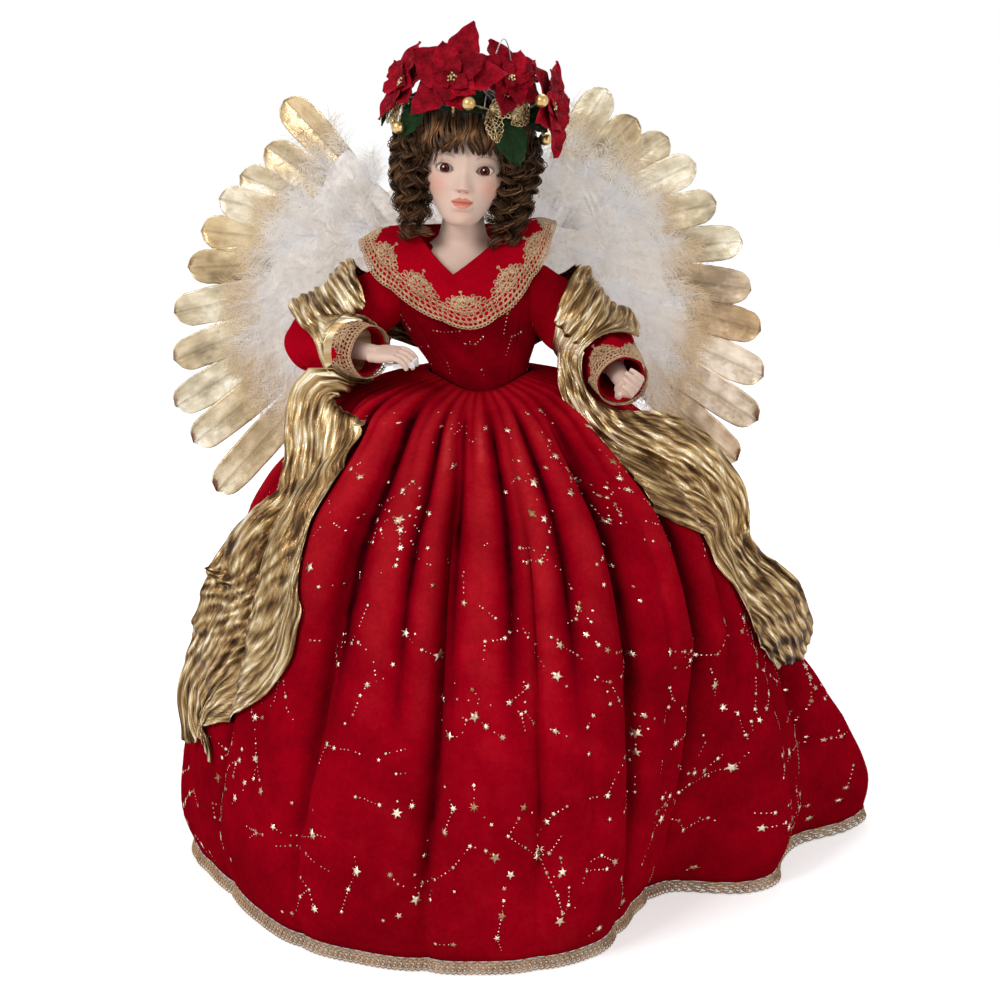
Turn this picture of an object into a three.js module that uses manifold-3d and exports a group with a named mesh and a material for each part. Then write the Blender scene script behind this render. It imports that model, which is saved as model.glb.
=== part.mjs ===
import * as THREE from 'three';
import { mergeVertices } from 'three/addons/utils/BufferGeometryUtils.js';
import Module from 'manifold-3d';

const wasm = await Module();
wasm.setup();

// A table-top angel: a porcelain head and hands on a stuffed body, dressed in red velvet.
// The post stands on the Z axis, X runs to the viewer's right, Y runs to the back and Z runs up.
// Lengths are in millimetres, angles in degrees. A share is a part of the size that it follows.

// Fits and stock
const seatGap = 0.3;
const swellShare = 1.5;
const velvetThickness = 1.2;
const laceThickness = 0.9;
const cardThickness = 2;
const featherThickness = 0.7;
const leafThickness = 0.7;
const wireRadius = 1;

// Main heights, from the hem's floor up
const waistHeight = 302;
const bodiceLength = 75;
const neckHeight = waistHeight + bodiceLength;
const hemRadius = 176;
const hemHeight = 7.5;

// Stand, inside the skirt
const baseHemShare = 0.6023;
const baseRadius = hemRadius * baseHemShare;
const baseThickness = 12;
const baseLedgeHeight = 4;
const baseEdgeRadius = 2;
const postRadius = 7;
const socketDepth = 8;
const formerTopRadius = 23;
const formerDrop = 18;
const formerTopHeight = waistHeight - formerDrop;

// Body
const chestHalfWidth = 46;
const chestHalfDepth = 30;
const bodyLean = -13;
const waistPoint = 8;
const plateThickness = 2.5;
const plateDrop = 25;
const plateHeight = neckHeight - plateDrop;
const postEntry = 40;

// Head
const headRise = 53;
const headHeight = neckHeight + headRise;
const headForward = -8;
const headLean = -11.5;
const headHalfWidth = 24;
const headHalfDepth = 29;
const headHalfHeight = 34.5;
const headRoll = 5;
const neckRadius = 12.8;
const eyeSpacing = 22.6;
const eyeRadius = 5.2;
const eyeInset = 3.4;

// Hair
const hairHalfWidth = 39;
const hairHalfDepth = 36;
const hairRise = 38;
const hairWave = 1.1;
const fringeHeight = 5;
const wigCapGap = 1.3;
const faceOpeningHalfWidth = 23;
const ringletRadius = 6;
const ringletSwing = 3;
const ringletPitch = 17;
const ringletDrop = 46;

// Skirt
const gatherDepth = 3;
const foldDepth = 9;
const hemLaceWidth = 6.4;
const hemLaceFlare = 2.5;

// Collar
const collarHalfWidth = 57;
const collarReach = 41;
const collarFrontDrop = 43;
const collarSideDrop = 5;
const collarBulge = 4;
const collarOpening = 19;

// Arms
const upperArmLength = 58;
const forearmLength = 50;
const stuffedArmRadius = 9;
const stuffingGap = 0.5;
const wristRadius = 5.6;
const sleeveRadius = 19;
const cuffRadius = 14;
const cuffLaceWidth = 13;
const palmLength = 14;
const palmHalfWidth = 7.6;
const palmHalfThickness = 4;
const fingerLength = 13;
const fingerRadius = 1.9;

// Clip in the hand
const clipLength = 13;
const clipWidth = 9;
const clipThickness = 3;
const prongLength = 6;
const prongRadius = 1.1;

// Shawl
const shawlWidth = 62;
const shawlThickness = 1.2;
const shawlCrinkle = 2.2;
const shawlLift = 6.5;
const shawlRest = 3;

// Wings
const wingDepth = 52;
const wingReach = 204;
const wingSpread = 44;
const wingMiddle = -12.5;
const wingDrop = 17;
const wingHeight = neckHeight - wingDrop;
const wingSweep = 7;
const featherWidth = 22;
const featherRoot = 26;
const featherBend = 7;
const featherPitch = 1.15;
const wingPlateThickness = 2.5;
const downThickness = 13;

// Wreath
const petalLength = 27;
const petalWidth = 16;
const leafLength = 24;
const leafWidth = 13;
const meshLeafLength = 22;
const meshLeafWidth = 9;
const berryRadius = 3.75;
const wreathWireRadius = 1.8;
const stemRadius = 0.9;

const { smoothstep, euclideanModulo } = THREE.MathUtils;
const fullTurn = 2 * Math.PI;
const radians = (degrees) => (degrees * Math.PI) / 180;
const vector = (x, y, z) => new THREE.Vector3(x, y, z);
const mix = (from, to, share) => from + (to - from) * share;
const bell = (distance, width) => Math.exp(-((distance / width) ** 2));

// The value in a column of a table at a place, on a smooth curve through its rows of shares.
function follow(table, place, column = 1) {
  const last = table.length - 1;
  if (place <= table[0][0]) return table[0][column];
  if (place >= table[last][0]) return table[last][column];
  const next = table.findIndex((row) => row[0] > place);
  const row = next - 1;
  const span = table[next][0] - table[row][0];
  const along = (place - table[row][0]) / span;
  const slope = (index) => {
    const low = Math.max(index - 1, 0);
    const high = Math.min(index + 1, last);
    return (table[high][column] - table[low][column]) / (table[high][0] - table[low][0]);
  };
  const square = along * along;
  const cube = square * along;
  return (2 * cube - 3 * square + 1) * table[row][column]
    + (cube - 2 * square + along) * span * slope(row)
    + (3 * square - 2 * cube) * table[next][column]
    + (cube - square) * span * slope(next);
}

// A solid from corners and triangles, with its faces turned outwards.
function solidOf(corners, triangles) {
  let volume = 0;
  for (const [a, b, c] of triangles) {
    volume += corners[a].dot(corners[b].clone().cross(corners[c]));
  }
  const order = volume < 0 ? triangles.map(([a, b, c]) => [a, c, b]) : triangles;
  return new wasm.Manifold(new wasm.Mesh({
    numProp: 3,
    vertProperties: new Float32Array(corners.flatMap((corner) => corner.toArray())),
    triVerts: new Uint32Array(order.flat()),
  }));
}

// A solid from one of three.js's own closed geometries.
function solidFrom(geometry) {
  geometry.deleteAttribute('normal');
  geometry.deleteAttribute('uv');
  const merged = mergeVertices(geometry);
  const place = merged.attributes.position;
  const corners = Array.from({ length: place.count }, (_, i) => vector().fromBufferAttribute(place, i));
  const index = Array.from(merged.index.array);
  const triangles = [];
  for (let i = 0; i < index.length; i += 3) {
    const triangle = index.slice(i, i + 3);
    if (new Set(triangle).size === 3) triangles.push(triangle);
  }
  return solidOf(corners, triangles);
}

// A profile of distances from the Z axis and heights, turned round that axis.
function revolve(profile, segments) {
  const points = profile.map(([distance, height]) => new THREE.Vector2(distance, height));
  return solidFrom(new THREE.LatheGeometry(points, segments).rotateX(Math.PI / 2));
}

function extruded(outline, depth, curveSegments = 1) {
  return new THREE.ExtrudeGeometry(outline, { depth, bevelEnabled: false, curveSegments });
}

function cornerNormals(corners, triangles) {
  const normals = corners.map(() => vector(0, 0, 0));
  for (const [a, b, c] of triangles) {
    const face = corners[b].clone().sub(corners[a]).cross(corners[c].clone().sub(corners[a]));
    for (const corner of [a, b, c]) normals[corner].add(face);
  }
  return normals.map((normal) => normal.normalize());
}

// A sheet of one thickness whose face is surface(u, v). It closes on itself across when it wraps.
function sheet(surface, columns, rows, thickness, wraps = false) {
  const across = wraps ? columns : columns + 1;
  const face = [];
  for (let row = 0; row <= rows; row += 1) {
    for (let column = 0; column < across; column += 1) {
      face.push(surface(column / columns, row / rows));
    }
  }
  const at = (column, row) => row * across + (column % across);
  const skin = [];
  for (let row = 0; row < rows; row += 1) {
    for (let column = 0; column < columns; column += 1) {
      const corner = [at(column, row), at(column + 1, row), at(column + 1, row + 1), at(column, row + 1)];
      skin.push([corner[0], corner[1], corner[2]], [corner[0], corner[2], corner[3]]);
    }
  }
  const normals = cornerNormals(face, skin);
  const back = face.map((corner, i) => corner.clone().addScaledVector(normals[i], -thickness));
  const below = face.length;
  const triangles = [...skin, ...skin.map(([a, b, c]) => [a + below, c + below, b + below])];
  const rim = (a, b) => triangles.push([b, a, a + below], [b, a + below, b + below]);
  for (let column = 0; column < columns; column += 1) {
    rim(at(column, 0), at(column + 1, 0));
    rim(at(column + 1, rows), at(column, rows));
  }
  if (!wraps) {
    for (let row = 0; row < rows; row += 1) {
      rim(at(0, row + 1), at(0, row));
      rim(at(columns, row), at(columns, row + 1));
    }
  }
  return solidOf([...face, ...back], triangles);
}

// A skin over rings of as many corners each, closed at both ends by a fan.
function loft(rings) {
  const sides = rings[0].length;
  const corners = rings.flat();
  const triangles = [];
  for (let ring = 0; ring + 1 < rings.length; ring += 1) {
    for (let side = 0; side < sides; side += 1) {
      const a = ring * sides + side;
      const b = ring * sides + ((side + 1) % sides);
      triangles.push([a, b, b + sides], [a, b + sides, a + sides]);
    }
  }
  const cap = (ring, turned) => {
    const middle = corners.length;
    const centre = vector(0, 0, 0);
    for (const corner of rings[ring]) centre.addScaledVector(corner, 1 / sides);
    corners.push(centre);
    for (let side = 0; side < sides; side += 1) {
      const a = ring * sides + side;
      const b = ring * sides + ((side + 1) % sides);
      triangles.push(turned ? [middle, b, a] : [middle, a, b]);
    }
  };
  cap(0, true);
  cap(rings.length - 1, false);
  return solidOf(corners, triangles);
}

function ringOf(sides, corner) {
  return Array.from({ length: sides }, (_, side) => corner((side / sides) * fullTurn));
}

// A tapered round bar along a curve, with its radius given by the share of the way along it.
function bar(curve, steps, sides, radiusAt) {
  const frames = curve.computeFrenetFrames(steps, false);
  const rings = [];
  for (let step = 0; step <= steps; step += 1) {
    const share = step / steps;
    const centre = curve.getPointAt(share);
    rings.push(ringOf(sides, (angle) => centre.clone()
      .addScaledVector(frames.normals[step], Math.cos(angle) * radiusAt(share))
      .addScaledVector(frames.binormals[step], Math.sin(angle) * radiusAt(share))));
  }
  return loft(rings);
}

function ball(centre, radius, columns, rows) {
  return solidFrom(new THREE.SphereGeometry(radius, columns, rows).translate(centre.x, centre.y, centre.z));
}

function cornersOf(solid) {
  const mesh = solid.getMesh();
  const corners = [];
  for (let i = 0; i < mesh.vertProperties.length; i += mesh.numProp) {
    corners.push(vector(mesh.vertProperties[i], mesh.vertProperties[i + 1], mesh.vertProperties[i + 2]));
  }
  const triangles = [];
  for (let i = 0; i < mesh.triVerts.length; i += 3) {
    triangles.push(Array.from(mesh.triVerts.slice(i, i + 3)));
  }
  return { corners, triangles };
}

// The same solid with every face moved out by a distance.
function swell(solid, distance) {
  const { corners, triangles } = cornersOf(solid);
  const normals = cornerNormals(corners, triangles);
  return solidOf(corners.map((corner, i) => corner.clone().addScaledVector(normals[i], distance)), triangles);
}

// The plain shapes that each joined or cut solid was made from. Its neighbours keep clear of these.
const shapesOf = new Map();
const plainShapes = (solid) => (shapesOf.get(solid) ?? [solid]).flatMap((shape) => (
  shape === solid ? [solid] : plainShapes(shape)
));

function join(solids) {
  const whole = solids.reduce((joined, solid) => joined.add(solid));
  shapesOf.set(whole, solids);
  return whole;
}

// What is left of a solid round its neighbours, with a gap between them. Crumbs fall off.
function clearOf(solid, neighbours, gap = seatGap) {
  const room = neighbours.flatMap(plainShapes).map((shape) => swell(shape, gap * swellShare));
  const left = room.reduce((whole, shape) => whole.subtract(shape), solid);
  const larger = (one, other) => (other.volume() > one.volume() ? other : one);
  const kept = left.decompose().reduce(larger);
  shapesOf.set(kept, [solid]);
  return kept;
}

function moved(solid, matrix) {
  const { corners, triangles } = cornersOf(solid);
  const result = solidOf(corners.map((corner) => corner.applyMatrix4(matrix)), triangles);
  if (shapesOf.has(solid)) shapesOf.set(result, plainShapes(solid).map((shape) => moved(shape, matrix)));
  return result;
}

// Stand

// The card cone is this wide at a height, measured over its outside.
function formerRadius(height) {
  return mix(baseRadius, formerTopRadius, (height - baseLedgeHeight) / (formerTopHeight - baseLedgeHeight));
}

// The base plugs the foot of the cone, which stands on its ledge.
function makeBase() {
  const bore = postRadius + seatGap;
  const floor = baseThickness - socketDepth;
  const plug = (height) => formerRadius(height) - cardThickness - seatGap;
  return revolve([
    [0, 0], [baseRadius, 0], [baseRadius, baseLedgeHeight], [plug(baseLedgeHeight), baseLedgeHeight],
    [plug(baseThickness - baseEdgeRadius), baseThickness - baseEdgeRadius],
    [plug(baseThickness) - baseEdgeRadius, baseThickness],
    [bore, baseThickness], [bore, floor], [0, floor],
  ], 24);
}

function makePost() {
  const foot = baseThickness - socketDepth + seatGap;
  const top = formerTopHeight + postEntry;
  return revolve([[0, foot], [postRadius, foot], [postRadius, top], [0, top]], 16);
}

function makeFormer() {
  const foot = baseLedgeHeight + seatGap;
  const hole = postRadius + seatGap;
  const under = formerTopHeight - cardThickness;
  return revolve([
    [formerRadius(foot) - cardThickness, foot], [formerRadius(foot), foot],
    [formerTopRadius, formerTopHeight], [hole, formerTopHeight],
    [hole, under], [formerRadius(under) - cardThickness, under],
    [formerRadius(foot) - cardThickness, foot],
  ], 24);
}

// Body. Each row of shares: height from waist to neck, lean, half width and half depth.
const bodyShares = [
  [-0.3, 0.2, 0.6, 0.62], [0, 0.32, 0.61, 0.68], [0.25, 0.6, 0.79, 0.86], [0.5, 0.9, 0.94, 1],
  [0.66, 1, 1, 0.97], [0.8, 1.05, 0.94, 0.82], [0.92, 1.08, 0.7, 0.66], [1, 1.08, 0.42, 0.54],
];

function bodyPoint(azimuth, height, lift) {
  const share = (height - waistHeight) / (neckHeight - waistHeight);
  const halfWidth = follow(bodyShares, share, 2) * chestHalfWidth + lift;
  const halfDepth = follow(bodyShares, share, 3) * chestHalfDepth + lift;
  return vector(
    follow(bodyShares, share, 1) * bodyLean + halfWidth * Math.sin(azimuth),
    -halfDepth * Math.cos(azimuth),
    height,
  );
}

const bodyRing = (height, lift) => ringOf(16, (azimuth) => bodyPoint(azimuth, height, lift));

// Every layer of the body has its rings on the same rungs, so that the layers stay parallel.
function bodyRings(from, to, lift) {
  const rungs = [-0.1, 0, 0.2, 0.42, 0.78, 0.92];
  const heights = rungs.map((share) => mix(waistHeight, neckHeight, share));
  heights.push(plateHeight - seatGap, plateHeight);
  heights.sort((a, b) => a - b);
  return [from, ...heights.filter((height) => height > from && height < to), to]
    .map((height) => bodyRing(height, lift));
}

const bodyLoft = (from, to, lift) => loft(bodyRings(from, to, lift));

const insideBodice = -(velvetThickness + seatGap);
const insidePlate = insideBodice - plateThickness - seatGap;

// The stuffed torso has a ledge that the porcelain shoulder plate sits on.
function makeTorso(post) {
  const stuffed = loft([
    ...bodyRings(formerTopHeight + seatGap, plateHeight - seatGap, insideBodice),
    ...bodyRings(plateHeight - seatGap, neckHeight - plateThickness - seatGap, insidePlate),
  ]);
  return clearOf(stuffed, [post]);
}

// Head, rolled a little about the line from front to back.
// Rows: height, forward, half width and half depth.
const headShares = [
  [-1, 0.56, 0.2, 0.2], [-0.96, 0.5, 0.42, 0.36], [-0.87, 0.42, 0.58, 0.5], [-0.7, 0.27, 0.74, 0.66],
  [-0.46, 0.1, 0.9, 0.86], [-0.2, 0, 0.985, 0.97], [0.14, 0, 1, 1], [0.43, 0, 0.93, 0.95],
  [0.67, 0, 0.78, 0.8], [0.84, 0, 0.57, 0.58], [0.96, 0, 0.3, 0.3], [1, 0, 0.1, 0.1],
];
const mouthHeightShare = -0.7;
const noseTipShare = -0.46;
const eyeHeightShare = -0.2;
const noseShares = { length: 0.21, width: 0.12, top: -0.02 };
const lipShares = { length: 0.065, width: 0.24, height: 0.06, apart: 0.05 };
const socketShares = { depth: 0.085, width: 0.24, height: 0.13 };
const chinShares = { length: 0.06, width: 0.3, height: 0.1, place: -0.9 };
const cheekShares = { length: 0.055, apart: 0.6, width: 0.3, height: 0.22, place: -0.5 };

// How far the face stands out in front of the plain oval, at shares of its half width and half height.
function faceRelief(across, up) {
  const side = Math.abs(across);
  const bridge = smoothstep(noseShares.top - up, 0, noseShares.top - noseTipShare);
  const under = 1 - smoothstep(noseTipShare - up, 0, 0.06);
  const nose = noseShares.length * (0.25 + 0.75 * bridge ** 1.6) * under * bell(across, noseShares.width)
    * smoothstep(0.12 - up, 0, 0.2);
  const lips = lipShares.length * bell(across, lipShares.width)
    * (bell(up - mouthHeightShare - lipShares.apart, lipShares.height)
      + bell(up - mouthHeightShare + lipShares.apart, lipShares.height));
  const socket = socketShares.depth * bell(side - eyeSpacing / headHalfWidth / 2, socketShares.width)
    * bell(up - eyeHeightShare, socketShares.height);
  const chin = chinShares.length * bell(across, chinShares.width)
    * bell(up - chinShares.place, chinShares.height);
  const cheek = cheekShares.length * bell(side - cheekShares.apart, cheekShares.width)
    * bell(up - cheekShares.place, cheekShares.height);
  return (nose + lips - socket + chin + cheek) * headHalfDepth;
}

function headPoint(azimuth, up, lift) {
  const across = Math.sin(azimuth) * follow(headShares, up, 2);
  const front = Math.max(0, Math.cos(azimuth));
  const relief = faceRelief(across, up) * smoothstep(front, 0.2, 0.7);
  return vector(
    across * headHalfWidth + lift * Math.sin(azimuth),
    -follow(headShares, up, 1) * headHalfDepth
      - Math.cos(azimuth) * (follow(headShares, up, 3) * headHalfDepth + lift) - relief,
    up * headHalfHeight,
  );
}

// Columns and rows crowd together on the face.
const faceColumn = (share) => {
  const turned = 2 * share - 1;
  return Math.PI * (turned - 0.2 * Math.sin(Math.PI * turned));
};
const faceRow = (share) => {
  const crowded = share + 0.08 * (Math.sin(fullTurn * (share + 0.2)) - Math.sin(fullTurn * 0.2));
  return 2 * crowded - 1;
};

const headPlace = new THREE.Matrix4()
  .makeTranslation(headLean, headForward, headHeight)
  .multiply(new THREE.Matrix4().makeRotationY(radians(headRoll)));

function skull() {
  const columns = 22;
  const rows = 14;
  const rings = [];
  for (let row = 0; row <= rows; row += 1) {
    const up = faceRow(row / rows);
    rings.push(Array.from({ length: columns }, (_, column) => (
      headPoint(faceColumn((column + 0.5) / columns), up, 0)
    )));
  }
  return moved(loft(rings), headPlace);
}

function eyeCentre(side) {
  const across = (side * eyeSpacing) / 2;
  const azimuth = Math.asin(across / headHalfWidth / follow(headShares, eyeHeightShare, 2));
  const front = headPoint(azimuth, eyeHeightShare, 0);
  return vector(across, front.y + eyeInset, front.z).applyMatrix4(headPlace);
}

function makeEye(side) {
  return ball(eyeCentre(side), eyeRadius, 10, 6);
}

const neckShares = [[0, 1.3], [0.2, 1.12], [0.4, 1], [0.7, 0.97], [1, 1]];

function neckLoft(lift) {
  const chinUnderside = headHeight - headHalfHeight * 0.72;
  const rows = 5;
  const rings = [];
  for (let row = 0; row <= rows; row += 1) {
    const share = row / rows;
    const height = mix(neckHeight - plateThickness * 0.8, chinUnderside, share);
    const centre = mix(bodyLean * 1.08, headLean * 1.12, share);
    const radius = neckRadius * follow(neckShares, share) + lift;
    rings.push(ringOf(14, (azimuth) => vector(
      centre + radius * Math.sin(azimuth),
      mix(0, headForward * 0.6, share) - radius * Math.cos(azimuth),
      height,
    )));
  }
  return loft(rings);
}

function makeHead(eyes) {
  const lining = insideBodice - plateThickness;
  const hollow = bodyLoft(plateHeight - plateThickness, neckHeight - plateThickness, lining);
  const plate = bodyLoft(plateHeight, neckHeight, insideBodice).subtract(hollow);
  return clearOf(join([skull(), neckLoft(0), plate]), eyes);
}

// Hair. Rows: height from the head's middle, half width and half depth.
const hairShares = [
  [-0.62, 0.84, 0.84], [-0.3, 0.96, 0.94], [0.1, 1, 1], [0.4, 0.99, 0.98], [0.6, 0.9, 0.9],
  [0.78, 0.7, 0.72], [0.92, 0.42, 0.45], [1, 0.12, 0.14],
];
const hairBackShare = 0.1;
const templeShare = 1.15;
const ringletTurns = [62, 90, 120, 152];
const ringletLengthShares = [0.98, 0.88, 0.86, 0.9];

function hairPoint(azimuth, up, lift) {
  const wave = hairWave * Math.cos(14 * azimuth) * Math.cos(fullTurn * up);
  return vector(
    (follow(hairShares, up, 1) * hairHalfWidth + wave + lift) * Math.sin(azimuth),
    hairHalfDepth * hairBackShare
      - (follow(hairShares, up, 2) * hairHalfDepth + wave + lift) * Math.cos(azimuth),
    up * hairRise,
  );
}

function ringlet(turn, lengthShare) {
  const start = hairPoint(radians(turn), 0.35, -ringletRadius - ringletSwing);
  const foot = hairPoint(radians(turn), -0.3, -ringletRadius * 0.7);
  const length = start.z + ringletDrop * lengthShare;
  const points = [];
  const steps = 9;
  for (let step = 0; step <= steps; step += 1) {
    const share = step / steps;
    const angle = (fullTurn * share * length) / ringletPitch;
    points.push(vector(
      mix(start.x, foot.x, share) + ringletSwing * Math.cos(angle),
      mix(start.y, foot.y, share) + ringletSwing * Math.sin(angle),
      start.z - length * share,
    ));
  }
  const curve = new THREE.CatmullRomCurve3(points);
  return bar(curve, steps, 4, (share) => ringletRadius * (1 - 0.45 * share ** 3));
}

function makeWig(collar) {
  const rings = [];
  const rows = 8;
  for (let row = 0; row <= rows; row += 1) {
    const up = mix(hairShares[0][0], 1, row / rows);
    rings.push(ringOf(24, (azimuth) => hairPoint(azimuth, up, 0)));
  }
  const scalp = headShares.map(([up]) => ringOf(16, (azimuth) => headPoint(azimuth, up, wigCapGap)));
  const opening = new THREE.Shape();
  const temple = faceOpeningHalfWidth * templeShare;
  opening.moveTo(-faceOpeningHalfWidth, -hairRise);
  opening.lineTo(faceOpeningHalfWidth, -hairRise);
  opening.quadraticCurveTo(temple, fringeHeight, 0, fringeHeight);
  opening.quadraticCurveTo(-temple, fringeHeight, -faceOpeningHalfWidth, -hairRise);
  const window = extruded(opening, 2 * hairHalfDepth, 8).rotateX(Math.PI / 2).translate(0, headForward, 0);
  const locks = [];
  for (const side of [-1, 1]) {
    ringletTurns.forEach((turn, i) => locks.push(ringlet(side * turn, ringletLengthShares[i])));
  }
  const hair = join([loft(rings).subtract(solidFrom(window)), ...locks]).subtract(loft(scalp));
  return clearOf(moved(hair, headPlace).subtract(neckLoft(seatGap)), [collar]);
}

// Skirt

const hemShares = [
  [-180, 0.93], [-150, 0.97], [-120, 1], [-90, 0.99], [-83, 0.965], [-77, 0.93], [-66, 0.905], [-60, 0.905],
  [-47, 0.93], [-37, 0.955], [-25, 0.955], [-12, 0.95], [-1, 0.945], [10, 0.93], [23, 0.87], [34, 0.75],
  [44, 0.67], [56, 0.65], [61, 0.7], [66, 0.89], [73, 0.98], [84, 0.98], [92, 1.06], [97, 1.25], [103, 1.36],
  [110, 1.28], [124, 1.08], [150, 0.98], [180, 0.93],
];
// Rows: height as a share of the waist height, and half width as a share of the hem radius.
const bellShares = [
  [0, 1], [0.11, 1.06], [0.32, 1.005], [0.54, 0.88], [0.7, 0.795], [0.79, 0.715], [0.86, 0.6],
  [0.92, 0.43], [0.955, 0.3], [0.985, 0.19], [1, 0.167],
];
// Deep folds that fall from the gathers. Rows: turn from the front, depth share, width in degrees.
const foldShares = [
  [-152, 0.7, 7], [-128, 0.8, 8], [-104, 0.7, 6], [-80, 0.6, 6], [-58, 0.8, 7], [-38, 0.7, 6], [-20, 0.8, 5],
  [-7, 1.1, 4], [10, 1, 5], [30, 1.2, 7], [50, 1.1, 8], [70, 0.7, 6], [92, 0.9, 6], [116, 0.8, 7],
  [140, 0.7, 7], [164, 0.8, 8],
];

const skirtColumns = 48;

function seamHeight(azimuth) {
  return waistHeight - waistPoint * Math.max(0, Math.cos(azimuth)) ** 4;
}

function skirtPoint(azimuth, height, lift) {
  const share = height / waistHeight;
  const degrees = euclideanModulo((azimuth * 180) / Math.PI + 180, 360) - 180;
  const flare = Math.max(0, 1 - share / 0.55) ** 0.85;
  const round = follow(bellShares, share) * hemRadius * mix(1, follow(hemShares, degrees), flare);
  const gathered = smoothstep(share, 0.6, 0.88) * (1 - smoothstep(share, 0.96, 1));
  const gathers = gatherDepth * Math.cos((skirtColumns / 2) * azimuth) * gathered;
  const fade = smoothstep(share, 0.02, 0.4) * (1 - smoothstep(share, 0.82, 0.98));
  let folds = 0;
  for (const [turn, depthShare, width] of foldShares) {
    const apart = euclideanModulo(degrees - turn + 180, 360) - 180;
    folds += depthShare * bell(apart, width);
  }
  const radius = round + gathers - foldDepth * folds * fade + lift;
  const narrow = smoothstep(share, 0.82, 1);
  return vector(
    bodyLean * 0.32 * narrow + radius * Math.sin(azimuth),
    -radius * Math.cos(azimuth) * mix(1, 0.78, narrow),
    height,
  );
}

// The share runs from the hem up to the seam at the waist.
function skirtFace(turnShare, share) {
  const azimuth = fullTurn * turnShare;
  const rise = 1 - (1 - share) ** 1.5;
  return skirtPoint(azimuth, mix(hemHeight, seamHeight(azimuth), rise), 0);
}

function makeSkirt(bodice, former) {
  return clearOf(sheet(skirtFace, skirtColumns, 7, velvetThickness, true), [bodice, former]);
}

function makeHemLace() {
  const surface = (turnShare, share) => {
    const azimuth = fullTurn * turnShare;
    const height = hemHeight - seatGap - hemLaceWidth * (1 - share);
    return skirtPoint(azimuth, hemHeight, hemLaceFlare * (1 - share)).setZ(height);
  };
  return sheet(surface, skirtColumns, 1, laceThickness, true);
}

// Bodice: a velvet shell from inside the skirt's seam to the neck, open where the arms leave it.
function makeBodice(arms) {
  const foot = waistHeight - waistPoint - velvetThickness;
  const lining = bodyLoft(foot - waistPoint, neckHeight + waistPoint, -velvetThickness);
  return clearOf(bodyLoft(foot, neckHeight, 0).subtract(lining), arms);
}

// Arms. Each has the place of its shoulder on the body, the directions of its upper arm and forearm,
// how its hand reaches on from there, which way the back of the hand faces, and the curl of its fingers.
const armShares = {
  left: {
    side: -1, shoulder: [-0.8, 0, 0.66], upper: [-0.78, -0.12, -0.52], lower: [0.7, -0.68, 0.02],
    reach: [0.9, -0.1, 0.16], back: [0, -0.35, 1], curl: 38,
  },
  right: {
    side: 1, shoulder: [0.76, 0, 0.66], upper: [0.74, -0.1, -0.6], lower: [0.22, -0.94, -0.2],
    reach: [0.25, -0.1, 0.35], back: [0.75, 0.1, -0.6], curl: 62,
  },
};

function armPoints({ shoulder, upper, lower }) {
  const start = vector(
    bodyLean + shoulder[0] * chestHalfWidth,
    shoulder[1] * chestHalfDepth,
    mix(waistHeight, neckHeight, shoulder[2]),
  );
  const elbow = start.clone().addScaledVector(vector(...upper).normalize(), upperArmLength);
  const wrist = elbow.clone().addScaledVector(vector(...lower).normalize(), forearmLength);
  return { start, elbow, wrist };
}

function armCurve(arm) {
  const { start, elbow, wrist } = armPoints(arm);
  const middle = start.clone().lerp(elbow, 0.5).addScaledVector(vector(0, 0, 1), stuffedArmRadius * 0.4);
  return new THREE.CatmullRomCurve3([start, middle, elbow, elbow.clone().lerp(wrist, 0.5), wrist]);
}

// The stuffed arm ends part of the way down the forearm, where the porcelain begins.
const porcelainShare = 0.7;

function makeUpperArm(arm, hand, torso, head) {
  const { start, elbow, wrist } = armPoints(arm);
  const middle = armCurve(arm).getPointAt(0.25);
  const end = wrist.clone().lerp(elbow, porcelainShare - 0.04);
  const curve = new THREE.CatmullRomCurve3([start, middle, elbow, end]);
  const stuffed = bar(curve, 5, 8, (share) => stuffedArmRadius * mix(1.1, 1, share));
  return clearOf(stuffed, [hand, torso, head], stuffingGap);
}

// Hand: a porcelain forearm, a palm and five fingers. The palm faces down on one side and in on the other.
const fingerShares = [
  { across: -0.75, length: 0.86 }, { across: -0.25, length: 1 },
  { across: 0.25, length: 0.96 }, { across: 0.75, length: 0.8 },
];

function handFrame(arm) {
  const { elbow, wrist } = armPoints(arm);
  const forearm = wrist.clone().sub(elbow).normalize();
  const along = forearm.clone().add(vector(...arm.reach)).normalize();
  const back = vector(...arm.back);
  back.addScaledVector(along, -back.dot(along)).normalize();
  const across = along.clone().cross(back).normalize();
  return { wrist, forearm, along, back, across };
}

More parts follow.
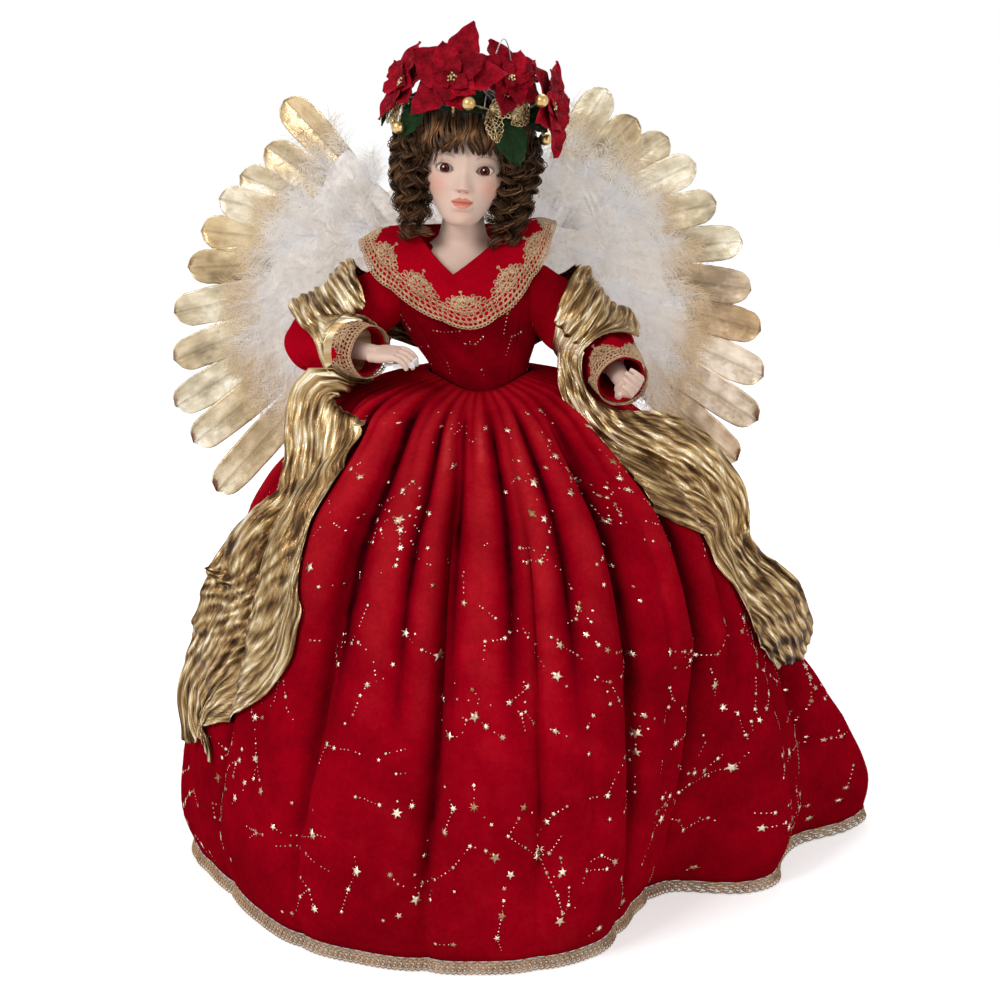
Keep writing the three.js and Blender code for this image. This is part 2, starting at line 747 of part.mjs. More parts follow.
function makeHand(arm) {
  const { wrist, forearm, along, back, across } = handFrame(arm);
  const curl = arm.curl;
  const place = (reach, side, rise) => wrist.clone()
    .addScaledVector(along, reach).addScaledVector(across, side).addScaledVector(back, rise);
  const palmRings = [];
  const palmShares = [[-0.3, 0.7, 1.25], [0, 0.72, 1.1], [0.4, 0.92, 1], [0.8, 1, 0.95], [1.05, 0.9, 0.7]];
  for (const [reach, width, thickness] of palmShares) {
    palmRings.push(ringOf(8, (angle) => place(
      reach * palmLength,
      Math.cos(angle) * palmHalfWidth * width,
      Math.sin(angle) * palmHalfThickness * thickness,
    )));
  }
  const bend = (length, side, turn) => [0, 0.35, 0.7, 1].map((share) => place(
    palmLength * 0.9 + length * share * Math.cos(radians(turn * share)),
    side * (1 - 0.12 * share),
    -length * share * Math.sin(radians(turn * share)),
  ));
  const fingers = fingerShares.map(({ across: side, length }) => bar(
    new THREE.CatmullRomCurve3(bend(fingerLength * length, side * palmHalfWidth * 0.95, curl)),
    2, 4, (share) => fingerRadius * mix(1.05, 0.75, share),
  ));
  const thumbSide = -palmHalfWidth;
  const thumb = bar(new THREE.CatmullRomCurve3([
    place(palmLength * 0.1, thumbSide * 0.5, -palmHalfThickness * 0.4),
    place(palmLength * 0.6, thumbSide * 1.15, -palmHalfThickness * 1.2),
    place(palmLength * 1.1, thumbSide * 1.2, -palmHalfThickness * 1.9),
  ]), 2, 4, (share) => fingerRadius * mix(1.35, 0.9, share));
  const forearmLine = new THREE.CatmullRomCurve3([
    wrist.clone().addScaledVector(forearm, -forearmLength * porcelainShare),
    wrist.clone().addScaledVector(forearm, -palmLength * 0.5),
    place(palmLength * 0.1, 0, 0),
  ]);
  const bone = bar(forearmLine, 3, 8, (share) => mix(stuffedArmRadius * 0.72, wristRadius * 0.92, share));
  return join([bone, loft(palmRings), ...fingers, thumb]);
}

// Sleeve: a full velvet tube, bent at the elbow, that narrows to an open cuff.
const sleeveTopShare = 0.86;
const cuffPlaceShare = 0.84;

function sleeveShape(arm, lift, past) {
  const { start, elbow, wrist } = armPoints(arm);
  const forearm = wrist.clone().sub(elbow).normalize();
  const upper = elbow.clone().sub(start).normalize();
  const cuff = elbow.clone().addScaledVector(forearm, forearmLength * cuffPlaceShare);
  const shoulder = start.clone().addScaledVector(upper, -past);
  const mouth = cuff.clone().addScaledVector(forearm, past);
  const upperTube = bar(new THREE.LineCurve3(shoulder, elbow), 2, 9,
    (share) => sleeveRadius * mix(sleeveTopShare, 1, Math.min(1, share * 1.6)) + lift);
  const lowerTube = bar(new THREE.LineCurve3(elbow, mouth), 1, 9,
    (share) => mix(sleeveRadius, cuffRadius, share) + lift);
  return join([upperTube, ball(elbow, sleeveRadius + lift, 8, 6), lowerTube]);
}

function makeSleeve(arm, bodice, head) {
  const tube = sleeveShape(arm, 0, 0).subtract(sleeveShape(arm, -velvetThickness, velvetThickness));
  return clearOf(tube, [bodice, head]);
}

// Lace sewn round the cuff, with its scallops just past the velvet's edge.
function makeCuffLace(arm) {
  const { elbow, wrist } = armPoints(arm);
  const forearm = wrist.clone().sub(elbow).normalize();
  const right = forearm.clone().cross(vector(0, 0, 1)).normalize();
  const up = right.clone().cross(forearm);
  const cuffEnd = forearmLength * cuffPlaceShare;
  const scallops = 6;
  const surface = (turnShare, share) => {
    const angle = fullTurn * turnShare;
    const scallop = 1 - 0.2 * Math.abs(Math.sin((scallops * angle) / 2));
    const along = cuffEnd + cuffLaceWidth * (share * scallop - 0.72);
    const radius = mix(sleeveRadius, cuffRadius, along / cuffEnd) + seatGap;
    return elbow.clone().addScaledVector(forearm, along)
      .addScaledVector(right, Math.cos(angle) * radius).addScaledVector(up, Math.sin(angle) * radius);
  };
  return sheet(surface, scallops * 4, 1, laceThickness, true);
}

// Collar, a wide flat ring that spreads over the shoulders. Rows: turn from the front, height share.
const collarShares = [
  [-180, 0.72], [-135, 0.88], [-90, 0.94], [-45, 0.5], [0, 0],
  [45, 0.6], [90, 1.04], [135, 0.94], [180, 0.72],
];

function collarPoint(azimuth, spread, lift) {
  const degrees = euclideanModulo((azimuth * 180) / Math.PI + 180, 360) - 180;
  const middle = bodyLean * mix(1.1, 1.05, spread);
  const vee = Math.max(0, Math.cos(azimuth)) ** 6;
  const inner = vector(
    middle + collarOpening * Math.sin(azimuth),
    -(collarOpening + vee * collarOpening * 0.5) * Math.cos(azimuth),
    neckHeight + velvetThickness * 2 - vee * (neckHeight - plateHeight) * 0.3,
  );
  const outer = vector(
    middle + collarHalfWidth * Math.sin(azimuth),
    -collarReach * Math.cos(azimuth),
    neckHeight - mix(collarFrontDrop, collarSideDrop, follow(collarShares, degrees)),
  );
  const out = vector(Math.sin(azimuth) * 0.5, -Math.cos(azimuth) * 0.5, 0.8);
  return inner.lerp(outer, spread).addScaledVector(out, collarBulge * Math.sin(Math.PI * spread) + lift);
}

const collarVelvetShare = 0.93;

function makeCollar(neighbours) {
  const surface = (turnShare, share) => (
    collarPoint(fullTurn * turnShare, share * collarVelvetShare, velvetThickness)
  );
  return clearOf(sheet(surface, 36, 2, velvetThickness, true), neighbours);
}

// The lace band has a point inwards and a scallop outwards for each of its motifs.
function makeCollarLace(neighbours) {
  const motifs = 12;
  const surface = (turnShare, share) => {
    const azimuth = fullTurn * turnShare;
    const point = Math.abs(Math.cos((motifs * azimuth) / 2));
    const inner = mix(0.72, 0.5, point);
    const outer = mix(0.97, 1, point);
    return collarPoint(azimuth, mix(inner, outer, share), velvetThickness + laceThickness + seatGap * 7);
  };
  return clearOf(sheet(surface, motifs * 3, 2, laceThickness, true), neighbours);
}

// Clip: a small moulded body with two prongs, held under the fingers of one hand.
function makeClip(arm, hand) {
  const { along, back, across, wrist } = handFrame(arm);
  const body = new THREE.Shape();
  const halfWidth = clipWidth / 2;
  body.moveTo(0, -halfWidth);
  body.lineTo(clipLength, -halfWidth * 0.7);
  body.lineTo(clipLength, halfWidth * 0.7);
  body.lineTo(0, halfWidth);
  const block = solidFrom(extruded(body, clipThickness).translate(0, 0, -clipThickness / 2));
  const prongs = [-1, 1].map((side) => bar(new THREE.LineCurve3(
    vector(-prongLength, (side * clipWidth) / 4, 0),
    vector(prongLength / 2, (side * clipWidth) / 4, 0),
  ), 1, 6, () => prongRadius));
  const seat = palmHalfThickness + clipThickness / 2 + seatGap;
  const place = new THREE.Matrix4().makeBasis(along, across, back).setPosition(
    wrist.clone().addScaledVector(along, palmLength * 0.75).addScaledVector(back, -seat),
  );
  return clearOf(moved(join([block, ...prongs]), place), [hand]);
}

// Shawl: one long stole from a tail at the left, up under that arm and round it, behind the back,
// round the other arm and down to a tail at the right. Each station has a place, the way out from
// what the cloth lies on, and a width share. Both tails turn partly to the front.
const tailTurnShare = 0.45;

function onSkirt(turn, heightShare, widthShare, liftShare = 1) {
  const azimuth = radians(turn);
  const height = heightShare * waistHeight;
  const place = skirtPoint(azimuth, height, shawlLift * liftShare);
  const above = skirtPoint(azimuth, height + shawlWidth / 4, shawlLift * liftShare);
  const side = vector(Math.cos(azimuth), Math.sin(azimuth), 0);
  const outward = above.sub(place).cross(side).normalize();
  return { place, out: outward.lerp(vector(0, -1, 0), tailTurnShare).normalize(), widthShare };
}

function roundArm(arm, share, turn, widthShare) {
  const curve = armCurve(arm);
  const centre = curve.getPointAt(share);
  const ahead = curve.getTangentAt(share);
  const out = vector(arm.side * Math.cos(radians(turn)), Math.sin(radians(turn)), 0);
  out.addScaledVector(ahead, -out.dot(ahead)).normalize();
  return { place: centre.addScaledVector(out, sleeveRadius + shawlLift), out, widthShare };
}

// Beside the forearm: on the body's side of it, or below it.
function besideForearm(arm, share, inwards, down, widthShare) {
  const { elbow, wrist } = armPoints(arm);
  const inner = vector(0, 0, 1).cross(wrist.clone().sub(elbow).normalize()).multiplyScalar(-arm.side);
  const out = inner.multiplyScalar(inwards).add(vector(0, 0, -down)).normalize();
  const radius = mix(sleeveRadius, cuffRadius, share / cuffPlaceShare);
  const place = elbow.clone().lerp(wrist, share).addScaledVector(out, radius + shawlLift);
  return { place, out, widthShare };
}

function acrossBack(turn, heightShare, widthShare) {
  const azimuth = radians(turn);
  const place = bodyPoint(azimuth, mix(waistHeight, neckHeight, heightShare), shawlLift);
  return { place, out: vector(Math.sin(azimuth), -Math.cos(azimuth), 0), widthShare };
}

function shawlStations() {
  const { left, right } = armShares;
  return [
    onSkirt(-76, 0.28, 0.6, 1.4), onSkirt(-73, 0.37, 1.05, 1.8), onSkirt(-70.5, 0.47, 1.3, 2),
    onSkirt(-68, 0.59, 1.25, 2), onSkirt(-64, 0.7, 1, 1.6), onSkirt(-65, 0.79, 0.7, 1.4),
    onSkirt(-74, 0.86, 0.75, 1.6),
    besideForearm(left, 0.35, -0.6, 1.4, 0.6), besideForearm(left, 0.62, 1, 1, 0.4),
    besideForearm(left, 0.72, 1, -0.4, 0.34),
    roundArm(left, 0.32, -95, 0.48), roundArm(left, 0.33, -45, 0.68), roundArm(left, 0.33, 5, 0.7),
    roundArm(left, 0.28, 60, 0.55),
    acrossBack(-140, 0.3, 0.5), acrossBack(180, 0.12, 0.5), acrossBack(140, 0.3, 0.5),
    roundArm(right, 0.28, 60, 0.55), roundArm(right, 0.34, 5, 0.72), roundArm(right, 0.36, -45, 0.72),
    roundArm(right, 0.34, -95, 0.5),
    besideForearm(right, 0.25, 1, -0.2, 0.36), besideForearm(right, 0.4, 1, 1, 0.45),
    besideForearm(right, 0.25, -0.2, 1.4, 0.65),
    onSkirt(70, 0.87, 1, 2), onSkirt(72, 0.83, 1.15, 2), onSkirt(75, 0.76, 0.95, 2),
    onSkirt(75, 0.69, 0.62, 1.6), onSkirt(80, 0.6, 0.7, 1.8), onSkirt(84, 0.52, 0.85, 2.6),
    onSkirt(86, 0.45, 0.8, 2.8), onSkirt(87, 0.39, 0.6, 2.6),
  ];
}

// The cloth rests on the skirt wherever it would sink into it.
function restOnSkirt(point) {
  if (point.z > waistHeight * 0.9) return point;
  const azimuth = Math.atan2(point.x, -point.y);
  const rest = skirtPoint(azimuth, point.z, shawlThickness + shawlRest);
  const reach = Math.hypot(point.x, point.y);
  const least = Math.hypot(rest.x, rest.y);
  return reach < least ? point.multiply(vector(least / reach, least / reach, 1)) : point;
}

function makeShawl(neighbours) {
  const stations = shawlStations();
  const centreLine = new THREE.CatmullRomCurve3(stations.map(({ place }) => place), false, 'centripetal');
  const outLine = new THREE.CatmullRomCurve3(stations.map(({ out }) => out), false, 'centripetal');
  const widthShares = stations.map(({ widthShare }, i) => [i / (stations.length - 1), widthShare]);
  const folds = 5;
  const surface = (share, acrossShare) => {
    const centre = centreLine.getPoint(share);
    const tangent = centreLine.getTangent(share);
    const out = outLine.getPoint(share);
    out.addScaledVector(tangent, -out.dot(tangent)).normalize();
    const side = tangent.clone().cross(out).normalize();
    const crinkle = (Math.round(acrossShare * folds) % 2 === 0 ? 1 : -1) * shawlCrinkle;
    const across = (acrossShare - 0.5) * shawlWidth * follow(widthShares, share);
    return restOnSkirt(centre.addScaledVector(side, across).addScaledVector(out, crinkle));
  };
  return clearOf(sheet(surface, 46, folds, shawlThickness), neighbours);
}

// Wings. Each wing turns back a little about the upright line at its root.
const wingShares = {
  left: {
    side: -1,
    turns: [46.3, 32, 21.4, 13.5, 4.3, -4.8, -14.4, -23.9, -32.1, -39.5, -48.6],
    reachShares: [0.609, 0.568, 0.6, 0.641, 0.684, 0.727, 0.796, 0.852, 0.925, 0.942, 1],
  },
  right: {
    side: 1,
    turns: [57.8, 44.9, 34, 24.2, 12.1, 1.2, -9.6, -18.2, -26.7, -34.5, -42.5],
    reachShares: [0.562, 0.549, 0.587, 0.62, 0.647, 0.716, 0.753, 0.819, 0.887, 0.941, 0.974],
  },
};

function wingPlace(wing) {
  return new THREE.Matrix4()
    .makeTranslation(wingMiddle + (wing.side * wingSpread) / 2, wingDepth, wingHeight)
    .multiply(new THREE.Matrix4().makeRotationZ(radians(wing.side * wingSweep)));
}

// Rows: share of the way from root to tip, and half width as a share of the widest.
const featherShares = [[0, 0.3], [0.2, 0.45], [0.5, 0.8], [0.75, 1], [0.9, 0.92], [1, 0.35]];

// A feather in its wing's frame: flat across, and bent back a little towards its tip.
function makeFeather(wing, index) {
  const reach = wingReach * wing.reachShares[index];
  const layer = (index % 3) * featherPitch;
  const surface = (across, share) => {
    const along = mix(featherRoot, reach, share);
    const side = (across - 0.5) * featherWidth * follow(featherShares, share);
    return vector(along, layer + featherBend * (along / wingReach) ** 3, side);
  };
  const flat = sheet(surface, 2, 4, featherThickness);
  return moved(flat, new THREE.Matrix4().makeRotationY(radians(-wing.turns[index])));
}

const plateReachShare = 0.5;

function fanRim(wing, reachShare, margin, angle) {
  const first = wing.turns[0] + margin;
  const last = wing.turns[wing.turns.length - 1] - margin;
  const rows = wing.turns.map((turn, i) => [-turn, wing.reachShares[i]]);
  const turn = mix(first, last, angle);
  return { turn, reach: follow(rows, -turn) * wingReach * reachShare };
}

// Stiff card behind the feathers, cut as a fan that ends well inside them.
function makeWingPlate(wing) {
  const outline = new THREE.Shape();
  outline.moveTo(-featherRoot * 0.5, 0);
  const steps = 14;
  for (let step = 0; step <= steps; step += 1) {
    const { turn, reach } = fanRim(wing, plateReachShare, 4, step / steps);
    outline.lineTo(reach * Math.cos(radians(turn)), reach * Math.sin(radians(turn)));
  }
  const behind = featherPitch * 2 + featherBend * plateReachShare ** 3 + wingPlateThickness + seatGap;
  return solidFrom(extruded(outline, wingPlateThickness).rotateX(Math.PI / 2).translate(0, behind, 0));
}

// White down in front of the feathers: a domed pad whose rim breaks into tufts.
function makeDown(wing) {
  const columns = 28;
  const rows = [0, 0.3, 0.62, 0.86, 1];
  const [innerFrom, innerTo] = [-62, -298];
  const domeShares = [[0, 0.82], [0.3, 1], [0.62, 0.95], [0.86, 0.66], [1, 0.2]];
  const front = -featherThickness - seatGap * 2;
  const centre = vector(wingReach * 0.22, 0, -wingReach * 0.02);
  const rim = (share) => {
    const { turn, reach } = share <= 0.7
      ? fanRim(wing, 0.66, 9, share / 0.7)
      : { turn: mix(innerFrom, innerTo, (share - 0.7) / 0.3), reach: wingReach * 0.12 };
    const tuft = 1 + 0.05 * Math.cos(columns * 0.5 * fullTurn * share);
    return vector(reach * tuft * Math.cos(radians(turn)), 0, reach * tuft * Math.sin(radians(turn)));
  };
  const rings = rows.slice(1).map((share) => Array.from({ length: columns }, (_, column) => {
    const place = centre.clone().lerp(rim(column / columns), share);
    return place.setY(front - downThickness * follow(domeShares, share));
  }));
  rings.push(rings[rings.length - 1].map((corner) => corner.clone().setY(front)));
  return loft(rings);
}

// The card plate sewn to the back of the bodice, with a wire out to each wing's plate.
function makeWingBracket(neighbours) {
  const padHalfWidth = wingSpread / 2;
  const padHeight = mix(waistHeight, neckHeight, 0.62);
  const back = bodyPoint(Math.PI, padHeight, 0).y - cardThickness / 2;
  const pad = solidFrom(new THREE.BoxGeometry(padHalfWidth * 2, cardThickness * 2, padHalfWidth)
    .translate(wingMiddle, back + cardThickness, padHeight));
  const behind = featherPitch * 2 + featherBend * plateReachShare ** 3 + seatGap;
  const wires = [wingShares.left, wingShares.right].map((wing) => {
    const root = wingMiddle + wing.side * padHalfWidth * 0.5;
    const level = behind - wireRadius - seatGap * 2;
    const far = vector(0, level, 0).applyMatrix4(wingPlace(wing));
    const reach = vector(featherRoot * 0.6, level, 0).applyMatrix4(wingPlace(wing));
    return bar(new THREE.CatmullRomCurve3([
      vector(root, back + cardThickness, padHeight),
      vector(mix(root, far.x, 0.5), mix(back, far.y, 0.7), mix(padHeight, far.z, 0.6)),
      far,
      reach,
    ]), 10, 8, () => wireRadius);
  });
  return clearOf(join([pad, ...wires]), neighbours);
}

// Wreath, in the head's own frame: a taped wire ring with leaves, flowers and gold sprays seated on it.
const wreathRiseShare = 0.62;

function wreathPoint(azimuth) {
  return hairPoint(azimuth, wreathRiseShare, wreathWireRadius + hairWave * 2 + seatGap);
}

const petalFoldShare = 0.14;

function petal(length, width, cup) {
  const surface = (across, share) => {
    const swelling = Math.sin(Math.PI * share ** 0.85) ** 0.8;
    const halfWidth = (width / 2) * swelling + stemRadius * 0.6 * (1 - share * 0.8);
    const side = 2 * across - 1;
    const fold = petalFoldShare * width * Math.abs(side) * Math.sin(Math.PI * share);
    const rise = cup * length * Math.sin(share * 2.4) + fold;
    return vector(side * halfWidth, length * share, rise);
  };
  return sheet(surface, 2, 3, leafThickness);
}

// A matrix that puts a piece at a point with its own Z pointing out and its Y as near up as it can be.
function facing(place, out, roll = 0) {
  const axis = out.clone().normalize();
  const up = vector(0, 0, 1).addScaledVector(axis, -axis.z).normalize();
  const right = up.clone().cross(axis).normalize();
  return new THREE.Matrix4().makeBasis(right, up, axis).setPosition(place)
    .multiply(new THREE.Matrix4().makeRotationZ(radians(roll)));
}

// Rows: turn round the head, how far above the ring, how far out, tilt up, roll and size share.
const flowerShares = [
  { turn: -13, rise: 0.62, out: 0.3, tilt: 0.4, roll: -10, size: 1.08 },
  { turn: -62, rise: 0.4, out: 0.1, tilt: 0.5, roll: 20, size: 0.9 },
  { turn: 34, rise: 0.72, out: 0.1, tilt: 0.7, roll: 0, size: 1 },
  { turn: 74, rise: 0.12, out: 0.2, tilt: 0.2, roll: 34, size: 1 },
  { turn: 150, rise: 0.5, out: 0.05, tilt: 0.9, roll: 10, size: 0.85 },
];

function makeFlower({ turn, rise, out, tilt, roll, size }) {
  const azimuth = radians(turn);
  const seat = wreathPoint(azimuth);
  const outward = vector(Math.sin(azimuth), -Math.cos(azimuth), tilt).normalize();
  const centre = seat.clone().addScaledVector(outward, petalLength * out);
  centre.z += petalLength * rise;
  const petals = [];
  const count = 5;
  for (let i = 0; i < count; i += 1) {
    const turnOf = new THREE.Matrix4().makeRotationZ((fullTurn * i) / count);
    const lengthShare = i % 2 === 0 ? 1 : 0.86;
    const cup = i % 2 === 0 ? 0.1 : 0.2;
    petals.push(moved(petal(petalLength * size * lengthShare, petalWidth * size, cup), turnOf));
  }
  const heart = ball(vector(0, 0, 0), stemRadius * 2.6, 5, 3);
  const head = moved(join([heart, ...petals]), facing(centre, outward, roll));
  const stem = bar(new THREE.LineCurve3(centre, seat), 1, 4, () => stemRadius);
  return join([head, stem]);
}

const leafShares = [
  { turn: -40, tilt: 0.1, roll: 150, size: 1 },
  { turn: 26, tilt: 0.1, roll: 200, size: 1.15 },
  { turn: 52, tilt: 0.3, roll: 230, size: 0.9 },
  { turn: -84, tilt: 0, roll: 175, size: 1 },
  { turn: 96, tilt: 0.1, roll: 190, size: 0.9 },
  { turn: 62, tilt: 0.6, roll: -20, size: 0.9 },
];

// A closed hoop of wire round the hair.
function wireHoop() {
  const steps = 18;
  const sides = 4;
  const points = Array.from({ length: steps }, (_, i) => wreathPoint((fullTurn * i) / steps));
  const up = vector(0, 0, wreathWireRadius);
  const rings = points.map((point, i) => {
    const ahead = points[(i + 1) % steps].clone().sub(points[(i + steps - 1) % steps]);
    const side = ahead.cross(up).setLength(wreathWireRadius);
    return ringOf(sides, (angle) => point.clone()
      .addScaledVector(side, Math.cos(angle)).addScaledVector(up, Math.sin(angle)));
  });
  const triangles = [];
  for (let ring = 0; ring < steps; ring += 1) {
    const here = ring * sides;
    const next = ((ring + 1) % steps) * sides;
    for (let side = 0; side < sides; side += 1) {
      const beside = (side + 1) % sides;
      triangles.push([here + side, here + beside, next + beside], [here + side, next + beside, next + side]);
    }
  }
  return solidOf(rings.flat(), triangles);
}

function makeGreenery() {
  const leaves = leafShares.map(({ turn, tilt, roll, size }) => {
    const azimuth = radians(turn);
    const outward = vector(Math.sin(azimuth), -Math.cos(azimuth), tilt);
    const leaf = petal(leafLength * size, leafWidth * size, 0.08);
    return moved(leaf, facing(wreathPoint(azimuth), outward, roll));
  });
  return join([wireHoop(), ...leaves]);
}

// A gold spray: two open-mesh leaves and a berry on one short wire.
const sprayShares = [
  { turn: 12, rolls: [-80, -160], berry: [-0.2, -1] },
  { turn: -58, rolls: [150, 110], berry: [0.2, -1.8] },
  { turn: 62, rolls: [70, 160], berry: [0.2, -1] },
];

function makeSpray({ turn, rolls, berry }) {
  const azimuth = radians(turn);
  const outward = vector(Math.sin(azimuth), -Math.cos(azimuth), 0.15).normalize();
  const seat = wreathPoint(azimuth);
  const knot = seat.clone().addScaledVector(outward, wreathWireRadius * 2.4);
  const leaf = petal(meshLeafLength, meshLeafWidth, 0.15);
  const leaves = rolls.map((roll) => moved(leaf, facing(knot, outward, roll)));
  const beside = vector(Math.cos(azimuth), Math.sin(azimuth), 0);
  const centre = knot.clone().addScaledVector(outward, berryRadius * 1.1)
    .addScaledVector(beside, berry[0] * meshLeafLength).add(vector(0, 0, berry[1] * berryRadius));
  const stem = bar(new THREE.LineCurve3(seat, knot), 1, 4, () => stemRadius);
  const link = bar(new THREE.LineCurve3(knot, centre), 1, 4, () => stemRadius);
  return join([stem, link, ball(centre, berryRadius, 8, 6), ...leaves]);
}

// Assembly

const materials = {
  velvet: [0x9c0a14, 0.8, 0],
  lace: [0xc0a276, 0.85, 0],
  porcelain: [0xe6c3ac, 0.42, 0],
  glass: [0x2e160e, 0.08, 0],
  hair: [0x352118, 0.55, 0],
  lame: [0xb1965c, 0.3, 0.9],
  satin: [0xd3c59a, 0.35, 0.5],
  down: [0xeeeaf0, 0.95, 0],
  petals: [0xa4121c, 0.75, 0],
  leaves: [0x1d3a1c, 0.6, 0],
  gilt: [0xb79355, 0.35, 0.85],
  plastic: [0xf2f2f2, 0.35, 0],
  calico: [0xd9cdb4, 0.9, 0],
  card: [0xa98d63, 0.9, 0],
  wood: [0xb58a58, 0.6, 0],
  steel: [0x9a9a98, 0.35, 0.9],
};

const angel = new THREE.Group();

function add(name, solid, finish, parent = angel, place = null) {
  const local = place ? moved(solid, place.clone().invert()) : solid;
  const { corners, triangles } = cornersOf(local);
  const geometry = new THREE.BufferGeometry();
  geometry.setFromPoints(corners);
  geometry.setIndex(triangles.flat());
  geometry.computeVertexNormals();
  const [color, roughness, metalness] = materials[finish];
  const mesh = new THREE.Mesh(geometry, new THREE.MeshStandardMaterial({ color, roughness, metalness }));
  mesh.name = name;
  parent.add(mesh);
}

function groupAt(matrix) {
  const group = new THREE.Group();
  matrix.decompose(group.position, group.quaternion, group.scale);
  angel.add(group);
  return group;
}

const post = makePost();
const former = makeFormer();
add('stand_base', makeBase(), 'wood');
add('stand_post', post, 'steel');
add('skirt_former', former, 'card');

const eyes = [makeEye(-1), makeEye(1)];
const head = makeHead(eyes);
const torso = makeTorso(post);
const hands = { left: makeHand(armShares.left), right: makeHand(armShares.right) };
const upperArms = {
  left: makeUpperArm(armShares.left, hands.left, torso, head),
  right: makeUpperArm(armShares.right, hands.right, torso, head),
};
const bodice = makeBodice([upperArms.left, upperArms.right]);
const sleeves = {
  left: makeSleeve(armShares.left, bodice, head),
  right: makeSleeve(armShares.right, bodice, head),
};
const cuffs = { left: makeCuffLace(armShares.left), right: makeCuffLace(armShares.right) };
const collar = makeCollar([bodice, head, sleeves.left, sleeves.right]);
const collarLace = makeCollarLace([sleeves.left, sleeves.right]);
const wig = makeWig(collar);
const skirt = makeSkirt(bodice, former);

add('torso', torso, 'calico');
add('bodice', bodice, 'velvet');
add('skirt', skirt, 'velvet');
add('hem_lace', makeHemLace(), 'lace');
for (const side of ['left', 'right']) {
  add(`upper_arm_${side}`, upperArms[side], 'calico');
  add(`hand_${side}`, hands[side], 'porcelain');
  add(`sleeve_${side}`, sleeves[side], 'velvet');
  add(`cuff_lace_${side}`, cuffs[side], 'lace');
}
add('hand_clip', makeClip(armShares.left, hands.left), 'plastic');
add('collar', collar, 'velvet');
add('collar_lace', collarLace, 'lace');

const headGroup = groupAt(headPlace);
add('head', head, 'porcelain', headGroup, headPlace);
add('eye_left', eyes[0], 'glass', headGroup, headPlace);
add('eye_right', eyes[1], 'glass', headGroup, headPlace);
add('wig', wig, 'hair', headGroup, headPlace);

const wigLocal = moved(wig, headPlace.clone().invert());
const greenery = clearOf(makeGreenery(), [wigLocal]);
add('wreath_ring', greenery, 'leaves', headGroup);
const seated = [wigLocal, greenery];
flowerShares.forEach((flower, i) => {
  const solid = clearOf(makeFlower(flower), seated);
  seated.push(solid);
  add(`poinsettia_${i + 1}`, solid, 'petals', headGroup);
});
sprayShares.forEach((spray, i) => {
  const solid = clearOf(makeSpray(spray), seated);
  seated.push(solid);
  add(`gold_spray_${i + 1}`, solid, 'gilt', headGroup);
});

const wingSolids = [];
for (const side of ['left', 'right']) {
  const wing = wingShares[side];
  const place = wingPlace(wing);
  const mirror = new THREE.Matrix4().makeScale(wing.side, 1, 1);
  const group = groupAt(place);
  const plate = moved(makeWingPlate(wing), mirror);
  const pad = moved(moved(makeDown(wing), mirror), place);
  const down = clearOf(pad, [bodice, collar, collarLace, wig, ...wingSolids]);
  add(`wing_plate_${side}`, plate, 'card', group);
  add(`down_${side}`, down, 'down', group, place);
  wing.turns.forEach((_, i) => {
    const name = `feather_${side}_${String(i + 1).padStart(2, '0')}`;
    add(name, moved(makeFeather(wing, i), mirror), 'satin', group);
  });
  wingSolids.push(down, moved(plate, place));
}
const bracket = makeWingBracket([bodice, ...wingSolids]);
add('wing_bracket', bracket, 'steel');

add('shawl', makeShawl([
  bodice, skirt, sleeves.left, sleeves.right, cuffs.left, cuffs.right, hands.left, hands.right,
  bracket, ...wingSolids,
]), 'lame');

export default angel;
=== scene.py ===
import math

import bmesh
import bpy
import numpy as np
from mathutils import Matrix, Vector


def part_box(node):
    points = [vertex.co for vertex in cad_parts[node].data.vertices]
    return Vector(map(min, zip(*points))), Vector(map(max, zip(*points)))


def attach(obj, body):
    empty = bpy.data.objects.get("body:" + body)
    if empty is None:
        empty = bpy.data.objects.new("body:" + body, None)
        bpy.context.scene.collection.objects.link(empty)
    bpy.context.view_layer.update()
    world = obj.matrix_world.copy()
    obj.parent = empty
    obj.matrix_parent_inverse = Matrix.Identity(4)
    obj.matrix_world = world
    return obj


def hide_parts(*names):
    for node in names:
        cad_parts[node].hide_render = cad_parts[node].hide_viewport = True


# A table-top angel in red velvet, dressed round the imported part. The post stands on the Z axis,
# X runs to the viewer's right, Y to the back and Z up. Shapes are worked out in millimetres, and
# makeMesh turns them into metres.

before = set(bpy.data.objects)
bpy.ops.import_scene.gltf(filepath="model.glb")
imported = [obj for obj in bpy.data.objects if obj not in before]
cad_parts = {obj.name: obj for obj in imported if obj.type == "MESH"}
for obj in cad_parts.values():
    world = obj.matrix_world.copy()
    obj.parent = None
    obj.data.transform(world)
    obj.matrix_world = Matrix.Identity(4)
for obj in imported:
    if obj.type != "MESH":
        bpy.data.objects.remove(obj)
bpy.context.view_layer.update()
mm = 0.001
fullTurn = 2 * math.pi
degree = math.pi / 180


def smoothstep(x, low, high):
    t = np.clip((np.asarray(x, float) - low) / (high - low), 0, 1)
    return t * t * (3 - 2 * t)


def mix(start, end, share):
    return start + (end - start) * share


def bell(distance, width):
    return np.exp(-((distance / width) ** 2))


def unit(vectors):
    vectors = np.asarray(vectors, float)
    return vectors / np.maximum(np.linalg.norm(vectors, axis=-1, keepdims=True), 1e-9)


def dot(a, b):
    return (a * b).sum(-1, keepdims=True)


def stack(x, y, z):
    return np.stack(np.broadcast_arrays(x, y, z), axis=-1).astype(float)


def dice(seed):
    return np.random.default_rng(seed)


def wander(seed, x, low=1, high=5, waves=6):  # a wavering value about 0 that repeats when x grows by 1
    rolls = dice(seed)
    total = np.zeros_like(np.asarray(x, float))
    for _ in range(waves):
        total = total + rolls.uniform(0.4, 1) * np.sin(
            fullTurn * (rolls.integers(low, high + 1) * x + rolls.uniform(0, 1)))
    return total / waves


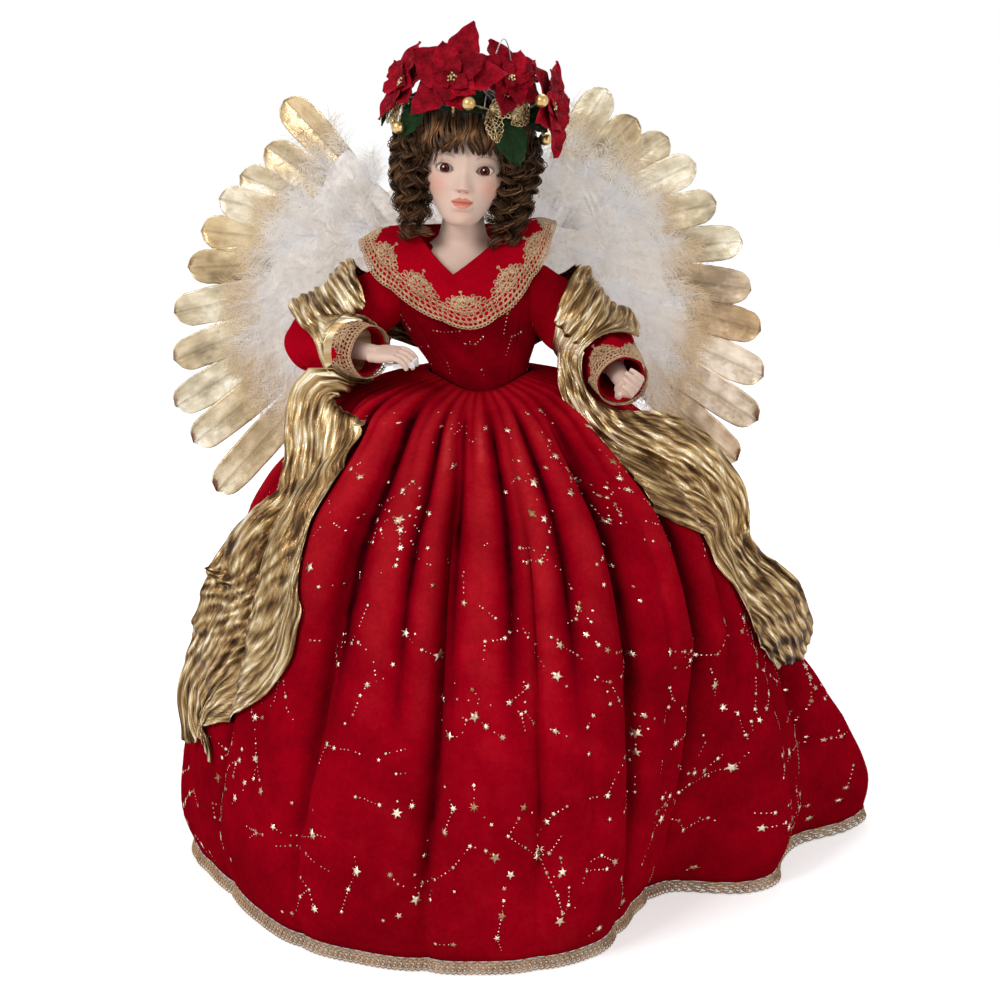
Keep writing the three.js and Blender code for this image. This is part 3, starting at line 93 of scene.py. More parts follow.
def follow(table, place, column=1):  # a smooth curve through the rows of a table of shares
    rows = np.asarray(table, float)
    x, y = rows[:, 0], rows[:, column]
    place = np.clip(np.asarray(place, float), x[0], x[-1])
    row = np.clip(np.searchsorted(x, place, side="right") - 1, 0, len(x) - 2)
    low = np.maximum(np.arange(len(x)) - 1, 0)
    high = np.minimum(np.arange(len(x)) + 1, len(x) - 1)
    slope = (y[high] - y[low]) / (x[high] - x[low])
    span = x[row + 1] - x[row]
    t = (place - x[row]) / span
    t2, t3 = t * t, t ** 3
    return ((2 * t3 - 3 * t2 + 1) * y[row] + (t3 - 2 * t2 + t) * span * slope[row]
            + (3 * t2 - 2 * t3) * y[row + 1] + (t3 - t2) * span * slope[row + 1])


def curveThrough(points, shares):  # a centripetal curve, read at shares of its number of spans
    points = np.asarray(points, float)
    shares = np.asarray(shares, float)
    path = np.vstack([2 * points[:1] - points[1:2], points, 2 * points[-1:] - points[-2:-1]])
    spans = len(points) - 1
    row = np.clip(np.floor(shares * spans).astype(int), 0, spans - 1)
    t = (shares * spans - row)[..., None]
    p0, p1, p2, p3 = (path[row + i] for i in range(4))
    d0, d1, d2 = (np.maximum(np.linalg.norm(b - a, axis=-1, keepdims=True), 1e-6) ** 0.5
                  for a, b in ((p0, p1), (p1, p2), (p2, p3)))
    s1 = ((p1 - p0) / d0 - (p2 - p0) / (d0 + d1) + (p2 - p1) / d1) * d1
    s2 = ((p2 - p1) / d1 - (p3 - p1) / (d1 + d2) + (p3 - p2) / d2) * d1
    return (p1 + s1 * t + (3 * (p2 - p1) - 2 * s1 - s2) * t ** 2
            + (2 * (p1 - p2) + s1 + s2) * t ** 3)


def evenly(points, count=200):  # shares that step evenly along the curve's length
    fine = np.linspace(0, 1, 400)
    path = curveThrough(points, fine)
    length = np.concatenate([[0], np.cumsum(np.linalg.norm(np.diff(path, axis=0), axis=1))])
    return np.interp(np.linspace(0, 1, count) * length[-1], length, fine)


def pointAt(points, share):
    shares = evenly(points, 401)
    return curveThrough(points, np.interp([share], np.linspace(0, 1, 401), shares))[0]


def tangentAt(points, share):
    return unit(pointAt(points, min(1, share + 0.004)) - pointAt(points, max(0, share - 0.004)))


def gridFaces(columns, rows, wraps=False):  # corners run along a row first
    across = columns if wraps else columns + 1
    column = np.arange(columns)[None, :]
    row = np.arange(rows)[:, None]
    beside = (column + 1) % across
    faces = np.stack([row * across + column, row * across + beside,
                      (row + 1) * across + beside, (row + 1) * across + column], axis=-1)
    return [faces.reshape(-1, 4)]


def closedFaces(columns, rows):  # a grid that closes round its columns, with a cap at both ends
    ring = np.arange(columns)[None, :]
    return gridFaces(columns, rows, True) + [ring[:, ::-1], rows * columns + ring]


def turnsRound(columns):  # azimuths from the back, round by the viewer's left, to the back again
    return fullTurn * np.arange(columns)[None, :] / columns - math.pi


def tubes(paths, radii, sides=5, closed=False):  # round threads along many paths of as many points
    paths = np.asarray(paths, float)
    paths = paths[None] if paths.ndim == 2 else paths
    count, steps = paths.shape[:2]
    radii = np.broadcast_to(np.asarray(radii, float), (count, steps))
    if closed:
        ahead = unit(np.roll(paths, -1, 1) - np.roll(paths, 1, 1))
    else:
        ahead = unit(np.gradient(paths, axis=1))
    axis = np.where(np.abs(ahead[:, 0, 2:3]) > 0.8, [[1.0, 0, 0]], [[0, 0, 1.0]])
    normal = unit(np.cross(ahead[:, 0], axis))
    normals = [normal]
    for step in range(1, steps):
        normal = unit(normal - dot(normal, ahead[:, step]) * ahead[:, step])
        normals.append(normal)
    normals = np.stack(normals, 1)
    side = np.cross(ahead, normals)
    angle = fullTurn * np.arange(sides) / sides
    ring = (np.cos(angle)[:, None] * normals[:, :, None] + np.sin(angle)[:, None] * side[:, :, None])
    points = paths[:, :, None] + radii[:, :, None, None] * ring
    spans = steps if closed else steps - 1
    start = np.arange(count)[:, None, None] * steps * sides
    here = start + np.arange(spans)[None, :, None] * sides
    after = start + ((np.arange(spans) + 1) % steps)[None, :, None] * sides
    turn = np.arange(sides)[None, None, :]
    beside = (turn + 1) % sides
    faces = [np.stack([here + turn, here + beside, after + beside, after + turn], -1).reshape(-1, 4)]
    if not closed:
        ends = np.arange(count)[:, None] * steps * sides
        faces.append(ends + np.arange(sides)[::-1][None, :])
        faces.append(ends + (steps - 1) * sides + np.arange(sides)[None, :])
    return points.reshape(-1, 3), faces


def merge(parts):
    points, faces, below = [], [], 0
    for corners, skin in parts:
        points.append(np.asarray(corners, float).reshape(-1, 3))
        faces += [np.asarray(face) + below for face in skin]
        below += len(points[-1])
    return np.concatenate(points), faces


def makeMesh(name, points, faces, uv=None, paint=None):
    mesh = bpy.data.meshes.new(name)
    points = np.asarray(points, float).reshape(-1, 3)
    corners = np.concatenate([np.asarray(face).ravel() for face in faces]).astype(np.int32)
    sizes = np.concatenate([np.full(len(face), np.shape(face)[1]) for face in faces]).astype(np.int32)
    mesh.vertices.add(len(points))
    mesh.vertices.foreach_set("co", (points * mm).astype(np.float32).ravel())
    mesh.loops.add(len(corners))
    mesh.loops.foreach_set("vertex_index", corners)
    mesh.polygons.add(len(sizes))
    mesh.polygons.foreach_set("loop_start", (np.cumsum(sizes) - sizes).astype(np.int32))
    mesh.polygons.foreach_set("use_smooth", np.ones(len(sizes), bool))
    mesh.update(calc_edges=True)
    if uv is not None:
        layer = mesh.uv_layers.new(name="lay")
        layer.data.foreach_set("uv", np.asarray(uv, np.float32).reshape(-1, 2)[corners].ravel())
    if paint is not None:
        colours = np.ones((len(points), 4), np.float32)
        colours[:, :3] = np.asarray(paint, float).reshape(-1, 3)
        attribute = mesh.color_attributes.new("paint", "FLOAT_COLOR", "POINT")
        attribute.data.foreach_set("color", colours.ravel())
    piece = bpy.data.objects.new(name, mesh)
    bpy.context.scene.collection.objects.link(piece)
    return piece


def settle(piece, *modifiers):  # adds modifiers, given as (kind, settings), and applies them in turn
    for kind, settings in modifiers:
        modifier = piece.modifiers.new(kind.lower(), kind)
        for key, value in settings.items():
            setattr(modifier, key, value)
    bpy.context.view_layer.update()
    shaped = piece.evaluated_get(bpy.context.evaluated_depsgraph_get())
    mesh = bpy.data.meshes.new_from_object(shaped)
    piece.modifiers.clear()
    piece.data = mesh
    mesh.polygons.foreach_set("use_smooth", np.ones(len(mesh.polygons), bool))
    return piece


def cornersOf(piece):  # the corners of a mesh and its normals there, in millimetres
    count = len(piece.data.vertices)
    places, normals = np.empty(count * 3, np.float32), np.empty(count * 3, np.float32)
    piece.data.vertices.foreach_get("co", places)
    piece.data.vertices.foreach_get("normal", normals)
    return places.reshape(-1, 3).astype(float) / mm, normals.reshape(-1, 3).astype(float)


def moveCorners(piece, points):
    piece.data.vertices.foreach_set("co", (points * mm).astype(np.float32).ravel())
    piece.data.update()


def thicken(piece, thickness, offset=-1):
    return settle(piece, ("SOLIDIFY", {"thickness": thickness * mm, "offset": offset}))


def dress(piece, finish, slotName, *nodes):
    piece.data.materials.clear()
    piece.data.materials.append(finish)
    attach(piece, "root")
    if nodes:
        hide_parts(*nodes)
    return piece


def linear(red, green, blue):  # a colour from the 0 to 255 of a screen
    values = np.array([red, green, blue], float) / 255
    return np.where(values <= 0.04045, values / 12.92, ((values + 0.055) / 1.055) ** 2.4)


def grey(shades):  # the same share in red, green and blue
    return np.repeat(shades[..., None], 3, -1)


def makePiece(name, shape, finish, slotName, *nodes, uv=None, paint=None, thickness=0, offset=-1):
    piece = makeMesh(name, *shape, uv, paint)
    if thickness:
        thicken(piece, thickness, offset)
    return dress(piece, finishes[finish], slotName, *nodes)


# Finishes

class Wire:  # a node's output that can be reckoned with
    def __init__(self, finish, socket):
        self.finish, self.socket = finish, socket

    def reckon(self, operation, first, second):
        return self.finish.node("ShaderNodeMath", {"operation": operation}, {0: first, 1: second})

    def __add__(self, other):
        return self.reckon("ADD", self, other)

    def __radd__(self, other):
        return self.reckon("ADD", other, self)

    def __sub__(self, other):
        return self.reckon("SUBTRACT", self, other)

    def __rsub__(self, other):
        return self.reckon("SUBTRACT", other, self)

    def __mul__(self, other):
        return self.reckon("MULTIPLY", self, other)

    def __rmul__(self, other):
        return self.reckon("MULTIPLY", other, self)


class Finish:
    def __init__(self, name, world=None):
        self.material = world or bpy.data.materials.new(name)
        self.material.use_nodes = True
        self.tree = self.material.node_tree
        self.tree.nodes.clear()
        self.place = None if world else self.node("ShaderNodeTexCoord", output="Object")

    def node(self, kind, settings=None, sockets=None, output=0):
        node = self.tree.nodes.new(kind)
        for key, value in (settings or {}).items():
            if key == "stops":
                stops = node.color_ramp.elements
                while len(stops) < len(value):
                    stops.new(0.5)
                for stop, (position, colour) in zip(stops, value):
                    stop.position, stop.color = position, (*colour, 1)
            else:
                setattr(node, key, value)
        for key, value in (sockets or {}).items():
            if isinstance(key, int):
                socket = node.inputs[key]
            else:
                named = [s for s in node.inputs if key in (s.identifier, s.name) and s.enabled]
                socket = named[0]
            if isinstance(value, Wire):
                self.tree.links.new(value.socket, socket)
            elif socket.type == "RGBA":
                socket.default_value = (*value, 1)
            else:
                socket.default_value = value
        return Wire(self, node.outputs[output])

    def noise(self, scale, detail=3, roughness=0.5, place=None):
        return self.node("ShaderNodeTexNoise", None, {
            "Vector": place or self.place, "Scale": scale, "Detail": detail, "Roughness": roughness,
        }, "Fac")

    def mix(self, share, first, second, blend="MIX"):
        return self.node("ShaderNodeMix", {"data_type": "RGBA", "blend_type": blend}, {
            "Factor_Float": share, "A_Color": first, "B_Color": second}, 2)

    def shade(self, colour, tone):
        tones = self.node("ShaderNodeCombineXYZ", None, {0: tone, 1: tone, 2: tone})
        return self.mix(1.0, colour, tones, "MULTIPLY")

    def ramp(self, share, *stops):
        return self.node("ShaderNodeValToRGB", {"stops": stops}, {"Fac": share})

    def step(self, value, low, high, to=(0, 1)):
        return self.node("ShaderNodeMapRange", {"interpolation_type": "SMOOTHSTEP"}, {
            "Value": value, "From Min": low, "From Max": high, "To Min": to[0], "To Max": to[1]})

    def wave(self, scale, distortion=0.0, direction="X", detail=1.0):
        return self.node("ShaderNodeTexWave", {"bands_direction": direction}, {
            "Vector": self.place, "Scale": scale, "Distortion": distortion, "Detail": detail,
        }, "Fac")

    def paintShare(self):  # the paint's red as a plain value
        return self.node("ShaderNodeSeparateColor", None, {"Color": self.paint()})

    def paint(self):
        return self.node("ShaderNodeAttribute", {"attribute_name": "paint"}, None, "Color")

    def lay(self, across, along):  # the cloth's own coordinates, with its threads stretched to size
        uv = self.node("ShaderNodeUVMap", {"uv_map": "lay"})
        return self.node("ShaderNodeVectorMath", {"operation": "MULTIPLY"}, {
            0: uv, 1: (across, along, 1)})

    def bump(self, height, distance, strength=1.0, normal=None):
        sockets = {"Height": height, "Distance": distance, "Strength": strength}
        if normal:
            sockets["Normal"] = normal
        return self.node("ShaderNodeBump", None, sockets)

    def surface(self, **sockets):
        names = {"colour": "Base Color", "roughness": "Roughness", "metallic": "Metallic",
                 "normal": "Normal", "sheen": "Sheen Weight", "sheenRoughness": "Sheen Roughness",
                 "sheenTint": "Sheen Tint", "specular": "Specular IOR Level",
                 "soft": "Subsurface Weight", "softScale": "Subsurface Scale",
                 "softRadius": "Subsurface Radius",
                 "glow": "Emission Color", "glowStrength": "Emission Strength"}
        shader = self.node("ShaderNodeBsdfPrincipled", None, {
            names[key]: value for key, value in sockets.items()})
        return self.out(shader)

    def out(self, shader):
        isWorld = isinstance(self.material, bpy.types.World)
        output = self.tree.nodes.new("ShaderNodeOutputWorld" if isWorld else "ShaderNodeOutputMaterial")
        self.tree.links.new(shader.socket, output.inputs["Surface"])
        return self.material


def velvetFinish(name, red, sheen, painted=False):  # short pile, brushed a little one way and the other
    f = Finish(name)
    brushed = f.noise(11, 5, 0.6)
    pile = f.noise(420, 4, 0.7)
    tone = f.step(brushed, 0.3, 0.7, (0.8, 1.18)) * f.step(pile, 0.2, 0.8, (0.84, 1.14))
    colour = linear(*red)
    if painted:  # the paint holds painted shade for the creases and painted sheen highlights for the crests
        lit = f.paintShare() + f.step(f.noise(70, 4, 0.6), 0.3, 0.7, (-0.05, 0.05))
        # painted shade at 0, the cloth's own red at 0.5, painted highlights at 0.8 and 1
        colour = f.ramp(lit, (0, linear(46, 0, 6)), (0.5, colour), (0.8, linear(178, 26, 36)),
                        (1.0, linear(208, 70, 68)))
    return f.surface(colour=f.shade(colour, tone), roughness=f.step(brushed, 0.3, 0.7, (0.85, 0.7)),
                     sheen=sheen, sheenRoughness=0.4, sheenTint=(1.0, 0.02, 0.03), specular=0.0,
                     normal=f.bump(pile, 0.0003, 0.5))


def threadFinish(name, light, dark, metallic=0.0):  # twisted lace thread with a gold strand in it
    f = Finish(name)
    twist = f.noise(900, 2)
    mottle = f.noise(70, 3)
    share = f.step(twist, 0.35, 0.65) * 0.6 + f.step(mottle, 0.3, 0.7) * 0.4
    return f.surface(colour=f.mix(share, linear(*dark), linear(*light)), metallic=metallic,
                     roughness=f.step(twist, 0.3, 0.7, (0.42, 0.7)), normal=f.bump(twist, 0.0002, 0.7))


def porcelainFinish():  # bisque with painted features
    f = Finish("painted_bisque")
    cloud = f.noise(60, 3)
    tint = f.step(cloud, 0.3, 0.7, (0.975, 1.02))
    grain = f.noise(1500, 2)
    return f.surface(colour=f.shade(f.paint(), tint), specular=0.25,
                     roughness=f.step(cloud, 0.3, 0.7, (0.46, 0.54)),
                     soft=0.12, softScale=0.004, softRadius=(1.0, 0.4, 0.25),
                     normal=f.bump(grain, 0.00005, 0.4))


def eyeFinish():
    f = Finish("eye_glass")
    spoke = f.noise(2600, 2)
    glow = f.step(spoke, 0.3, 0.7, (0.85, 1.15))
    return f.surface(colour=f.shade(f.paint(), glow), roughness=0.15, specular=0.06)


def strandFinish(name, roughness, tones=(0.82, 1.15), paintedScatterGlow=0.0, **sockets):
    f = Finish(name)
    tone = f.step(f.noise(160, 2), 0.3, 0.7, tones)
    colour = f.shade(f.paint(), tone)
    if paintedScatterGlow:  # a painted glow that stands in for the light that goes on from barb to barb
        sockets = dict(sockets, glow=colour, glowStrength=paintedScatterGlow)
    return f.surface(colour=colour, roughness=roughness, **sockets)


def lameFinish():  # metal-coated crinkled cloth: the paint holds painted reflections, bright on folds that face the light and dark in the pleats
    f = Finish("crinkled_lame")
    crinkle = f.noise(430, 4, 0.65, f.lay(1, 0.16))
    weave = f.noise(1500, 2)
    shine = f.paintShare() * 0.85 + f.step(crinkle, 0.34, 0.66, (-0.14, 0.24))
    # painted reflection: from a dark brown where the cloth would mirror shade to near white where it would mirror
    # the lamps
    metal = f.ramp(shine, (0.12, linear(58, 38, 20)), (0.37, linear(122, 92, 56)), (0.64, linear(184, 156, 110)),
                   (0.92, linear(255, 245, 218)))
    creases = f.bump(crinkle, 0.0007, 0.9)
    return f.surface(colour=metal, metallic=0.85, roughness=f.step(crinkle, 0.4, 0.6, (0.42, 0.24)),
                     normal=f.bump(weave, 0.0002, 0.3, creases))


def featherFinish():  # coated satin, ribbed slantwise from the shaft, with painted reflections as light and dark patches
    f = Finish("coated_satin")
    across = f.node("ShaderNodeSeparateXYZ", None, {"Vector": f.lay(1, 1)})
    along = Wire(f, across.socket.node.outputs["Y"])
    slant = f.node("ShaderNodeMath", {"operation": "ABSOLUTE"}, {0: across})
    ribs = f.node("ShaderNodeMath", {"operation": "SINE"}, {0: (along - slant * 0.5) * 7800})
    # painted reflection: these two noises give the satin's colour light and dark patches; the first also varies the
    # roughness
    mottle = f.noise(26, 4, 0.6)
    streak = f.noise(140, 3, 0.6, f.lay(1, 0.25))
    metal = f.ramp(mottle * 0.6 + streak * 0.4, (0.36, linear(158, 146, 126)), (0.48, linear(212, 200, 176)),
                   (0.6, linear(252, 247, 234)))
    return f.surface(colour=f.mix(1.0, metal, f.paint(), "MULTIPLY"), metallic=0.7,
                     roughness=f.step(mottle, 0.3, 0.7, (0.34, 0.2)),
                     normal=f.bump(ribs * f.step(f.noise(300, 2), 0.2, 0.8, (0.3, 1)), 0.00012, 0.7))


def petalFinish(name, dark, light, gloss):  # crumpled cloth with darker veins, painted darker where the crumples dip: painted shade
    f = Finish(name)
    crumple = f.noise(120, 5, 0.68)
    blotch = f.noise(260, 4, 0.6)
    # painted shade: the colour follows the crumple's bump, dark in its hollows, with random blotches
    tone = f.mix(f.step(crumple * 0.6 + blotch * 0.4, 0.25, 0.75), linear(*dark), linear(*light))
    return f.surface(colour=f.mix(1.0, tone, f.paint(), "MULTIPLY"), specular=gloss,
                     roughness=f.step(blotch, 0.3, 0.7, (0.62, 0.42)), normal=f.bump(crumple, 0.003, 0.9))


def metalFinish(name, dark, light, roughness, grain):
    f = Finish(name)
    mottle = f.noise(grain, 4)
    return f.surface(colour=f.mix(f.step(mottle, 0.35, 0.65), linear(*dark), linear(*light)),
                     metallic=0.9, roughness=f.step(mottle, 0.3, 0.7, (roughness * 1.3, roughness * 0.8)),
                     normal=f.bump(mottle, 0.0001, 0.3))


def plainFinish(name, dark, light, roughness, grain, depth, paintedScatterGlow=0.0):  # card, down pad or plastic; the down pad takes a painted glow in place of the light that goes on within it
    f = Finish(name)
    fibre = f.noise(grain, 4, 0.65)
    colour = f.mix(f.step(fibre, 0.3, 0.7), linear(*dark), linear(*light))
    glow = {"glow": colour, "glowStrength": paintedScatterGlow} if paintedScatterGlow else {}
    return f.surface(colour=colour, roughness=f.step(fibre, 0.3, 0.7, (roughness * 1.1, roughness * 0.9)),
                     normal=f.bump(fibre, depth, 0.6), **glow)


def calicoFinish():
    f = Finish("calico")
    weave = f.wave(330, direction="X") + f.wave(330, direction="Z")
    slub = f.noise(260, 3)
    return f.surface(colour=f.mix(f.step(weave + slub, 0.8, 2.0), linear(188, 172, 138), linear(226, 214, 186)),
                     roughness=0.9, normal=f.bump(weave, 0.0002, 0.6))


def woodFinish():
    f = Finish("turned_wood")
    rings = f.wave(26, distortion=3.0, detail=3.0)
    pores = f.noise(380, 4)
    return f.surface(colour=f.mix(f.step(rings * 0.8 + pores * 0.2, 0.2, 0.9), linear(150, 104, 58),
                                  linear(206, 164, 108)),
                     roughness=f.step(pores, 0.3, 0.7, (0.6, 0.48)), normal=f.bump(pores, 0.0001, 0.4))


finishes = {
    "printedVelvet": velvetFinish("printed_velvet", (149, 2, 22), 0.1, True),
    "plainVelvet": velvetFinish("plain_velvet", (160, 3, 24), 0.2),
    "lace": threadFinish("ecru_gold_thread", (218, 184, 144), (132, 94, 60)),
    "bisque": porcelainFinish(),
    "glass": eyeFinish(),
    "hair": strandFinish("doll_hair", 0.4, specular=0.1),
    "wigBase": strandFinish("wig_base", 0.95, specular=0.02),
    "lame": lameFinish(),
    "feather": featherFinish(),
    # the down and its pad are given a painted glow, in place of the light scattered through the fluff
    "down": strandFinish("marabou", 0.9, (0.95, 1.04), 0.15, specular=0.0),
    "downCore": plainFinish("marabou_core", (222, 214, 208), (246, 241, 236), 0.95, 300, 0.0006, 0.12),
    "petals": petalFinish("flocked_red", (84, 0, 10), (182, 12, 38), 0.06),
    "leaves": petalFinish("leaf_cloth", (8, 28, 8), (26, 58, 20), 0.12),
    "gilt": metalFinish("gilt_wire", (128, 100, 62), (226, 202, 156), 0.36, 500),
    "beads": metalFinish("gilt_beads", (176, 140, 84), (214, 182, 126), 0.3, 90),
    "foil": strandFinish("foil_print", 0.3, metallic=0.85),
    "plastic": plainFinish("moulded_plastic", (236, 236, 236), (246, 246, 246), 0.35, 40, 0.00003),
    "calico": calicoFinish(),
    "card": plainFinish("pressed_card", (150, 124, 84), (186, 160, 116), 0.85, 420, 0.0002),
    "wingCard": plainFinish("covered_card", (214, 204, 184), (228, 219, 202), 0.7, 900, 0.0001),
    "wood": woodFinish(),
    "steel": metalFinish("steel_wire", (120, 120, 118), (170, 170, 168), 0.35, 200),
}

# Floor, backdrop, lamps and camera

studio = {"floor": 4.0, "light": 0.42, "backdrop": 0.5, "cameraPlace": (0.0075, -1.5, 0.65),
          "cameraTilt": 74.1, "lens": 95.2, "sensor": 36}
lampRows = {"key": ((-1.0, -1.2, 1.45), 0.7, 18), "fill": ((1.3, -1.2, 0.8), 1.0, 6),
            "rim": ((0.3, 1.2, 1.6), 0.8, 9)}


def seenPlain(f, low, high):  # low for the light it gives, high where the camera, gloss or glass sees it
    rays = f.node("ShaderNodeLightPath", output="Is Camera Ray")
    seen = rays
    for ray in ("Is Glossy Ray", "Is Transmission Ray"):
        seen = seen + Wire(f, rays.socket.node.outputs[ray])
    return f.step(seen, 0, 1, (low, high))


def makeStudio():
    size = studio["floor"] / 2
    mesh = bpy.data.meshes.new("floor")
    mesh.from_pydata([(-size, -size, 0), (size, -size, 0), (size, size, 0), (-size, size, 0)], [],
                     [(0, 1, 2, 3)])
    floor = bpy.data.objects.new("floor", mesh)
    bpy.context.scene.collection.objects.link(floor)
    f = Finish("floor")
    glow = seenPlain(f, 0, studio["backdrop"])
    floor.data.materials.append(f.surface(colour=(0.93, 0.93, 0.93), roughness=0.9, specular=0.1, glowStrength=1.0,
                                          glow=f.shade((1, 1, 1), glow)))
    world = bpy.data.worlds.new("studio")
    bpy.context.scene.world = world
    f = Finish("studio", world)
    f.out(f.node("ShaderNodeBackground", None, {
        "Color": (1, 1, 1), "Strength": seenPlain(f, studio["light"], 1.0)}))
    for name, (place, side, power) in lampRows.items():
        lamp = bpy.data.lights.new(name, "AREA")
        lamp.size, lamp.energy = side, power
        holder = bpy.data.objects.new(name, lamp)
        holder.location = place
        aim = Vector((0, 0, 0.26)) - Vector(place)
        holder.rotation_euler = aim.to_track_quat("-Z", "Y").to_euler()
        bpy.context.scene.collection.objects.link(holder)
    bpy.context.scene.view_settings.view_transform = "Standard"
    camera = bpy.data.objects.new("camera", bpy.data.cameras.new("camera"))
    camera.location = studio["cameraPlace"]
    camera.rotation_euler = (studio["cameraTilt"] * degree, 0, 0)
    camera.data.lens, camera.data.sensor_width = studio["lens"], studio["sensor"]
    bpy.context.scene.collection.objects.link(camera)
    bpy.context.scene.camera = camera
    print("studio ready")


makeStudio()

# Body and dress

doll = {"waist": 302, "neck": 377, "plate": 352, "chestHalfWidth": 46, "chestHalfDepth": 30, "lean": -13,
        "waistPoint": 8, "headHeight": 430, "headForward": -8, "headLean": -11.5, "headRoll": 5}

bodyRows = [[-0.3, 0.2, 0.6, 0.62], [0, 0.32, 0.61, 0.68], [0.25, 0.6, 0.79, 0.86], [0.5, 0.9, 0.94, 1],
            [0.66, 1, 1, 0.97], [0.8, 1.05, 0.94, 0.82], [0.92, 1.08, 0.7, 0.66], [1, 1.08, 0.42, 0.54]]


def bodyPoint(azimuth, height, lift):
    share = (height - doll["waist"]) / (doll["neck"] - doll["waist"])
    halfWidth = follow(bodyRows, share, 2) * doll["chestHalfWidth"] + lift
    halfDepth = follow(bodyRows, share, 3) * doll["chestHalfDepth"] + lift
    return stack(follow(bodyRows, share, 1) * doll["lean"] + halfWidth * np.sin(azimuth),
                 -halfDepth * np.cos(azimuth), height)


skirt = {"hemRadius": 176, "hemHeight": 7.5, "foldDepth": 12.0, "gathers": 25, "gatherDepth": 9.5,
         "tucks": 47, "tuckDepth": 1.6, "hemStitch": 0.5, "sideBulge": 7, "driftDepth": 1.6, "creaseDepth": 1.1,
         "columns": 560, "rows": 88, "thickness": 1.2,
         "flat": (1.22, 0.335), "area": 0.4}

hemRows = [[-180, 0.93], [-150, 0.97], [-120, 1], [-90, 0.99], [-83, 0.965], [-77, 0.93], [-66, 0.905],
           [-60, 0.905], [-47, 0.93], [-37, 0.955], [-25, 0.955], [-12, 0.95], [-1, 0.945], [10, 0.93],
           [23, 0.87], [34, 0.75], [44, 0.67], [56, 0.65], [61, 0.7], [66, 0.89], [73, 0.98], [84, 0.98],
           [92, 1.06], [97, 1.25], [103, 1.36], [110, 1.28], [124, 1.08], [150, 0.98], [180, 0.93]]
bellRows = [[0, 1], [0.11, 1.06], [0.32, 1.005], [0.54, 0.88], [0.7, 0.795], [0.79, 0.715], [0.86, 0.6],
            [0.92, 0.485], [0.955, 0.41], [0.985, 0.305], [1, 0.17]]
# Valleys between the folds: turn from the front in degrees, depth share
foldRows = [[-170, 0.9], [-150, 0.35], [-134, 1.0], [-117, 0.3], [-101, 0.9], [-84, 0.4], [-65, 1.0],
            [-50, 0.25], [-36, 1.15], [-23, 0.3], [-10, 1.5], [-1, 0.2], [10.5, 0.9], [21, 0.25], [32, 1.4],
            [42, 0.3], [52, 1.4], [66, 0.5], [80, 0.35], [95, 1.0], [112, 0.35], [128, 1.0], [146, 0.4],
            [161, 0.95], [176, 0.3]]


def around(degrees):  # an angle between -180 and 180
    return (np.asarray(degrees, float) + 180) % 360 - 180


def seamHeight(azimuth):
    return doll["waist"] - doll["waistPoint"] * np.maximum(0, np.cos(azimuth)) ** 4


def puckers(azimuth, count, seed):  # 0 in the creases and 1 on the crests, unevenly spaced
    return np.abs(np.cos(count * azimuth / 2 + 3.2 * wander(seed, azimuth / fullTurn, 2, 9))) ** 0.8


def foldRelief(degrees):  # 0 on the crests, and down to each valley's depth share
    rows = np.array([[foldRows[-1][0] - 360, foldRows[-1][1]]] + foldRows
                    + [[foldRows[0][0] + 360, foldRows[0][1]]])
    row = np.clip(np.searchsorted(rows[:, 0], degrees, side="right") - 1, 0, len(rows) - 2)
    share = (degrees - rows[row, 0]) / (rows[row + 1, 0] - rows[row, 0])
    depth = mix(rows[row, 1], rows[row + 1, 1], smoothstep(share, 0.25, 0.75))
    return (1 - np.sin(math.pi * np.clip(share, 0.0, 1.0)) ** 0.6) * depth


def skirtRelief(share, azimuth):  # how far the folds stand in, and how far the gathers stand out
    degrees = around(azimuth / degree)
    sway = 1.6 * np.sin(share * 6.5 + 0.6) * (1 - share) + 1.2 * wander(7, share * 0.6 + azimuth * 0.1, 2, 5)
    fade = smoothstep(share, -0.12, 0.4) * (1 - smoothstep(share, 0.84, 0.985))
    folds = foldRelief(around(degrees + sway)) * fade
    strength = np.clip(0.75 + 1.3 * wander(4, azimuth / fullTurn, 3, 11), 0.15, 1.5)
    gathered = smoothstep(share, 0.36, 0.82) * (1 - smoothstep(share, 0.94, 1))
    gathers = gathered * strength * (puckers(azimuth, skirt["gathers"], 3) - 0.6)
    return folds, gathers


def skirtPoint(azimuth, height, lift, fine=True):
    azimuth, height = np.broadcast_arrays(np.asarray(azimuth, float), np.asarray(height, float))
    share = height / seamHeight(azimuth)
    degrees = around(azimuth / degree)
    flare = np.maximum(0, 1 - share / 0.55) ** 0.85
    radius = follow(bellRows, share) * skirt["hemRadius"] * mix(1, follow(hemRows, degrees), flare)
    bulge = bell(share - 0.955, 0.035) * bell(around(degrees + 72), 34) * (1 - smoothstep(share, 0.965, 1))
    radius = radius + lift + skirt["sideBulge"] * bulge
    if fine:
        folds, gathers = skirtRelief(share, azimuth)
        radius = radius - skirt["foldDepth"] * folds + 2.2 * (1 - share) + skirt["gatherDepth"] * gathers
        tucked = smoothstep(share, 0.78, 0.93) * (1 - 0.75 * smoothstep(share, 0.97, 1))
        radius = radius + skirt["tuckDepth"] * tucked * (puckers(azimuth, skirt["tucks"], 5) - 0.6)
        loose = smoothstep(share, 0.0, 0.25) * (1 - smoothstep(share, 0.75, 0.92))
        drift = azimuth / fullTurn + 0.012 * np.sin(share * 7)
        radius = radius + loose * skirt["driftDepth"] * wander(6, drift, 9, 26, 7)
        crease = wander(8, azimuth / fullTurn + 0.9 * share, 5, 13, 6)
        radius = radius + skirt["creaseDepth"] * crease * loose
        radius = radius - skirt["hemStitch"] * bell(share - 0.03, 0.012)  # the turned-up hem's stitched line
    narrow = smoothstep(share, 0.82, 1)
    return stack(doll["lean"] * 0.32 * narrow + radius * np.sin(azimuth),
                 -radius * np.cos(azimuth) * mix(1, 0.78, narrow), height)


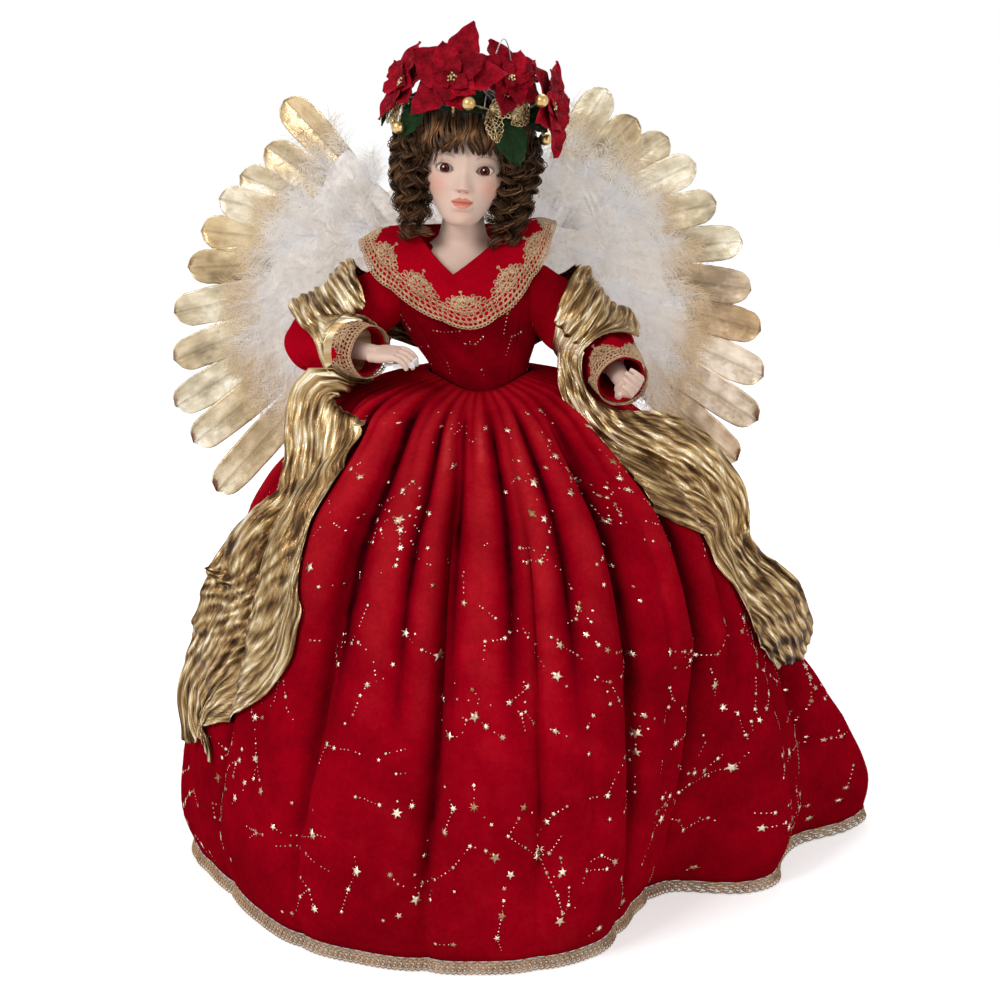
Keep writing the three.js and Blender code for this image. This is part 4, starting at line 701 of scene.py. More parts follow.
def makeSkirt():
    columns, rows = skirt["columns"], skirt["rows"]
    azimuth = turnsRound(columns)
    rise = 1 - (1 - np.arange(rows + 1)[:, None] / rows) ** 1.3
    height = mix(skirt["hemHeight"], seamHeight(azimuth), rise)
    points = skirtPoint(azimuth, height, 0)
    share = height / seamHeight(azimuth)
    folds, gathers = skirtRelief(share, azimuth)
    tucks = smoothstep(share, 0.8, 0.95) * (puckers(azimuth, skirt["tucks"], 5) - 0.55)
    # painted light in the paint: shade in the fold valleys and gather creases, highlights on the gathers' crests
    # and the tucks, the sides painted darker where they turn from the light, and a little random tone
    lit = (0.5 - 0.34 * np.clip(folds - 0.35, 0, 1) + np.where(gathers > 0, 0.75, 1.3) * gathers
           + 0.3 * tucks + 0.05 * wander(9, azimuth / fullTurn + 0.4 * share, 6, 20)
           - 0.1 * smoothstep(np.abs(np.sin(azimuth)), 0.2, 0.95))
    return makePiece("skirt_cloth", (points, gridFaces(columns, rows, True)), "printedVelvet", "printed_velvet",
                     "skirt", paint=grey(np.clip(lit, 0.02, 0.95)), thickness=skirt["thickness"])


# Print: stars strung on lines of dots, laid out by chance over the skirt and the bodice

starPrint = {"seed": 41, "chains": 330, "lift": 0.34, "thickness": 0.12, "biggest": 3.4, "dot": 0.42,
             "dotPitch": 2.3, "stride": (6, 15),
             "clothWidth": 1080.0, "hemMargin": 8, "waistMargin": 16, "chestChains": 20, "chestSize": 0.5,
             "chestCloth": (250, 74), "chestRadius": 40}


def starOutline(points, size, waist, turn):
    angle = turn + fullTurn * np.arange(2 * points) / (2 * points)
    reach = np.where(np.arange(2 * points) % 2 == 0, size, size * waist)
    return np.stack([reach * np.sin(angle), reach * np.cos(angle)], -1)


def layStars(rolls, chains, width, height, biggest):  # flat outlines with their centres
    shapes = []
    for number in range(chains):  # spread evenly by multiples of the plastic number
        place = np.array([number * 0.7548 % 1.0 * width, number * 0.5698 % 1.0 * height])
        heading = rolls.uniform(0, fullTurn)
        for _ in range(rolls.integers(3, 9)):
            size = biggest * rolls.choice([1, 0.8, 0.62, 0.46, 0.38, 0.3], p=[.06, .1, .2, .24, .2, .2])
            points = rolls.choice([5, 5, 5, 6, 8])
            waist = {5: 0.42, 6: 0.4, 8: 0.3}[int(points)]
            shapes.append((place.copy(), starOutline(points, size, waist, rolls.uniform(0, 1))))
            if rolls.uniform() < 0.12:  # a small companion
                beside = place + rolls.normal(0, 1, 2) * 3 + size * 1.4
                shapes.append((beside, starOutline(5, biggest * 0.26, 0.42, rolls.uniform(0, 1))))
            heading += rolls.normal(0, 0.7)
            stride = rolls.uniform(*starPrint["stride"])
            ahead = place + stride * np.array([math.cos(heading), math.sin(heading)])
            if rolls.uniform() < 0.75:
                count = max(2, int(stride / starPrint["dotPitch"]))
                for stop in range(1, count):
                    spot = mix(place, ahead, stop / count)
                    size = starPrint["dot"] * rolls.uniform(0.7, 1.15)
                    shapes.append((spot, starOutline(3, size, 1.0, 0)))
            place = ahead
    return shapes


def foilOn(surface, shapes, keep, rolls):  # outlines laid on surface(across, up), as thin closed foil
    points, fans, tints, below = [], [], [], 0
    bright, dull = linear(248, 236, 212), linear(150, 106, 64)
    for centre, outline in shapes:
        shade = mix(bright, dull, rolls.uniform(0, 1) ** 1.5)
        if not keep(centre):
            continue
        flat = np.vstack([[0, 0], outline]) + centre
        top = surface(flat[:, 0], flat[:, 1], starPrint["lift"])
        foot = surface(flat[:, 0], flat[:, 1], starPrint["lift"] - starPrint["thickness"])
        count = len(outline)
        points += [top, foot]
        tints.append(np.tile(shade, (2 * count + 2, 1)))
        ring = np.arange(count)
        beside = (ring + 1) % count
        middle = np.zeros(count, int)
        fans.append(np.stack([middle, beside + 1, ring + 1], -1) + below)
        under = below + count + 1
        fans.append(np.stack([middle, ring + 1, beside + 1], -1) + under)
        fans.append(np.stack([ring + 1 + below, beside + 1 + below, beside + 1 + under], -1))
        fans.append(np.stack([ring + 1 + below, beside + 1 + under, ring + 1 + under], -1))
        below += 2 * (count + 1)
    return np.concatenate(points), [np.concatenate(fans)], np.concatenate(tints)


def makeStarPrint():
    rolls = dice(starPrint["seed"])
    rise = np.linspace(skirt["hemHeight"], doll["waist"] - 6, 300)
    reach = follow(bellRows, rise / doll["waist"]) * skirt["hemRadius"]
    walked = np.concatenate([[0], np.cumsum(np.hypot(np.diff(rise), np.diff(reach)))])
    length = walked[-1]

    def surface(across, up, lift):  # the flat cloth's place, gathered in towards the waist
        height = np.interp(up, walked, rise)
        centre = across.mean()
        radius = follow(bellRows, height / doll["waist"]) * skirt["hemRadius"]
        azimuth = fullTurn * centre / starPrint["clothWidth"] + (across - centre) / np.maximum(radius, 60)
        return skirtPoint(azimuth, height, lift)

    shapes = layStars(rolls, starPrint["chains"], starPrint["clothWidth"], length, starPrint["biggest"])
    thin = dice(starPrint["seed"] + 1)  # fewer show near the waist, where the cloth is gathered

    def onSkirt(place):
        chance = thin.uniform()
        printed = starPrint["hemMargin"] < place[1] < length - starPrint["waistMargin"]
        return printed and chance < mix(1.0, 0.3, place[1] / length)

    foil = foilOn(surface, shapes, onSkirt, rolls)

    def chest(across, up, lift):
        return bodyPoint(across / starPrint["chestRadius"], doll["waist"] + up, lift)

    def onBodice(place):
        return -70 < place[0] < 70 and 0 < place[1] < 44 or 70 < abs(place[0]) < 125 and 6 < place[1] < 70

    chestShapes = layStars(rolls, starPrint["chestChains"], *starPrint["chestCloth"],
                           starPrint["biggest"] * starPrint["chestSize"])
    middle = np.array([starPrint["chestCloth"][0] / 2, 6])
    shapes = [(centre - middle, outline) for centre, outline in chestShapes]
    onChest = foilOn(chest, shapes, onBodice, rolls)
    return makePiece("star_print", merge([foil[:2], onChest[:2]]), "foil", "printed_velvet",
                     paint=np.concatenate([foil[2], onChest[2]]))


bodice = {"columns": 200, "rows": 70, "thickness": 1.1, "seamTurns": (37, 55), "flat": (0.27, 0.085)}


def bodiceLift(azimuth, share):  # sewn channels and the pulls that run from them
    lift = 0
    for side in (-1, 1):
        seam = side * mix(*bodice["seamTurns"], share) * degree
        lift = lift - 0.75 * bell(azimuth - seam, 0.022) + 0.25 * bell(azimuth - seam, 0.09)
    pull = wander(21, azimuth / fullTurn + 0.25 * share, 5, 14, 6)
    return lift + 0.45 * pull * smoothstep(share, 0.0, 0.15)


def makeBodice():
    columns, rows = bodice["columns"], bodice["rows"]
    azimuth = turnsRound(columns)
    share = np.arange(rows + 1)[:, None] / rows
    foot = seamHeight(azimuth) - 1.5
    vee = np.maximum(0, np.cos(azimuth)) ** 6
    height = mix(foot, doll["neck"] - 22 * vee, share)
    lift = bodiceLift(azimuth, share)
    points = bodyPoint(azimuth, height, lift)
    # painted light in the paint: shade in the sewn channels, light where the cloth stands out beside them; the
    # bodice as a whole is painted darker than the skirt
    lit = 0.31 + 0.14 * np.clip(lift, -1, 1) + 0.03 * np.sin(azimuth * 9 + share * 14)
    return makePiece("bodice_cloth", (points, gridFaces(columns, rows, True)), "printedVelvet",
                     "printed_velvet", "bodice", paint=grey(lit), thickness=bodice["thickness"])


collar = {"halfWidth": 57, "reach": 41, "frontDrop": 43, "sideDrop": 5, "bulge": 4, "opening": 27,
          "vee": 20, "velvetShare": 0.955, "thickness": 1.2, "columns": 240, "rows": 24,
          "flat": (0.118, 0.09), "area": 0.0085}
collarRows = [[-180, 0.72], [-135, 0.9], [-90, 1.08], [-45, 0.5], [0, 0], [45, 0.68], [90, 1.34],
              [135, 1.1], [180, 0.72]]


def collarPoint(azimuth, spread, lift):
    azimuth, spread = np.broadcast_arrays(np.asarray(azimuth, float), np.asarray(spread, float))
    degrees = around(azimuth / degree)
    middle = doll["lean"] * mix(1.1, 1.05, spread)
    sharp = np.maximum(0, 1 - np.abs(degrees) / 66) ** 1.15
    shoulder = bell(np.abs(degrees) - 80, 42)
    inner = stack(middle - 5 * sharp + (collar["opening"] - 2 * sharp) * np.sin(azimuth),
                  -(collar["opening"] * 0.72 + 10 * sharp) * np.cos(azimuth),
                  doll["neck"] + 3.6 - sharp * collar["vee"] + shoulder * 3.0)
    drop = mix(collar["frontDrop"], collar["sideDrop"], follow(collarRows, degrees))
    wide = collar["halfWidth"] * (1 - 0.11 * smoothstep(np.sin(azimuth), 0.2, 1))
    outer = stack(middle + 5 * np.maximum(0, np.cos(azimuth)) ** 4 + wide * np.sin(azimuth),
                  -collar["reach"] * np.cos(azimuth), doll["neck"] - drop)
    out = stack(np.sin(azimuth) * 0.5, -np.cos(azimuth) * 0.5, 0.8)
    rise = collar["bulge"] * np.sin(math.pi * np.clip(spread, 0, 1)) + lift
    return mix(inner, outer, spread[..., None]) + out * rise[..., None]


def collarSway(azimuth):  # the collar's rim rises and sinks a little
    return 0.5 * wander(31, azimuth / fullTurn, 3, 9)


def makeCollar():
    columns, rows = collar["columns"], collar["rows"]
    azimuth = turnsRound(columns)
    spread = np.arange(rows + 1)[:, None] / rows * collar["velvetShare"]
    roll = 1.6 * bell(spread - 0.02, 0.05)  # the turned edge at the neck
    points = collarPoint(azimuth, spread, collar["thickness"] + roll + collarSway(azimuth) * spread)
    return makePiece("collar_velvet", (points, gridFaces(columns, rows, True)), "plainVelvet", "plain_velvet",
                     "collar", thickness=collar["thickness"])


# Guipure lace, one motif repeated. Its lines are in millimetres: across, and in from the scalloped edge.

lace = {"motifs": 12, "halfWidth": 12.6, "cord": 0.42, "thread": 0.32, "sides": 5, "lift": 1.7,
        "edge": 1.035, "depth": 40.5, "innerRadius": 28, "outerRadius": 49, "cuffScale": 0.92,
        "cuffMotifs": 4, "cuffRadius": 14.8, "cuffLift": 1.0, "cuffReach": 2.6}


def smoothLine(points, count=24):
    flat = np.column_stack([np.asarray(points, float), np.zeros(len(points))])
    return curveThrough(flat, evenly(flat, count))[:, :2]


def ringLine(x, y, radius, count=18, start=0.0, turn=fullTurn):
    angle = start + turn * np.linspace(0, 1, count)
    return np.stack([x + radius * np.sin(angle), y + radius * np.cos(angle)], -1)


def petalLine(x, y, turn, length, width, count=14):  # a loop drawn out from its foot
    angle = np.linspace(0, fullTurn, count)
    out, aside = length * (1 - np.cos(angle)) / 2, width * np.sin(angle) * (1.3 - np.cos(angle)) / 3
    c, s = math.cos(turn), math.sin(turn)
    return np.stack([x + out * s + aside * c, y + out * c - aside * s], -1)


def laceMotif(halfWidth):  # (line, thread radius share) pairs
    w = halfWidth

    def scallop(x):
        return 1.7 * (abs(x) / w) ** 2.2

    def row(count, rise, bow, radius, share, reach=1.0):
        for index in range(count):
            x = (2 * (index + 0.5) / count - 1) * w * reach
            lines.append((ringLine(x, scallop(x) + rise + bow * (1 - abs(x) / w), radius, 12), share))

    def cord(rise, bow, share, reach=1.0):
        xs = np.linspace(-w, w, 11) * reach
        lines.append((smoothLine([(x, scallop(x) + rise + bow * (1 - abs(x) / w)) for x in xs], 30), share))

    def blossom(x, y, petals, length, start=0.0):
        lines.append((ringLine(x, y, length * 0.22, 10), 0.9))
        for index in range(petals):
            turn = start + fullTurn * index / petals
            lines.append((petalLine(x + 0.2 * length * math.sin(turn), y + 0.2 * length * math.cos(turn), turn,
                                    length * 0.95, length * 0.62), 1.0))

    lines = []
    row(14, 0.1, 0.0, 0.85, 0.85)
    cord(1.1, 0.0, 1.25)
    row(11, 2.5, 0.1, 1.15, 0.9)
    cord(3.9, 0.3, 1.15)
    row(9, 5.2, 0.5, 1.35, 0.95)
    row(8, 7.7, 0.6, 1.3, 0.9, 0.97)
    cord(9.0, 1.4, 1.2, 0.98)
    blossom(0, 13.2, 7, 4.3)
    blossom(0, 18.6, 6, 2.7, 0.2)
    for side in (-1, 1):
        blossom(side * 5.9, 13.4, 6, 3.4, 0.3)
        lines.append((ringLine(side * 10.5, 10.9, 1.5, 12), 0.9))
        blossom(side * 3.7, 17.6, 5, 2.3, 0.5)
    lines.append((np.array([[0, 18.0], [0, 21.0], [0, 24.4]]), 1.2))
    lines.append((ringLine(0, 25.0, 0.6, 9), 1.2))
    return lines


def laceThreads(place, scale, counts):  # place(across, inwards, motif number) is on the cloth
    parts = []
    for line, share in laceMotif(lace["halfWidth"]):
        thread = lace["cord" if share > 1 else "thread"] * (scale ** 0.5) * share ** 0.5
        paths = np.stack([place(line[:, 0] * scale, line[:, 1] * scale, number) for number in range(counts)])
        parts.append(tubes(paths, thread, lace["sides"]))
    return merge(parts)


def makeCollarLace():
    count = lace["motifs"]

    def place(across, inwards, number):
        spread = lace["edge"] - inwards / lace["depth"]
        radius = mix(lace["innerRadius"], lace["outerRadius"], np.clip(spread, 0, 1.1))
        azimuth = fullTurn * number / count + across / radius
        return collarPoint(azimuth, spread, collar["thickness"] + lace["lift"] + collarSway(azimuth) * spread)

    return makePiece("collar_lace_threads", laceThreads(place, 1.0, count), "lace", "gold_lace", "collar_lace")


hemBraid = {"loops": 330, "stepsPerLoop": 10, "height": 7.2, "flare": 2.5, "thread": 0.42, "fineThread": 0.38}
hemCords = ((7.0, 0.5, 0.45), (3.4, -0.4, 0.34))  # height, lift and radius


def makeHemLace():  # two looped threads and two cords round the hem
    loops = hemBraid["loops"]
    turns = np.linspace(0, fullTurn, loops * hemBraid["stepsPerLoop"], endpoint=False)
    phase, width = turns * loops, fullTurn / loops

    def lay(azimuth, height, lift):
        flare = hemBraid["flare"] * (hemBraid["height"] - height) / (hemBraid["height"] - 0.8)
        point = skirtPoint(azimuth, skirt["hemHeight"], flare + lift)
        point[..., 2] = height
        return point

    outer = lay(turns + 0.9 * width * np.sin(phase), 3.6 + 2.7 * np.cos(phase), 0)
    inner = lay(turns + 0.7 * width * np.sin(phase + 2), 3.4 + 1.6 * np.cos(phase + 2.6), -0.6)
    parts = [tubes(outer, hemBraid["thread"], 4, True), tubes(inner, hemBraid["fineThread"], 4, True)]
    fewer = turns[::3]
    for height, lift, radius in hemCords:
        cord = lay(fewer, height + 0.25 * np.sin(fewer * loops * 0.5), lift)
        parts.append(tubes(cord, radius, 4, True))
    return makePiece("hem_lace_braid", merge(parts), "lace", "gold_lace", "hem_lace")


skirtPiece = makeSkirt()
starFoil = makeStarPrint()
hemLace = makeHemLace()
bodicePiece = makeBodice()
collarPiece = makeCollar()
collarLace = makeCollarLace()
print("skirt, bodice, collar and their laces ready")

# Arms, sleeves and hands

arms = {"left": {"side": -1, "shoulder": (-0.8, 0, 0.66), "upper": (-0.78, -0.12, -0.52),
                 "lower": (0.7, -0.68, 0.02), "reach": (0.9, -0.1, 0.16), "back": (0, -0.35, 1), "curl": 38},
        "right": {"side": 1, "shoulder": (0.76, 0, 0.66), "upper": (0.74, -0.1, -0.6),
                  "lower": (0.22, -0.94, -0.2), "reach": (0.25, -0.1, 0.35), "back": (0.75, 0.1, -0.6),
                  "curl": 62}}
sleeve = {"upperArm": 58, "forearm": 50, "radius": 19, "cuff": 14, "topShare": 0.86, "cuffShare": 0.84,
          "thickness": 1.2, "voxel": 1.5, "stuffing": 9, "flat": (0.125, 0.15), "area": 0.014}


def armPoints(arm):
    across, forward, up = arm["shoulder"]
    start = np.array([doll["lean"] + across * doll["chestHalfWidth"], forward * doll["chestHalfDepth"],
                      mix(doll["waist"], doll["neck"], up)])
    elbow = start + unit(arm["upper"]) * sleeve["upperArm"]
    wrist = elbow + unit(arm["lower"]) * sleeve["forearm"]
    return start, elbow, wrist


def armLine(arm):
    start, elbow, wrist = armPoints(arm)
    return [start, mix(start, elbow, 0.5) + [0, 0, 3.6], elbow, mix(elbow, wrist, 0.5), wrist]


def sleeveRadiusAt(along):  # along the forearm, from the elbow
    return mix(sleeve["radius"], sleeve["cuff"], along / (sleeve["forearm"] * sleeve["cuffShare"]))


def ballShape(centre, radius, sides=32):
    rise = np.cos(np.linspace(math.pi, 0, 20)) * radius * 0.999
    path = np.asarray(centre) + stack(0 * rise, 0 * rise, rise)
    return tubes(path, np.sqrt(np.maximum(radius ** 2 - rise ** 2, 1e-3)), sides)


def barShape(start, end, radii, sides=32):
    path = mix(np.asarray(start), np.asarray(end), np.linspace(0, 1, len(radii))[:, None])
    return tubes(path, radii, sides)


def trim(piece, place, outward):  # cuts off what lies past a plane
    shape = bmesh.new()
    shape.from_mesh(piece.data)
    bmesh.ops.bisect_plane(shape, geom=shape.verts[:] + shape.edges[:] + shape.faces[:], dist=1e-7,
                           plane_co=Vector(np.asarray(place) * mm), plane_no=Vector(outward), clear_outer=True)
    shape.to_mesh(piece.data)
    shape.free()


def makeSleeve(side):
    arm = arms[side]
    start, elbow, wrist = armPoints(arm)
    upper, lower = unit(elbow - start), unit(wrist - elbow)
    mouth = elbow + lower * sleeve["forearm"] * sleeve["cuffShare"]
    share = np.linspace(0, 1, 14)
    widths = sleeve["radius"] * mix(sleeve["topShare"], 1, np.minimum(1, share * 1.6))
    beyond = mouth + lower * 6
    points, faces = merge([
        barShape(start, elbow, widths), ballShape(elbow, sleeve["radius"]),
        barShape(elbow, beyond, mix(sleeve["radius"], sleeve["cuff"] - 0.7, share))])
    piece = makeMesh(f"sleeve_velvet_{side}", points, faces)
    settle(piece, ("REMESH", {"mode": "VOXEL", "voxel_size": sleeve["voxel"] * mm}),
           ("SMOOTH", {"factor": 0.6, "iterations": 9}), ("SUBSURF", {"levels": 1}))
    places, normals = cornersOf(piece)
    inner = unit(lower - upper)  # towards the inside of the elbow
    bendSide = unit(np.cross(upper, lower))
    pit = elbow + inner * sleeve["radius"] * 0.9
    fromPit = places - pit
    angle = np.arctan2(fromPit @ unit(np.cross(inner, bendSide)), -(fromPit @ inner))
    near = bell(np.linalg.norm(fromPit - dot(fromPit, bendSide) * bendSide, axis=1) - 7, 15)
    creases = np.cos(angle * 7 + 0.05 * (fromPit @ bendSide)) * near
    along = (places - elbow) @ lower
    upAlong = (places - start) @ upper
    turn = np.arctan2((places - elbow) @ bendSide, (places - elbow) @ inner)
    drag = np.sin(upAlong * 0.22 + turn * 1.6 + 2 * wander(51, turn / fullTurn, 1, 4)) * smoothstep(
        upAlong, 6, 26) * (along < 8)
    loose = wander(52, turn / fullTurn + along * 0.012, 2, 6) * smoothstep(along, 0, 20)
    moveCorners(piece, places + normals * (1.25 * creases + 0.7 * drag + 1.0 * loose)[:, None])
    trim(piece, mouth, lower)
    trim(piece, start, -upper)
    thicken(piece, sleeve["thickness"])
    dress(piece, finishes["plainVelvet"], "plain_velvet", f"sleeve_{side}")
    return piece


def makeStuffedArm(side):
    start, elbow, wrist = armPoints(arms[side])
    line = [start, pointAt(armLine(arms[side]), 0.25), elbow, mix(wrist, elbow, 0.7)]
    path = curveThrough(line, evenly(line, 30))
    radii = sleeve["stuffing"] * mix(1.1, 1, np.linspace(0, 1, 30)) - 0.4
    radii[0] *= 0.9
    return makePiece(f"stuffed_arm_{side}", tubes(path, radii, 28), "calico", "calico",
                               f"upper_arm_{side}")


torso = {"foot": 284.5, "top": 374, "sides": 72, "underCloth": -1.8, "underPlate": -4.6}


def makeTorso():
    step = doll["plate"] - 1  # the shoulder plate sits round what stands above
    heights = [np.linspace(torso["foot"], step, 26), np.linspace(step + 0.5, torso["top"], 10)]
    heights = np.concatenate(heights)[:, None]
    azimuth = fullTurn * np.arange(torso["sides"])[None, :] / torso["sides"]
    rings = bodyPoint(azimuth, heights, np.where(heights < step + 0.2, torso["underCloth"], torso["underPlate"]))
    return makePiece("stuffed_torso", (rings, closedFaces(torso["sides"], len(rings) - 1)), "calico",
                               "calico", "torso")


hand = {"palm": 14, "palmHalfWidth": 7.2, "palmHalfThickness": 3.7, "finger": 13.5, "fingerRadius": 1.75,
        "voxel": 0.42, "fingers": ((-0.78, 0.84), (-0.27, 1), (0.26, 0.95), (0.76, 0.76))}
skin = linear(224, 194, 177)


def handFrame(arm):
    _, elbow, wrist = armPoints(arm)
    forearm = unit(wrist - elbow)
    ahead = unit(forearm + np.asarray(arm["reach"]))
    back = np.asarray(arm["back"], float)
    back = unit(back - ahead * (back @ ahead))
    return wrist, forearm, ahead, back, unit(np.cross(ahead, back))


def makeHand(side):
    arm = arms[side]
    wrist, forearm, ahead, back, across = handFrame(arm)

    def place(reach, aside, rise):
        reach, aside, rise = (np.asarray(value, float)[..., None] for value in (reach, aside, rise))
        return wrist + ahead * reach + across * aside + back * rise

    parts = []
    for aside in np.linspace(-0.62, 0.62, 5):  # the palm, from five overlapping bars
        reach = np.linspace(-0.28, 0.98 - 0.12 * aside ** 2, 8) * hand["palm"]
        waist = mix(0.62, 1, smoothstep(reach, -3, 7))
        parts.append(tubes(place(reach, aside * hand["palmHalfWidth"] * waist, -0.5 * aside ** 2 + 0 * reach),
                           hand["palmHalfThickness"] * mix(0.95, 0.68, smoothstep(reach, 0, 14)), 12))
    share = np.linspace(0, 1, 10)
    for finger, (aside, length) in enumerate(hand["fingers"]):  # place across the palm, share of the length
        turn = arm["curl"] * (1 + 0.1 * finger) * share ** 1.15 * degree
        reach = hand["palm"] * 0.86 + hand["finger"] * length * share * np.cos(turn * 0.9)
        drop = -hand["finger"] * length * share * np.sin(turn)
        knuckle = 1 + 0.08 * bell(share - 0.42, 0.08) + 0.06 * bell(share - 0.72, 0.07)
        rounded = np.sqrt(np.clip(1 - smoothstep(share, 0.93, 1.12) ** 2, 0.2, 1))
        parts.append(tubes(place(reach, aside * hand["palmHalfWidth"] * (1 - 0.06 * share), drop),
                           hand["fingerRadius"] * mix(1.08, 0.8, share) * knuckle * rounded, 12))
    thumb = [place(1, -4.4, -1.2), place(7, -8.6, -3.2), place(12.5, -9.6, -5.4), place(17, -9.2, -7.6)]
    path = curveThrough(thumb, evenly(thumb, 12))
    parts.append(tubes(path, hand["fingerRadius"] * np.linspace(1.55, 0.85, 12), 12))
    line = [wrist - forearm * sleeve["forearm"] * 0.7, wrist - forearm * 7, place(1.4, 0, 0)]
    parts.append(tubes(curveThrough(line, evenly(line, 16)), np.linspace(6.4, 4.5, 16), 28))
    piece = makeMesh(f"bisque_hand_{side}", *merge(parts))
    settle(piece, ("REMESH", {"mode": "VOXEL", "voxel_size": hand["voxel"] * mm}),
           ("SMOOTH", {"factor": 0.5, "iterations": 7}))
    places, _ = cornersOf(piece)
    reach = (places - wrist) @ ahead
    flush = smoothstep(reach, hand["palm"] + 7, hand["palm"] + 13)[:, None]
    colours = mix(skin, linear(222, 160, 136), flush * 0.35)
    attribute = piece.data.color_attributes.new("paint", "FLOAT_COLOR", "POINT")
    attribute.data.foreach_set("color", np.column_stack([colours, np.ones(len(colours))])
                               .astype(np.float32).ravel())
    return dress(piece, finishes["bisque"], "porcelain", f"hand_{side}")


def makeCuffLace(side):
    _, elbow, wrist = armPoints(arms[side])
    forearm = unit(wrist - elbow)
    right = unit(np.cross(forearm, [0, 0, 1]))
    up = np.cross(right, forearm)
    end = sleeve["forearm"] * sleeve["cuffShare"] + lace["cuffReach"]
    count, scale = lace["cuffMotifs"], lace["cuffScale"]

    def place(across, inwards, number):
        along = end - inwards
        radius = np.maximum(sleeveRadiusAt(along), sleeve["cuff"]) + lace["cuffLift"]
        angle = fullTurn * (number + 0.5) / count + across / lace["cuffRadius"]
        angle, along, radius = np.broadcast_arrays(angle, along, radius)
        return (elbow + forearm * along[:, None] + right * (np.cos(angle) * radius)[:, None]
                + up * (np.sin(angle) * radius)[:, None])

    return makePiece(f"cuff_lace_threads_{side}", laceThreads(place, scale, count), "lace", "gold_lace",
                     f"cuff_lace_{side}")


# Head, in its own frame and then rolled and set on the neck

head = {"halfWidth": 24, "halfDepth": 29, "halfHeight": 34.5, "eyeRadius": 5.2, "columns": 336, "rows": 262,
        "mouth": -24.0, "mouthHalfWidth": 6.3, "noseTip": -15.9, "chinStretch": 0.12, "bustColumns": 96}
headRows = [[-1, 0.5, 0.3, 0.34], [-0.97, 0.46, 0.37, 0.48], [-0.9, 0.38, 0.505, 0.62],
            [-0.8, 0.3, 0.645, 0.71], [-0.565, 0.15, 0.885, 0.85], [-0.43, 0.09, 0.95, 0.91],
            [-0.2, 0, 1, 0.97], [0.14, 0, 1, 1], [0.43, 0, 0.93, 0.95], [0.67, 0, 0.78, 0.8],
            [0.84, 0, 0.57, 0.58], [0.96, 0, 0.3, 0.3], [1, 0, 0.1, 0.1]]
bustRows = [[0, 0.42, 0.54], [0.1, 0.345, 0.47], [0.24, 0.29, 0.445], [0.42, 0.265, 0.43], [0.7, 0.255, 0.42],
            [1, 0.255, 0.42]]  # from the plate's top up the neck: share of its height, half width, half depth
roll = doll["headRoll"] * degree
headTurn = np.array([[math.cos(roll), 0, math.sin(roll)], [0, 1, 0], [-math.sin(roll), 0, math.cos(roll)]])
headSeat = np.array([doll["headLean"], doll["headForward"], doll["headHeight"]], float)


def onHead(points):
    return np.asarray(points, float) @ headTurn.T + headSeat


def inHead(points):
    return (np.asarray(points, float) - headSeat) @ headTurn


def eyeCentre(side):
    low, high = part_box(f"eye_{side}")
    return inHead(np.array((low + high) / 2) / mm)


# Swellings and hollows: height, place beside the middle, its width, place up the face, its width
faceRows = [(-0.4, 0, 1.1, -20.2, 1.6), (1.5, 0, 7.5, -23.5, 6.0), (-2.2, 10.6, 5.8, -6.4, 4.6),
            (0.6, 10, 7.5, 1.2, 3.0), (2.0, 0, 6.2, -31.6, 3.4), (-0.5, 0, 5.5, -28.0, 1.2),
            (2.0, 13.6, 7.6, -17.4, 8.2)]


def faceRelief(x, z):  # how far the face stands out from the plain oval, in millimetres
    side = np.abs(x)
    bridge = smoothstep(-z, 0.7, 15.9)
    tip = 1 - smoothstep(head["noseTip"] - z, 0, 2.6)
    nose = 5.4 * (0.16 + 0.84 * bridge ** 2.4) * tip * bell(x, 2.6 + 1.5 * bridge ** 2) * smoothstep(-z, -4.1, 2.8)
    wings = 1.7 * bell(side - 3.3, 1.6) * bell(z + 16.6, 1.9)
    lipShape = np.sqrt(np.clip(1 - (x / 6.4) ** 2, 0, 1))
    bow = 1 - 0.2 * bell(x, 1.0)
    lips = lipShape * (1.7 * bow * bell(z + 22.6, 1.4) + 2.1 * bell(z + 25.8, 1.7)
                       - 0.95 * bell(z + 24.1, 0.5))
    relief = nose + wings + lips
    for height, beside, wide, up, tall in faceRows:
        relief = relief + height * bell(side - beside, wide) * bell(z - up, tall)
    return relief


def headPoint(azimuth, up, lift):
    across = np.sin(azimuth) * follow(headRows, up, 2)
    front = np.maximum(0, np.cos(azimuth))
    relief = faceRelief(across * head["halfWidth"], up * head["halfHeight"]) * smoothstep(front, 0.2, 0.7)
    return stack(across * head["halfWidth"] + lift * np.sin(azimuth),
                 -follow(headRows, up, 1) * head["halfDepth"]
                 - np.cos(azimuth) * (follow(headRows, up, 3) * head["halfDepth"] + lift) - relief,
                 up * head["halfHeight"] * (1 + head["chinStretch"] * smoothstep(-up, 0.55, 1.0)))


eyeOpening = {"halfWidth": 4.85, "upper": 2.6, "lower": 2.15, "tilt": 0.05, "lid": 0.62}


def lidEdges(across):  # the upper and lower edge of the eye's opening, by the distance outwards
    inside = np.clip(1 - (across / eyeOpening["halfWidth"]) ** 2, 0, 1)
    skew = 1 - 0.1 * across / eyeOpening["halfWidth"]
    tilt = eyeOpening["tilt"] * across
    return (eyeOpening["upper"] * inside ** 0.62 * skew + tilt,
            -eyeOpening["lower"] * inside ** 0.8 * (2 - skew) + tilt)


